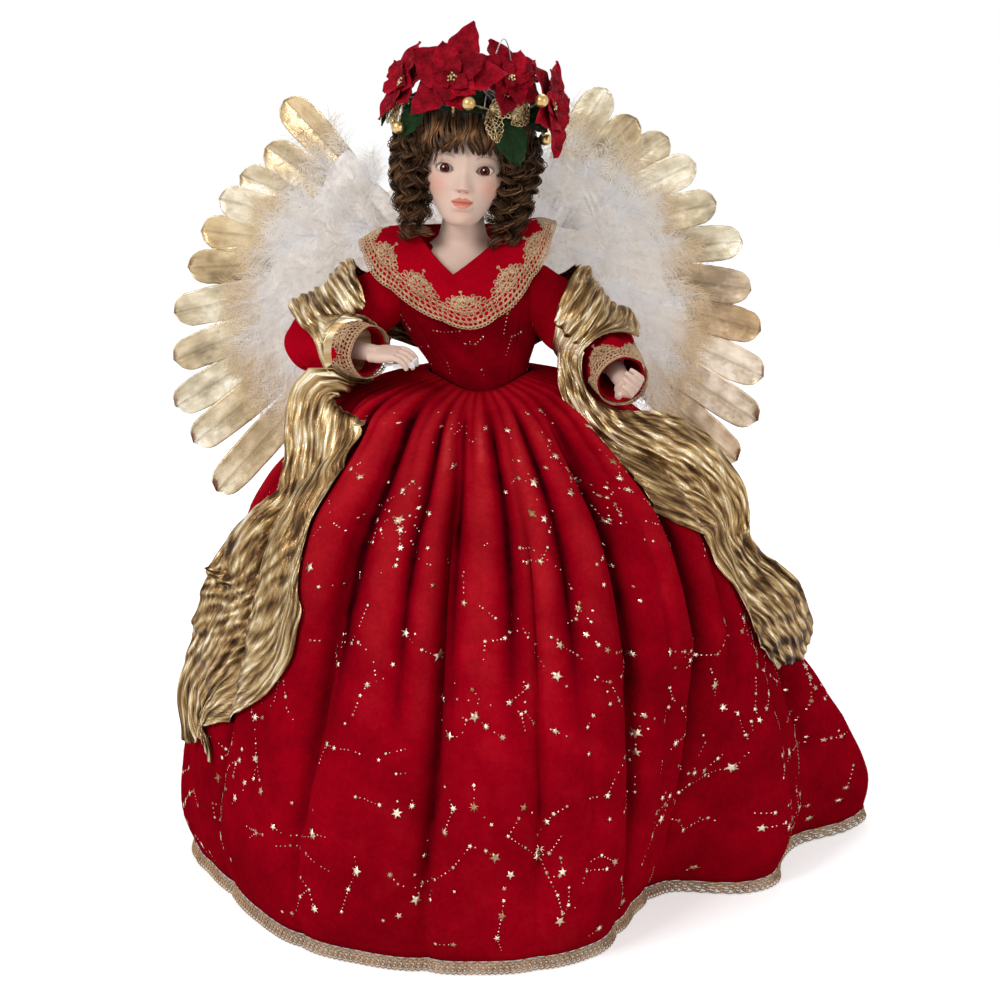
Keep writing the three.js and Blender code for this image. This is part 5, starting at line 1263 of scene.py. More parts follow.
def seatEye(y, x, z, side, centre, front):  # the lids lie on the eye's ball, and the opening falls in behind it
    ex, ey, ez = centre
    outwards, rise = side * (x - ex), z - ez
    away = np.hypot(outwards, rise)
    lidRadius = head["eyeRadius"] + eyeOpening["lid"]
    lid = ey - np.sqrt(np.clip(lidRadius ** 2 - away ** 2, 0, None))
    meet = smoothstep(lidRadius - away, 0.1, 1.3) * front
    y = np.where(front, mix(y, np.minimum(y, lid), meet), y)
    upper, lower = lidEdges(outwards)
    crease = bell(rise - upper - 1.75, 0.34) * (np.abs(outwards) < 6.4) * front
    y = y + 0.55 * crease * smoothstep(6.4 - np.abs(outwards), 0, 2)
    inside = (np.abs(outwards) < eyeOpening["halfWidth"]) & (rise < upper) & (rise > lower) & front
    hidden = ey - np.sqrt(np.clip(head["eyeRadius"] ** 2 - away ** 2, 0, None)) + 1.5
    return np.where(inside, np.maximum(y, hidden), y)


def paintEye(wash, x, z, side, centre, front):  # lid lines, lashes, brow and nostril of one side
    outwards, rise = side * (x - centre[0]), z - centre[2]
    upper, lower = lidEdges(outwards)
    near = np.clip(1.1 - np.abs(outwards) / 5.2, 0, 1) * front
    wash((196, 140, 116), 0.4 * near * bell(rise - upper - 1.7, 0.75))
    wash((52, 28, 20), 1.25 * smoothstep(near, 0, 0.25) * bell(rise - upper - 0.12, 0.46))
    wash((120, 74, 54), 0.75 * smoothstep(near, 0, 0.25) * bell(rise - lower + 0.15, 0.28))
    lashes = np.abs(np.sin(outwards * 3.4 + rise * 0.9)) ** 3
    wash((70, 42, 30), 0.6 * lashes * near * smoothstep(rise - upper, 0.1, 0.3)
         * (1 - smoothstep(rise - upper, 0.7, 1.5)))
    wash((90, 56, 42), 0.5 * lashes * near * smoothstep(lower - rise, 0.1, 0.3)
         * (1 - smoothstep(lower - rise, 0.6, 1.3)))
    browShare = np.clip((outwards + 5.6) / 12.4, 0, 1)
    browLine = centre[2] + 6.0 + 2.3 * np.sin(math.pi * browShare ** 0.8) - 0.9 * browShare
    hairs = 0.75 + 0.25 * np.sin((outwards * 2.6 + rise * 3.4) * 2)
    ends = smoothstep(outwards, -6.2, -4.4) * (1 - smoothstep(outwards, 4.8, 7.2))
    wash((120, 76, 54), 0.75 * ends * hairs * bell(z - browLine - 0.5, mix(0.55, 0.32, browShare)) * front)
    wash((140, 74, 58), 0.8 * bell(x - side * 2.1, 0.8) * bell(z + 18.5, 0.45) * front)


def paintMouth(wash, x, z, front):  # lips with a bow, a painted highlight on the lower one, and the line between them
    half, middle = head["mouthHalfWidth"], head["mouth"]
    inside = np.clip(1 - (x / half) ** 2, 0, 1)
    bow = 1 - 0.24 * bell(x, 0.9) + 0.06 * bell(np.abs(x) - 1.8, 1.0)
    top, foot = middle + 2.6 * inside ** 0.9 * bow, middle - 3.5 * inside ** 0.75
    lips = smoothstep(top - z, -0.12, 0.3) * smoothstep(z - foot, -0.12, 0.3) * (np.abs(x) < half) * front
    wash((206, 112, 90), 0.88 * lips)
    # painted highlight on the lower lip
    wash((238, 172, 148), 0.6 * lips * bell(z + 26.2, 0.7) * bell(x, 3))
    wash((134, 58, 44), 0.85 * bell(z - middle - 0.12 - 0.15 * np.cos(x * 0.7), 0.2)
         * (np.abs(x) < half - 0.3) * front)


def bustShape():  # the shoulder plate and the neck, on the body's own outline
    columns = head["bustColumns"]
    azimuth = fullTurn * np.arange(columns)[None, :] / columns
    rise = np.linspace(0, 1, 20)[:, None]
    inner = bodyPoint(azimuth, mix(doll["neck"] - 2.5, doll["plate"], rise), -4.1)
    outside = bodyPoint(azimuth, mix(doll["plate"], doll["neck"] - 0.4, rise), -1.6)
    share = np.linspace(0, 1, 48)[:, None]
    height = mix(doll["neck"], doll["headHeight"] - head["halfHeight"] * 0.72, share)
    middle = mix(doll["lean"] * 1.08, doll["headLean"] * 1.12, share)
    tuckedIn = 1.6 * (1 - smoothstep(share, 0, 0.3))
    halfWidth = follow(bustRows, share, 1) * doll["chestHalfWidth"] - tuckedIn
    halfDepth = follow(bustRows, share, 2) * doll["chestHalfDepth"] - tuckedIn
    neck = stack(middle + halfWidth * np.sin(azimuth),
                 mix(0, doll["headForward"] * 0.6, share) - halfDepth * np.cos(azimuth), height)
    bust = np.concatenate([inner, outside, neck])
    return bust, closedFaces(columns, len(bust) - 1)


def makeHead():
    columns, rows = head["columns"], head["rows"]
    turned = 2 * (np.arange(columns)[None, :] + 0.5) / columns - 1
    azimuth = math.pi * (turned - 0.2 * np.sin(math.pi * turned))  # closer columns over the face
    share = np.arange(rows + 1)[:, None] / rows
    up = 2 * (share + 0.08 * (np.sin(fullTurn * (share + 0.2)) - math.sin(fullTurn * 0.2))) - 1
    azimuth, up = np.broadcast_arrays(azimuth, up)
    points = headPoint(azimuth, up, 0)
    x, y, z = points[..., 0], points[..., 1].copy(), points[..., 2]
    colours = np.broadcast_to(skin, points.shape).copy()

    def wash(colour, mask):
        colours[:] = mix(colours, linear(*colour), np.clip(mask, 0, 1)[..., None])

    front = np.cos(azimuth) > 0.1
    wash((222, 140, 116), 0.5 * bell(np.abs(x) - 15.5, 6.4) * bell(z + 16.5, 7.0) * front)
    wash((226, 150, 126), 0.3 * bell(x, 3.6) * bell(z + 16.5, 3.0) * front)
    wash((226, 150, 126), 0.25 * bell(x, 6) * bell(z + 31.5, 3.0) * front)
    for side, name in ((-1, "left"), (1, "right")):
        centre = eyeCentre(name)
        y = seatEye(y, x, z, side, centre, front)
        paintEye(wash, x, z, side, centre, front)
    paintMouth(wash, x, z, front)
    bust, bustFaces = bustShape()
    shape = merge([(onHead(np.stack([x, y, z], -1)), closedFaces(columns, rows)), (bust, bustFaces)])
    tints = np.concatenate([colours.reshape(-1, 3), np.broadcast_to(skin, (bust.size // 3, 3))])
    return makePiece("bisque_head", shape, "bisque", "porcelain", "head", paint=tints)


eye = {"columns": 64, "rows": 90, "slack": 0.05, "bulge": 0.3, "pupil": (1.15, 1.35), "iris": (2.85, 3.05)}


def makeEye(side):
    radius = head["eyeRadius"] - eye["slack"]
    columns, rows = eye["columns"], eye["rows"]
    tilt = np.linspace(0.01, math.pi - 0.01, rows + 1)[:, None]
    turn = -fullTurn * np.arange(columns)[None, :] / columns
    reach = radius + eye["bulge"] * bell(tilt, 0.42)
    points = eyeCentre(side) + stack(reach * np.sin(tilt) * np.cos(turn), -reach * np.cos(tilt) + 0 * turn,
                                     reach * np.sin(tilt) * np.sin(turn))
    gaze = tilt * radius + 0 * turn
    colours = np.broadcast_to(linear(238, 228, 220), (*gaze.shape, 3)).copy()
    brown = mix(linear(104, 42, 26), linear(34, 12, 9),
                smoothstep(gaze + 0.25 * np.sin(turn * 23), 1.6, 2.8)[..., None])
    colours = mix(colours, brown, (1 - smoothstep(gaze, *eye["iris"]))[..., None])
    colours = mix(colours, linear(10, 7, 6), (1 - smoothstep(gaze, *eye["pupil"]))[..., None])
    # painted highlight: a white glint on the glass, up and to the left of the pupil
    glint = np.hypot(gaze * np.cos(turn) + 0.75, gaze * np.sin(turn) - 0.85)
    colours = mix(colours, np.array([1.0, 1.0, 1.0]), 0.95 * (1 - smoothstep(glint, 0.3, 0.5))[..., None])
    return makePiece(f"glass_eye_{side}", (onHead(points), closedFaces(columns, rows)), "glass", "eye_glass",
                     f"eye_{side}", paint=colours)


# Hair: a cap of strands, a fringe and sprung ringlets

hair = {"halfWidth": 39, "halfDepth": 36, "rise": 38, "wave": 1.1, "backShare": 0.1, "strand": 0.25,
        "crown": 1250, "crownSteps": 22, "fringe": 1750, "fringeSteps": 18, "fringeReach": 29, "capLift": -5.5,
        "lockStrands": 40, "lockSteps": 38, "lockThick": 2.7, "lockRadius": (2.0, 4.2), "lockPitch": (8.0, 15.0),
        # shine: strength of the painted highlight on the locks
        "shine": 1.5}
hairRows = [[-0.62, 0.84, 0.84], [-0.3, 0.96, 0.94], [0.1, 1, 1], [0.4, 0.99, 0.98], [0.6, 0.9, 0.9],
            [0.78, 0.7, 0.72], [0.92, 0.42, 0.45], [1, 0.12, 0.14]]
hairDark, hairLight = linear(36, 22, 15), linear(212, 154, 106)


def hairPoint(azimuth, up, lift):
    wave = hair["wave"] * np.cos(14 * azimuth) * np.cos(fullTurn * up)
    return stack((follow(hairRows, up, 1) * hair["halfWidth"] + wave + lift) * np.sin(azimuth),
                 hair["halfDepth"] * hair["backShare"]
                 - (follow(hairRows, up, 2) * hair["halfDepth"] + wave + lift) * np.cos(azimuth),
                 up * hair["rise"])


def hairTints(rolls, count, steps, sides, light, shine=0.0):
    tone = np.clip(rolls.normal(light, 0.2, count), 0, 1)[:, None] * np.ones(steps)
    # painted shade: each strand darker at its root and a little at its tip; the shine is added as a painted
    # highlight
    tone = tone * mix(0.45, 1.1, np.sin(np.linspace(0.1, 2.6, steps))) + shine * mix(0.6, 1.0, tone)
    shade = mix(hairDark, hairLight, np.clip(tone, 0, 1)[..., None])
    return np.repeat(shade, sides, axis=1).reshape(-1, 3)


def makeHairCap():
    columns, rows = 120, 40
    up = mix(-0.55, 0.985, np.arange(rows + 1)[:, None] / rows)
    gap = mix(1.2, 0.3, smoothstep(up, 0.1, 0.5))
    azimuth = mix(gap, fullTurn - gap, np.arange(columns + 1)[None, :] / columns)
    front = bell(around(azimuth / degree), 80)
    under = hair["capLift"]
    points = hairPoint(azimuth, up, under - 3.5 * front + 0.8 * np.sin(azimuth * 60) * np.sin(up * 9))
    top = hairPoint(np.linspace(0, fullTurn, 73)[None, :], mix(0.36, 0.99, np.linspace(0, 1, 20)[:, None]), under)
    shape = merge([(onHead(points), gridFaces(columns, rows)), (onHead(top), gridFaces(72, 19))])
    return makePiece("hair_cap", shape, "wigBase", "doll_hair", "wig", thickness=1.0,
                     paint=np.broadcast_to(hairDark * 0.8, shape[0].shape))


def makeCrown():  # waved strands from the parting down over the cap
    rolls = dice(61)
    count, steps = hair["crown"], hair["crownSteps"]
    azimuth = rolls.uniform(0.5, fullTurn - 0.5, count)[:, None]
    along = np.linspace(0, 1, steps)[None, :]
    up = mix(0.98, rolls.uniform(-0.2, 0.15, count)[:, None], along)
    clump = np.round(azimuth * 9) / 9
    azimuth = mix(azimuth, clump, 0.5 * along) + 0.07 * np.sin(along * 11 + clump * 40) * along
    lift = rolls.uniform(-5.0, -2.0, count)[:, None] + 1.6 * np.sin(along * 15 + clump * 23)
    radii = hair["strand"] * mix(1, 0.5, along ** 3) * np.ones((count, 1))
    return makePiece("hair_crown", tubes(onHead(hairPoint(azimuth, up, lift)), radii, 3), "hair", "doll_hair",
                     paint=hairTints(rolls, count, steps, 3, 0.16))


def makeFringe():
    rolls = dice(62)
    count, steps = hair["fringe"], hair["fringeSteps"]
    x = rolls.uniform(-hair["fringeReach"], hair["fringeReach"], count)[:, None]
    along = np.linspace(0, 1, steps)[None, :]
    clump = np.round(x / 2.6) * 2.6
    foot = 4.2 + 0.7 * np.sin(clump * 1.3) - 6.5 * smoothstep(np.abs(x), 15, 27)
    z = mix(27.0, foot + rolls.normal(0, 0.8, count)[:, None], along ** 0.9)
    sway = 2.6 * np.sin(along * 7 + clump * 0.35) * along ** 0.7 + np.sign(x) * 3.0 * along ** 2
    across = mix(x, clump, 0.3 * along) + 0.8 * sway
    azimuth = np.arcsin(np.clip(across / 31, -0.97, 0.97))
    up = z / head["halfHeight"]
    depth = follow(headRows, up, 3) * head["halfDepth"]
    bow = 4.8 * np.sin(math.pi * np.clip(along * 0.86 + 0.1, 0, 1)) ** 0.8 + 1.2
    wavy = 0.9 * np.sin(along * 13 + clump * 0.5)
    # painted highlight: a band of shine across the middle of the fringe
    shine = 0.6 * bell(along - 0.52 - 0.06 * np.sin(clump), 0.15) * (0.6 + 0.4 * np.sin(x * 5))
    y = -np.cos(azimuth) * (depth + bow + wavy + rolls.uniform(0, 2.4, count)[:, None])
    radii = hair["strand"] * mix(1, 0.45, along ** 3) * np.ones((count, 1))
    return makePiece("hair_fringe", tubes(onHead(stack(across, y, z)), radii, 3), "hair", "doll_hair",
                     paint=hairTints(rolls, count, steps, 3, 0.1, shine))


def lockPath(rolls, points, radius, pitch):  # a sprung lock: strands bundled along a coil
    count, steps = hair["lockStrands"], hair["lockSteps"]
    shares = evenly(points, steps)
    centre = curveThrough(points, shares)
    ahead = unit(np.gradient(centre, axis=0))
    beside = unit(np.cross(ahead, [0.3, 1.0, 0.1]))
    other = np.cross(ahead, beside)
    along = np.linspace(0, 1, steps)
    length = np.linalg.norm(np.diff(centre, axis=0), axis=1).sum()
    angle = rolls.choice([-1, 1]) * fullTurn * length / pitch * along + rolls.uniform(0, fullTurn)
    angle = angle + 1.3 * np.sin(along * rolls.uniform(4, 9) + rolls.uniform(0, 6))
    spring = radius * smoothstep(along, -0.05, 0.3) * (1 - 0.25 * along ** 3)
    coil = centre + spring[:, None] * (np.cos(angle)[:, None] * beside + np.sin(angle)[:, None] * other)
    turn = rolls.uniform(0, fullTurn, count)[:, None, None]
    reach = hair["lockThick"] * np.sqrt(rolls.uniform(0, 1, count))[:, None, None]
    thick = mix(1.1, 0.6, along ** 2)[:, None]
    loose = rolls.normal(0, 0.3, (count, 1, 3)) * (0.4 + along[:, None] ** 2 * 3.0)
    stray = (rolls.uniform(0, 1, (count, 1, 1)) < 0.12) * np.sin(along * rolls.uniform(5, 9))[:, None]
    loose = loose + stray * rolls.normal(0, 1.6, (count, 1, 3))
    # painted highlight: shine where the coil's outside faces the light, up and to the front
    radial = np.cos(angle)[:, None] * beside + np.sin(angle)[:, None] * other
    shine = np.clip(radial @ unit(np.array([-0.2, -0.75, 0.6])), 0, 1) ** 5
    shine = hair["shine"] * shine[None, :] * rolls.uniform(0.0, 1.0, (count, 1)) ** 1.3
    return coil + reach * thick * (np.cos(turn) * beside + np.sin(turn) * other) + loose, shine


# Locks: turn from the front, top share, lift there, foot turn, foot height in millimetres, lift there
lockRows = [
    (47, 0.3, -7, 47, -36, -9), (52, 0.28, -5, 50, -45, -7), (58, 0.25, -3, 57, -43, -3),
    (64, 0.3, -2, 63, -46, -1), (71, 0.2, -1, 68, -38, 0), (77, 0.28, -1, 76, -42, -2), (84, 0.2, -0.5, 82, -33, 1),
    (91, 0.28, -1, 90, -38, -1), (98, 0.2, -0.5, 97, -31, 1), (106, 0.26, -1, 104, -36, -1),
    (115, 0.2, -1, 113, -32, 0), (124, 0.26, -1, 122, -36, -1), (134, 0.2, -1, 133, -34, 0),
    (145, 0.26, -1, 144, -37, -1), (157, 0.2, -1, 156, -35, 0), (169, 0.26, -1, 169, -37, -1),
    (178, 0.1, -1, 178, -34, 0), (60, 0.05, -7, 62, -40, -8), (75, 0.0, -7, 76, -36, -7),
    (92, 0.0, -7, 92, -34, -7)]


def makeLocks(name, side, seed):
    rolls = dice(seed)
    paths, shines = [], []
    for turn, top, lift, footTurn, foot, footLift in lockRows:
        azimuth = side * (turn + rolls.uniform(-2, 2)) * degree
        start = hairPoint(azimuth, top, lift)
        middle = hairPoint(side * mix(turn, footTurn, 0.5) * degree, mix(top, -0.5, 0.5), lift + 1.0)
        end = hairPoint(side * footTurn * degree, -0.5, footLift)
        end[2] = foot + rolls.uniform(-2.5, 2.5)
        tip = end + np.array([rolls.uniform(-3, 3), rolls.uniform(-2, 2), 0.5])
        path, shine = lockPath(rolls, [start, middle, end, tip + [0, 0, -2.5]],
                               rolls.uniform(*hair["lockRadius"]), rolls.uniform(*hair["lockPitch"]))
        paths.append(path)
        shines.append(shine)
    paths = np.concatenate(paths)
    count, steps = paths.shape[:2]
    radii = hair["strand"] * mix(1.1, 0.5, np.linspace(0, 1, steps) ** 3)[None] * np.ones((count, 1))
    return makePiece(name, tubes(onHead(paths), radii, 3), "hair", "doll_hair",
                     paint=hairTints(rolls, count, steps, 3, 0.03, np.concatenate(shines)))


makeTorso()
for side in ("left", "right"):
    makeStuffedArm(side)
    makeSleeve(side)
    makeHand(side)
    makeCuffLace(side)
    makeEye(side)
makeHead()
print("arms, hands and head ready")
makeHairCap()
makeCrown()
makeFringe()
makeLocks("hair_locks_left", -1, 63)
makeLocks("hair_locks_right", 1, 64)
print("hair ready")

# Wings, each in its own frame: X out to its side, Y to the back, Z up

wing = {"depth": 52, "reach": 204, "spread": 44, "middle": -12.5, "height": 360, "sweep": 7,
        "feather": 22, "root": 26, "tip": 11.0, "bend": 7, "dish": 1.15, "pitch": 1.15, "thickness": 0.45,
        "columns": 16, "rows": 56}
wingRows = {
    "left": (-1, [46.3, 32, 21.4, 13.5, 4.3, -4.8, -14.4, -23.9, -32.1, -39.5, -48.6],
             [0.609, 0.568, 0.6, 0.641, 0.684, 0.727, 0.796, 0.852, 0.925, 0.942, 1]),
    "right": (1, [57.8, 44.9, 34, 24.2, 12.1, 1.2, -9.6, -18.2, -26.7, -34.5, -42.5],
              [0.562, 0.549, 0.587, 0.62, 0.647, 0.716, 0.753, 0.819, 0.887, 0.941, 0.974])}
featherRows = [[0, 0.3], [0.2, 0.45], [0.5, 0.8], [0.75, 1], [0.9, 0.96], [1, 0.8]]


def onWing(side, points):  # from the wing's frame to the angel's
    points = np.array(points, float)
    points[..., 0] *= side
    turn = side * wing["sweep"] * degree
    c, s = math.cos(turn), math.sin(turn)
    x, y, z = points[..., 0], points[..., 1], points[..., 2]
    return stack(c * x - s * y + wing["middle"] + side * wing["spread"] / 2, s * x + c * y + wing["depth"],
                 z + wing["height"])


def turnUp(points, turn):  # from along the wing's X axis to a turn above it
    c, s = math.cos(turn * degree), math.sin(turn * degree)
    x, y, z = points[..., 0], points[..., 1], points[..., 2]
    return stack(c * x - s * z, y, s * x + c * z)


def makeFeather(name, index):
    side, turns, reachShares = wingRows[name]
    rolls = dice(700 + index + 20 * (side > 0))
    columns, rows = wing["columns"], wing["rows"]
    reach = wing["reach"] * reachShares[index]
    across = np.linspace(-1, 1, columns + 1)[None, :]
    share = np.linspace(0, 1, rows + 1)[:, None]
    tipLength = wing["tip"] / (reach - wing["root"])
    tip = np.clip((share - 1 + tipLength) / tipLength, 0, 1)
    rounded = np.sqrt(np.clip(1 - tip ** 2.3, 0.0004, 1))
    halfWidth = wing["feather"] / 2 * follow(featherRows, share) * rounded
    along = mix(wing["root"], reach, share)
    frayed = 1 + 0.012 * np.sin(along * rolls.uniform(1.6, 2.2)) * np.abs(across) ** 4
    bend = wing["bend"] * (along / wing["reach"]) ** 3
    curl = rolls.uniform(-1.6, 1.2) * smoothstep(share, 0.55, 1) ** 2
    dish = wing["dish"] * (np.abs(across) ** 1.4) * (0.4 + 0.6 * share) * rolls.uniform(0.5, 1.3)
    twist = rolls.uniform(-0.9, 0.9) * across * share
    ripple = 0.28 * np.sin(along * 0.42 + across * 2 + rolls.uniform(0, 6)) * np.abs(across)
    y = (index % 3) * wing["pitch"] + bend + curl - dish + twist + ripple + 0.35
    shaft = 0.4 * bell(across, 0.09) * (1 - 0.6 * share)
    points = stack(along + 0 * across, y - shaft, across * halfWidth * frayed)
    grid = gridFaces(columns, rows)[0]
    # painted reflection: each feather painted lighter or darker, as its satin would mirror the light; the shade
    # also runs along the feather, darker on the shaft, and the right wing's lower feathers are tinted pink
    shade = mix(linear(255, 253, 246), linear(224, 202, 166), np.clip(
        0.4 + 0.4 * rolls.normal(0, 1) + 0.3 * np.sin(along * 0.05 + rolls.uniform(0, 6)), 0, 1)[..., None])
    if side > 0 and index > 5:
        shade = mix(shade, linear(232, 190, 178), 0.3)
    shade = shade * (1 - 0.3 * bell(across, 0.07))[..., None]
    uv = np.stack(np.broadcast_arrays(across * halfWidth * mm, along * mm), -1)
    shape = onWing(side, turnUp(points, turns[index])), [grid if side > 0 else grid[:, ::-1]]
    return makePiece(f"feather_cloth_{name}_{index + 1:02d}", shape, "feather", "feather_satin",
                     f"feather_{name}_{index + 1:02d}", uv=uv, thickness=wing["thickness"], offset=0,
                     paint=np.broadcast_to(shade, (rows + 1, columns + 1, 3)))


def fanRim(name, share, margin, reachShare):  # the fan's outer line, from its top feather to its lowest
    _, turns, reachShares = wingRows[name]
    turn = mix(turns[0] + margin, turns[-1] - margin, share)
    reach = follow([[-t, r] for t, r in zip(turns, reachShares)], -turn) * wing["reach"] * reachShare
    return turn, reach


marabou = {"plumes": 210, "barbs": 84, "steps": 5, "radius": 0.12, "dome": 11.0, "seed": 81, "groups": 3,
           "front": -1.3, "columns": 140, "reach": 0.66, "innerReach": 0.12, "margin": 9,
           "plumeLength": (20, 32), "barbLength": (10.5, 15.5)}
domeRows = [[0, 0.82], [0.3, 1], [0.62, 0.95], [0.86, 0.66], [1, 0.15]]


def downRings(name):  # the pad of down: rings from its middle out to the fan's line, and a flat back
    columns, front = marabou["columns"], marabou["front"]
    centre = np.array([wing["reach"] * 0.26, 0, wing["reach"] * 0.06])
    share = np.arange(columns) / columns
    turn, reach = fanRim(name, np.clip(share / 0.7, 0, 1), marabou["margin"], marabou["reach"])
    inner = share > 0.7
    turn = np.where(inner, mix(-62, -298, (share - 0.7) / 0.3), turn)
    reach = np.where(inner, wing["reach"] * marabou["innerReach"], reach)
    rim = stack(reach * np.cos(turn * degree), 0, reach * np.sin(turn * degree))
    levels = np.linspace(0.02, 0.9, 22)
    rings = mix(centre, rim[None], levels[:, None, None])
    lumps = 1.4 * wander(82, share[None, :] + 0.3 * levels[:, None], 4, 15)
    rings[..., 1] = front - marabou["dome"] * follow(domeRows, levels)[:, None] * 0.8 - lumps
    under = rings[-1:].copy()
    under[..., 1] = front + 0.2
    return np.concatenate([rings, under])


def makeDownPad(name, rings):
    faces = closedFaces(marabou["columns"], len(rings) - 1)
    if wingRows[name][0] > 0:
        faces = [face[:, ::-1] for face in faces]
    return makePiece(f"marabou_core_{name}", (onWing(wingRows[name][0], rings), faces), "downCore",
                               "white_down", f"down_{name}")


def growPlumes(rolls, side, rings):  # where the plumes start, where they point, and their share of the way out
    plumes = marabou["plumes"]
    cells = rings[:-1]
    corners = [cells[:-1], np.roll(cells[:-1], -1, 1), np.roll(cells[1:], -1, 1), cells[1:]]
    areas = np.linalg.norm(np.cross(corners[2] - corners[0], corners[3] - corners[1]), axis=-1)
    middles = (sum(corners) / 4).reshape(-1, 3)
    walked = np.cumsum(areas) / areas.sum()
    picked = np.searchsorted(walked, (np.arange(plumes) + rolls.uniform(0, 1, plumes)) / plumes)
    picked = picked[np.argsort(-middles[picked, 2])]
    root = middles[picked] + rolls.normal(0, 1.5, (plumes, 3)) * [1, 0.3, 1]
    level = (picked // marabou["columns"]) / len(cells)
    turnShare = (picked % marabou["columns"]) / marabou["columns"]
    outward = unit(root * [1, 0, 1] + np.array([4, 0, -6]) + rolls.normal(0, 14, (plumes, 3)) * [1, 0, 1])
    steep = np.arctan2(root[:, 2], root[:, 0]) / degree
    swing = (smoothstep(steep, 12, 44) * rolls.uniform(25, 95, plumes) * (1 if side > 0 else 0.2)
             - smoothstep(-steep, 20, 44) * rolls.uniform(0, 40, plumes)) * degree
    c, s = np.cos(swing), np.sin(swing)
    outward = stack(c * outward[:, 0] - s * outward[:, 2], outward[:, 1], s * outward[:, 0] + c * outward[:, 2])
    root[:, 1] += 2.5
    return root, outward, level, turnShare


def makeMarabou(name):  # a soft pad covered with plumes, whose outermost barbs are tan
    side = wingRows[name][0]
    rings = downRings(name)
    makeDownPad(name, rings)
    rolls = dice(marabou["seed"] + (side > 0))
    plumes, barbs, steps = marabou["plumes"], marabou["barbs"], marabou["steps"]
    root, outward, level, turnShare = growPlumes(rolls, side, rings)
    away = np.hypot(root[:, 0], root[:, 2])
    length = rolls.uniform(*marabou["plumeLength"], plumes) * np.where(away < wing["reach"] * 0.3, 0.75, 1.0)
    along = np.linspace(0.04, 1, barbs)[None, :]
    lift = -rolls.uniform(1.5, 5.5, plumes)[:, None] * np.sin(math.pi * along * 0.8)
    spine = root[:, None] + outward[:, None] * (length[:, None] * along)[..., None]
    spine[..., 1] += lift + 4.5 * (along ** 2) * level[:, None]
    sideways = unit(np.cross(outward, [0, 1, 0]))
    aside = np.where(np.arange(barbs) % 2 == 0, 1, -1)[None, :]
    spread = rolls.uniform(0.35, 1.15, (plumes, barbs))
    barbLength = mix(*marabou["barbLength"], rolls.uniform(0, 1, (plumes, barbs))) * mix(1, 0.75, along)
    way = unit(outward[:, None] * np.cos(spread)[..., None]
               + sideways[:, None] * (aside * np.sin(spread))[..., None]
               + np.array([0, -1, 0]) * rolls.normal(0.12, 0.34, (plumes, barbs))[..., None])
    droop = rolls.normal(0, 1, (plumes, barbs, 3)) * 2.2 + np.array([0, 0.6, -2.4])
    step = np.linspace(0, 1, steps)
    paths = (spine[:, :, None] + way[:, :, None] * (barbLength[..., None] * step)[..., None]
             + droop[:, :, None] * (step ** 2)[:, None]
             + 0.5 * rolls.normal(0, 1, (plumes, barbs, 1, 3)) * np.sin(step * 7)[:, None])
    paths[..., 1] = np.minimum(paths[..., 1], marabou["front"])
    tanned = (level[:, None] > 0.62) * (turnShare < 0.7)[:, None] * smoothstep(along, 0.2, 0.8)
    tan = tanned[..., None] * mix(0.35, 1.0, step)
    cool, warm = linear(246, 246, 249), linear(248, 240, 230)
    white = mix(cool, warm, rolls.uniform(0, 1, (plumes, 1, 1, 1)))
    shade = mix(white, linear(226, 196, 146), np.clip(tan * 1.1, 0, 0.85)[..., None])
    radii = marabou["radius"] * mix(1.15, 0.45, step)[None, :]
    for number, group in enumerate(np.array_split(np.arange(plumes), marabou["groups"]), 1):
        strands = paths[group].reshape(-1, steps, 3)
        tints = np.repeat(shade[group].reshape(-1, steps, 3), 3, axis=1).reshape(-1, 3)
        makePiece(f"marabou_barbs_{name}_{number}", tubes(onWing(side, strands), radii, 3), "down", "white_down",
                  paint=tints)


# Stole of crinkled lame: stations from the left tail round both arms and the back to the right tail

stole = {"width": 62, "lift": 5.5, "columns": 84, "rows": 560, "thickness": 0.5, "pleatWidth": 5.2,
         "pleatDepth": 1.7, "slopeWidth": 6.8, "swathMiddle": 116, "swathReach": 52, "curl": 4.0, "endShear": 13,
         # darkerTails: how much painted shade darkens the left and the right tail
         "darkerTails": (0.3, 0.2), "flat": (0.074, 0.94)}


def hanging(x, y, z, turn, tip, widthShare):  # a place, and the way that the cloth faces there
    return (np.array([x, y, z], float),
            unit(np.array([math.sin(turn * degree), -math.cos(turn * degree), tip])), widthShare)


def roundArm(arm, share, turn, widthShare):
    centre, ahead = pointAt(armLine(arm), share), tangentAt(armLine(arm), share)
    out = np.array([arm["side"] * math.cos(turn * degree), math.sin(turn * degree), 0])
    out = unit(out - ahead * (out @ ahead))
    return centre + out * (sleeve["radius"] + stole["lift"]), out, widthShare


def besideForearm(arm, share, inwards, down, widthShare):
    _, elbow, wrist = armPoints(arm)
    inner = np.cross([0, 0, 1], unit(wrist - elbow)) * -arm["side"]
    out = unit(inner * inwards + np.array([0, 0, -down]))
    radius = mix(sleeve["radius"], sleeve["cuff"], share / sleeve["cuffShare"])
    return mix(elbow, wrist, share) + out * (radius + stole["lift"]), out, widthShare


def acrossBack(turn, heightShare, widthShare):
    azimuth = turn * degree
    place = bodyPoint(azimuth, mix(doll["waist"], doll["neck"], heightShare), stole["lift"])
    return place, np.array([math.sin(azimuth), -math.cos(azimuth), 0]), widthShare


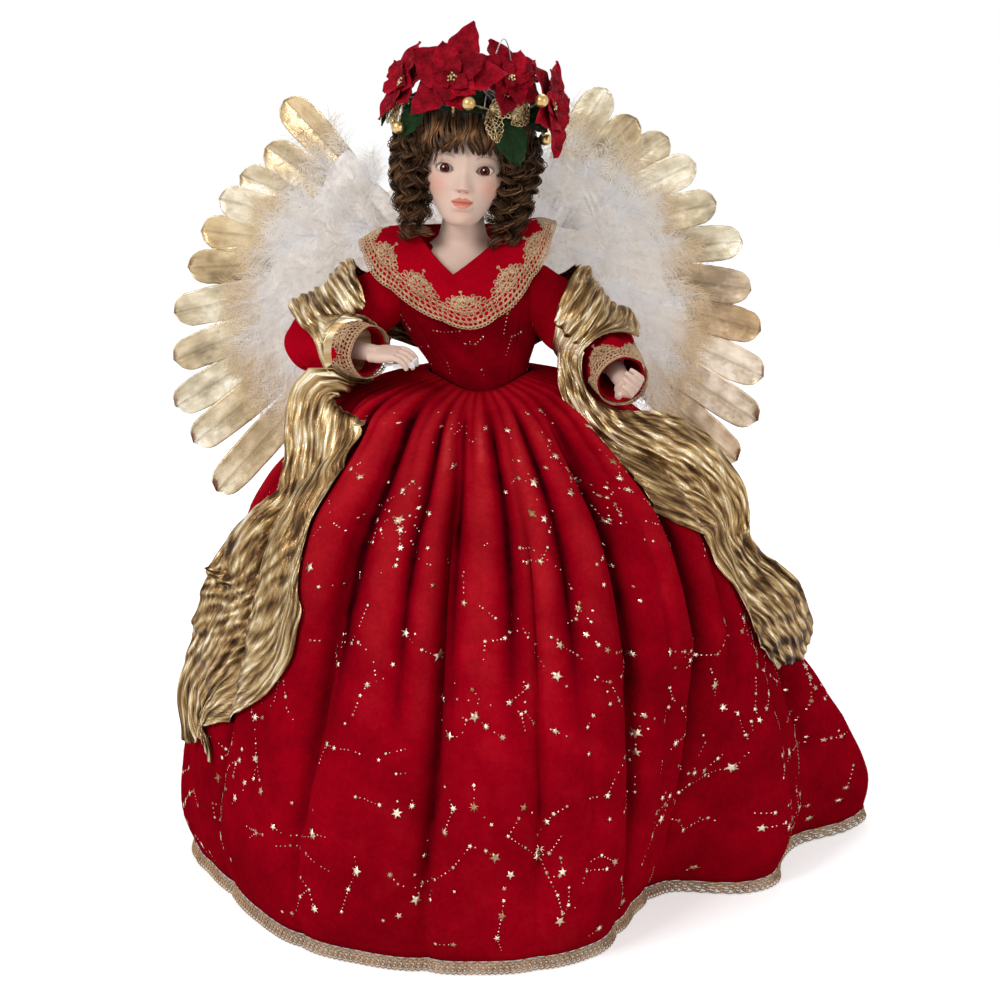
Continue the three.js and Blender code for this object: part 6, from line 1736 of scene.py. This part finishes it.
def stoleStations():
    left, right = arms["left"], arms["right"]
    return [
        hanging(-163, -48, 88, -26, 0.1, 0.62), hanging(-166, -44, 110, -22, 0.1, 0.62),
        hanging(-149, -62, 141, -20, 0.15, 1.12), hanging(-124, -74, 177, -18, 0.2, 1.5),
        hanging(-113, -70, 209, -20, 0.25, 1.3), hanging(-101, -64, 240, -22, 0.3, 0.7),
        hanging(-95, -52, 264, -16, 0.25, 0.7), hanging(-91, -42, 288, -10, 0.1, 0.76),
        besideForearm(left, 0.3, 0.5, 1, 0.6), besideForearm(left, 0.45, 1, -0.4, 0.45),
        roundArm(left, 0.32, -95, 0.5), roundArm(left, 0.33, -45, 0.68), roundArm(left, 0.33, 5, 0.72),
        roundArm(left, 0.28, 60, 0.55),
        acrossBack(-140, 0.3, 0.5), acrossBack(180, 0.12, 0.5), acrossBack(140, 0.3, 0.5),
        roundArm(right, 0.28, 60, 0.55), roundArm(right, 0.34, 5, 0.75), roundArm(right, 0.36, -45, 0.8),
        roundArm(right, 0.38, -100, 0.6),
        hanging(49, -26, 318, -45, 0, 0.42), hanging(52, -36, 300, -20, 0.1, 0.36),
        hanging(67, -48, 278, 0, 0.25, 0.5), hanging(88, -54, 266, 8, 0.35, 0.85),
        hanging(112, -50, 251, 18, 0.4, 1.0), hanging(130, -42, 229, 22, 0.35, 0.75),
        hanging(137, -46, 209, 20, 0.2, 0.52), hanging(150, -36, 184, 24, 0.15, 0.64),
        hanging(167, -26, 165, 22, 0.15, 0.74), hanging(179, -14, 145, 26, 0.15, 0.66),
        hanging(186, 0, 126, 30, 0.1, 0.56)]


def clearOfBar(points, start, end, startRadius, endRadius, gap, after=0.0):  # pushes the cloth off an arm
    axis = end - start
    length = np.linalg.norm(axis)
    axis = axis / length
    along = (points - start) @ axis
    radius = mix(startRadius, endRadius, np.clip(along / length, 0, 1.2)) + gap
    foot = start + axis * np.clip(along, 0, length + after)[..., None]
    away = points - foot
    push = np.clip(radius - np.linalg.norm(away, axis=-1), 0, None)
    return points + unit(away) * push[..., None]


def clearOfBody(points, pleat):  # lays the cloth outside the arms, the skirt and the chest, pleats and all
    lift = pleat["lift"]
    for name in ("left", "right"):
        start, elbow, wrist = armPoints(arms[name])
        mouth = mix(elbow, wrist, sleeve["cuffShare"])
        bottom = np.clip((lift + 6) * 0.35, 0, 4)
        points = clearOfBar(points, start, elbow, sleeve["radius"] * 0.9, sleeve["radius"], bottom + 2.4)
        points = clearOfBar(points, elbow, mouth, sleeve["radius"], sleeve["cuff"], bottom + 2.6, 4)
        points = clearOfBar(points, mouth, wrist + unit(wrist - elbow) * 26, 9, 8, bottom * 0.5 + 1)
    height = points[..., 2]
    azimuth = np.arctan2(points[..., 0], -points[..., 1])
    onSkirt = height < doll["waist"] * 0.93
    raised = pleat["depth"] + 2
    rest = skirtPoint(azimuth, np.clip(height, 5, doll["waist"]), 1.6 + np.clip(raised * 0.8, 0, 4))
    reach = np.hypot(points[..., 0], points[..., 1])
    least = np.hypot(rest[..., 0], rest[..., 1])
    grow = np.where(onSkirt & (reach < least), least / np.maximum(reach, 1), 1)
    points[..., :2] *= grow[..., None]
    chest = bodyPoint(azimuth, np.clip(height, doll["waist"], doll["neck"]), 2.6 + np.clip(raised, 0, 4))
    onChest = (height >= doll["waist"] * 0.93) & (height < doll["neck"] - 8)
    middle = np.array([doll["lean"] * 0.9, 0])
    shifted, hold = points[..., :2] - middle, chest[..., :2] - middle
    near, need = np.hypot(shifted[..., 0], shifted[..., 1]), np.hypot(hold[..., 0], hold[..., 1])
    grow = np.where(onChest & (near < need), need / np.maximum(near, 1), 1)[..., None]
    points[..., :2] = shifted * grow + middle
    return points


def stolePleats(across, width, length):  # pleats along the cloth, crosswise ones where it is turned over
    u, v = across * width, length / 1000
    warp = 7 * wander(201, v + u / 900, 3, 9) + 3.5 * wander(202, v + u / 260, 8, 22)
    lane = (u + warp) / stole["pleatWidth"] + 40
    slope = (-0.86 * u + 0.5 * length + 5 * wander(211, v * 0.4 - u / 260, 4, 16)) / stole["slopeWidth"] + 60
    swath = bell(length - stole["swathMiddle"], stole["swathReach"]) * (1 - smoothstep(across, 0.2, 0.36))
    ridge = mix(np.abs((lane % 1.0) * 2 - 1), np.abs((slope % 1.0) * 2 - 1), smoothstep(swath, 0.3, 0.6))
    strong = np.clip(0.55 + 0.8 * wander(204, v + np.floor(lane) * 0.137, 6, 20), 0.1, 1.6)
    slant = (0.7 * u + 0.5 * length + 8 * wander(205, v + u / 200, 7, 18)) / 7.0
    cross = np.abs((slant % 1.0) * 2 - 1) - 0.5
    crossed = np.clip(wander(206, v + u / 400, 3, 10) + 0.15, 0, 1)
    depth = stole["pleatDepth"] * (ridge - 0.5) * strong * 1.5
    broad = 3.2 * np.sin(u * 0.16 + 0.03 * length + 0.8) + 2.2 * wander(207, v + u / 150, 8, 20)
    nip = 1.1 * cross * crossed + 0.8 * np.sin(length * 0.3 + 2.2 * np.sin(across * 8))
    lift = depth + broad * (0.55 + 0.45 * smoothstep(width, 30, 70)) + nip
    return {"ridge": ridge, "strong": strong, "depth": depth, "lift": lift}


def stoleShine(points, out, pleat, u, v):  # painted reflection: bright where a fold faces the light, and painted shade, dark in the pleats
    facing = unit(np.cross(np.gradient(points, axis=1), np.gradient(points, axis=0)))
    facing = facing * np.where(dot(facing, out[:, None] + 0 * facing) < 0, -1, 1)
    sky = dot(facing, np.broadcast_to(unit(np.array([-0.5, -0.35, 0.8])), facing.shape))[..., 0]
    room = dot(facing, np.broadcast_to(unit(np.array([0.8, -0.5, 0.2])), facing.shape))[..., 0]
    shine = 0.5 + 0.5 * np.sin(3.4 * sky + 2.2 * room + 0.9 * wander(208, v + u / 300, 6, 16))
    tail = smoothstep(-points[..., 2], -285, -180)
    # painted shade: the pleats darker on the tails, and the tails darker, the left one most
    shine = (0.8 * shine + 0.22 * sky
             + mix(0.2, 0.62, tail * np.clip(pleat["strong"], 0, 1)) * (pleat["ridge"] - 0.5) - 0.04
             - np.where(points[..., 0] < 0, *stole["darkerTails"]) * tail
             + 0.18 * tail * wander(212, v * 0.7 - u / 210, 5, 14))
    return np.clip(shine, 0.02, 1)


def makeStole():
    stations = stoleStations()
    columns, rows = stole["columns"], stole["rows"]
    share = np.linspace(0, 1, rows + 1)
    centre = curveThrough([place for place, _, _ in stations], share)
    ahead = unit(np.gradient(centre, axis=0))
    out = curveThrough([out for _, out, _ in stations], share)
    out = unit(out - dot(out, ahead) * ahead)
    side = unit(np.cross(ahead, out))
    widthRows = [[i / (len(stations) - 1), station[2]] for i, station in enumerate(stations)]
    width = (follow(widthRows, share) * stole["width"])[:, None]
    across = np.linspace(-0.5, 0.5, columns + 1)[None, :]
    length = np.concatenate([[0], np.cumsum(np.linalg.norm(np.diff(centre, axis=0), axis=1))])[:, None]
    u, v = across * width, length / 1000
    pleat = stolePleats(across, width, length)
    free = smoothstep(np.minimum(share, 1 - share), 0.0, 0.05)[:, None]
    curlIn = -stole["curl"] * smoothstep(np.abs(across) * 2, 0.82, 1.0) * smoothstep(width, 40, 75)
    reach = 1 + 0.05 * wander(209, v, 12, 40)
    raggedEnd = (4.5 * np.sin(across * 7 + 1.2) * (1 - free)
                 - stole["endShear"] * across * (1 - smoothstep(share, 0, 0.08))[:, None])
    points = (centre[:, None] + side[:, None] * (u * reach)[..., None]
              + out[:, None] * (pleat["lift"] + curlIn)[..., None] + ahead[:, None] * raggedEnd[..., None])
    points = clearOfBody(points, pleat)
    shine = stoleShine(points, out, pleat, u, v)
    uv = np.stack(np.broadcast_arrays(across * 70 * mm, length * mm), -1)
    piece = makePiece("lame_stole", (points, gridFaces(columns, rows)), "lame", "gold_lame", "shawl", uv=uv,
                      paint=grey(shine), thickness=stole["thickness"], offset=0)
    print("stole length", round(length[-1, 0]), "mm")
    return piece


for name in ("left", "right"):
    for index in range(len(wingRows[name][1])):
        makeFeather(name, index)
    makeMarabou(name)
print("wings ready")
makeStole()
print("stole ready")

# Wreath, in the head's frame: poinsettias, leaves, open-mesh leaves and beads on a taped wire ring

wreath = {"petal": 29, "petalWidth": 17, "leaf": 24, "leafWidth": 13, "meshLeaf": 18.5, "meshLeafWidth": 9,
          "bead": 3.75, "wire": 1.5, "stem": 0.9, "rise": 0.62, "clothThickness": 0.5,
          "frill": 0.07, "crumple": 0.7, "fold": 0.14, "vein": 0.3, "sideVein": 0.16}
flowerRows = [(-13, 0.62, 0.3, 0.4, -10, 1.08), (-62, 0.4, 0.1, 0.5, 20, 0.9), (29, 0.68, 0.1, 0.7, 12, 0.88),
              (66, 0.16, 0.3, 0.25, 34, 1), (150, 0.5, 0.05, 0.9, 10, 0.85)]
leafRows = [(-40, 0.1, 150, 1), (24, 0.15, 202, 1.4), (52, 0.3, 230, 0.9), (-84, 0, 175, 1),
            (96, 0.1, 190, 0.9), (62, 0.6, -20, 0.9), (-70, 0.5, -30, 0.7), (5, 0.9, 10, 0.7),
            (120, 0.3, 150, 0.9), (-130, 0.3, 190, 0.9), (180, 0.2, 170, 1.0), (44, 1.0, 20, 0.8),
            (138, 0.5, 205, 1.0), (160, 0.6, 150, 0.9), (-158, 0.4, 160, 1.0), (-108, 0.5, 200, 1.0),
            (-146, 0.9, 60, 0.9), (-172, 0.9, -40, 0.9), (-34, 0.8, 30, 0.85), (52, 0.9, -12, 0.9)]
# Sprays: turn from the front, the leaves' rolls, and how far the bead stands beside, above and out
sprayRows = [(14, (-84, -165), (-0.85, 0.7, 4.4)), (-58, (150, 110), (0.1, -4.4, 1.4)),
             (48, (76, 112), (-0.2, 1.4, 3.8))]

wireLoop = {"turns": (11, 37), "height": 44, "radius": 0.34}
hangingBerry = {"place": (33.0, -8.0, 437.0), "turn": 78, "stem": 0.4}


def wreathPoint(azimuth):
    return hairPoint(azimuth, wreath["rise"], wreath["wire"] + hair["wave"] * 2 + 0.3)


def facing(place, out, rollDegrees=0):  # a place and the axes of a piece that faces out of it
    axis = unit(out)
    up = unit(np.array([0, 0, 1]) - axis * axis[2])
    right = np.cross(up, axis)
    c, s = math.cos(rollDegrees * degree), math.sin(rollDegrees * degree)
    return place, np.stack([right * c + up * s, up * c - right * s, axis])


def put(points, seat):
    place, axes = seat
    return onHead(np.asarray(points) @ axes + place)


def petalSurface(rolls, length, width, cup, columns=14, rows=26, veins=5):
    side = np.linspace(-1, 1, columns + 1)[None, :]
    share = np.linspace(0.0, 1, rows + 1)[:, None]
    swelling = np.sin(math.pi * np.clip(share, 0, 1) ** 0.85) ** 0.8
    pointed = 1 - smoothstep(share, 0.8, 1.0) * 0.55
    halfWidth = width / 2 * swelling * pointed + 0.5 * (1 - share * 0.9)
    frill = wreath["frill"] * np.sin(share * 19 + rolls.uniform(0, 6)) * np.abs(side) ** 3
    crumple = (wreath["crumple"] * np.sin(share * 17 + side * 3 + rolls.uniform(0, 6))
               * np.abs(side) ** 1.2 * share)
    fold = wreath["fold"] * width * np.abs(side) * np.sin(math.pi * share)
    vein = wreath["vein"] * bell(side, 0.07) * (1 - share)
    for number in range(veins):
        start = 0.1 + 0.16 * number
        line = share - start - 0.24 * np.abs(side)
        vein = vein + wreath["sideVein"] * bell(line, 0.022) * (np.abs(side) < 0.93)
    curl = rolls.uniform(-0.07, 0.1) * length * smoothstep(share, 0.45, 1) ** 2
    twist = rolls.uniform(-0.1, 0.1) * side * width * share
    rise = cup * length * np.sin(share * 2.4) + fold + curl + twist + crumple - vein
    points = stack(side * halfWidth * (1 + frill), length * share + 0 * side, rise)
    shade = 1.0 - 0.5 * np.clip(vein * 3, 0, 1) + 0.15 * np.abs(side) ** 3
    # painted shade: darker towards the foot, where it lies under the pieces above it; each piece also gets a random
    # shade
    shade = shade * mix(0.45, 1.05, smoothstep(share, 0.0, 0.5)) * rolls.uniform(0.66, 1.25)
    return points, gridFaces(columns, rows), grey(shade).reshape(-1, 3)


def makeBead(centre, radius, sides=20, rows=14):
    tilt = np.linspace(0.06, math.pi - 0.06, rows)
    path = np.asarray(centre) + stack(0 * tilt, 0 * tilt, -np.cos(tilt) * radius)
    return tubes(path, np.sin(tilt) * radius, sides)


def makeFlower(number, row):
    turn, rise, out, tilt, rollDegrees, size = row
    rolls = dice(900 + number)
    azimuth = turn * degree
    seat = wreathPoint(azimuth)
    outward = unit(np.array([math.sin(azimuth), -math.cos(azimuth), tilt]))
    centre = seat + outward * wreath["petal"] * out + np.array([0, 0, wreath["petal"] * rise])
    seatFrame = facing(centre, outward, rollDegrees)
    parts, tints = [], []
    layers = ((5, 1.0, 1.0, 0.05, 0, 0), (5, 0.7, 0.78, 0.16, 34, 1.4), (3, 0.4, 0.5, 0.3, 10, 2.4))
    for petals, length, width, cup, start, above in layers:
        for index in range(petals):
            angle = start * degree + fullTurn * index / petals + rolls.normal(0, 0.06)
            low = 1 - (0.34 if number == 1 and math.sin(angle) < 0 else 0.1) * max(0, -math.cos(angle))
            reach = length * size * (1 if index % 2 == 0 else 0.86) * rolls.uniform(0.94, 1.06) * low
            points, faces, shade = petalSurface(
                rolls, wreath["petal"] * reach, wreath["petalWidth"] * width * size * rolls.uniform(0.9, 1.05),
                cup * rolls.uniform(0.7, 1.3))
            c, s = math.cos(angle), math.sin(angle)
            x, y, z = points[..., 0], points[..., 1], points[..., 2]
            parts.append((put(stack(c * x - s * y, s * x + c * y, z + above), seatFrame), faces))
            tints.append(shade)
    makePiece(f"poinsettia_cloth_{number}", merge(parts), "petals", "petal_cloth", f"poinsettia_{number}",
              paint=np.concatenate(tints), thickness=wreath["clothThickness"], offset=0)
    parts = []
    for index in range(9):  # the flower's heart
        angle = 2.4 * index
        reach = 0.95 * math.sqrt(index)
        spot = put(np.array([reach * math.cos(angle), reach * math.sin(angle), 4.2 - 0.25 * reach]), seatFrame)
        parts.append(makeBead(spot, 0.85, 10, 7))
    stem = mix(centre, seat, np.linspace(0, 1, 6)[:, None])
    return makePiece(f"flower_heart_{number}", merge(parts + [tubes(onHead(stem), wreath["stem"], 8)]),
                     "gilt", "gilt_mesh")


def makeGreenery():
    rolls = dice(930)
    parts, tints = [], []
    for turn, tilt, rollDegrees, size in leafRows:
        azimuth = turn * degree
        outward = np.array([math.sin(azimuth), -math.cos(azimuth), tilt])
        points, faces, shade = petalSurface(rolls, wreath["leaf"] * size, wreath["leafWidth"] * size, 0.08, veins=6)
        parts.append((put(points, facing(wreathPoint(azimuth) + [0, 0, 5], outward, rollDegrees)), faces))
        tints.append(shade)
    makePiece("wreath_leaves", merge(parts), "leaves", "leaf_cloth", "wreath_ring",
              paint=np.concatenate(tints), thickness=wreath["clothThickness"], offset=0)
    turn = np.linspace(0, fullTurn, 160, endpoint=False)
    taped = wreath["wire"] + 0.22 * np.abs(np.sin(turn * 60))
    raised = stack(0 * turn, 0 * turn, 4.0 * bell(around(turn / degree), 70))
    ring = tubes(onHead(wreathPoint(turn) + raised), taped, 14, True)
    return makePiece("wreath_ring_taped", ring, "leaves", "leaf_cloth", paint=np.full((len(ring[0]), 3), 0.5))


def meshLeaf(rolls, length, width, cup):  # an open net of wires in the outline of a leaf
    share = np.linspace(0, 1, 24)
    half = width / 2 * np.sin(math.pi * share ** 0.85) ** 0.8 + 0.25
    rise = cup * length * np.sin(share * 2.4)
    wavy = half * (1 + 0.12 * np.sin(share * 40))
    parts = [tubes(stack(side * wavy, length * share, rise + 0.12 * half), 0.28, 6) for side in (1, -1)]
    parts.append(tubes(stack(0, length * share, rise), 0.3, 6))
    even = np.linspace(0, 1, 8)
    for lean in (-1, 1):
        for start in np.arange(-0.5, 1.0, 0.15):
            path = np.linspace(-1, 1, 12)
            y = start + 0.25 + 0.27 * lean * path
            keep = (y > 0.03) & (y < 0.97)
            if keep.sum() < 4:
                continue
            y, path = y[keep], path[keep]
            wide = np.interp(y, share, half)
            line = stack(path * wide, y * length, np.interp(y, share, rise) + 0.12 * wide * np.abs(path))
            line = np.stack([np.interp(even, np.linspace(0, 1, len(line)), line[:, i]) for i in range(3)], -1)
            parts.append(tubes(line + rolls.normal(0, 0.22, line.shape), 0.2, 4))
    return merge(parts)


def makeSpray(number, row):
    turn, leafRolls, (besideShare, upShare, outShare) = row
    rolls = dice(950 + number)
    azimuth = turn * degree
    outward = unit(np.array([math.sin(azimuth), -math.cos(azimuth), 0.15]))
    seat = wreathPoint(azimuth)
    knot = seat + outward * wreath["wire"] * 2.4 + np.array([0, 0, 5.0])
    parts = []
    for rollDegrees in (*leafRolls, leafRolls[0] + 24):
        points, faces = meshLeaf(rolls, wreath["meshLeaf"], wreath["meshLeafWidth"], rolls.uniform(0.08, 0.2))
        parts.append((put(points, facing(knot + outward * 2.2, outward, rollDegrees)), faces))
    beside = np.array([math.cos(azimuth), math.sin(azimuth), 0])
    centre = (knot + outward * wreath["bead"] * outShare + beside * besideShare * wreath["meshLeaf"]
              + np.array([0, 0, upShare * wreath["bead"]]))
    for start, end in ((seat, knot), (knot, centre)):
        parts.append(tubes(onHead(mix(start, end, np.linspace(0, 1, 6)[:, None])), wreath["stem"] * 0.6, 6))
    makePiece(f"gold_spray_wires_{number}", merge(parts), "gilt", "gilt_mesh", f"gold_spray_{number}")
    return makePiece(f"gold_bead_{number}", makeBead(onHead(centre), wreath["bead"], 32, 24), "beads", "gilt_mesh")


def makeLoop():  # a bent end of florist's wire that stands up behind the middle flower
    share = np.linspace(0, 1, 30)
    path = wreathPoint(mix(*wireLoop["turns"], share) * degree)
    path = path + stack(0, 0, wireLoop["height"] * np.sin(math.pi * share) ** 0.6)
    return makePiece("wreath_wire_loop", tubes(onHead(path), wireLoop["radius"], 8), "steel", "gilt_mesh")


def makeHangingBerry():  # the berry that hangs by itself at the right
    end = inHead(np.array(hangingBerry["place"]))
    stem = mix(wreathPoint(hangingBerry["turn"] * degree), end, np.linspace(0, 1, 6)[:, None])
    berry = merge([makeBead(onHead(end), wreath["bead"], 32, 24), tubes(onHead(stem), hangingBerry["stem"], 6)])
    return makePiece("hanging_berry", berry, "beads", "gilt_mesh")


for number, row in enumerate(flowerRows, 1):
    makeFlower(number, row)
makeLoop()
makeHangingBerry()
makeGreenery()
for number, row in enumerate(sprayRows, 1):
    makeSpray(number, row)
print("wreath ready")

bareCad = {"stand_base": "wood", "stand_post": "steel", "skirt_former": "card", "wing_bracket": "steel",
           "wing_plate_left": "wingCard", "wing_plate_right": "wingCard", "hand_clip": "plastic"}
for name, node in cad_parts.items():
    if name in bareCad:
        node.data.materials.clear()
        node.data.materials.append(finishes[bareCad[name]])
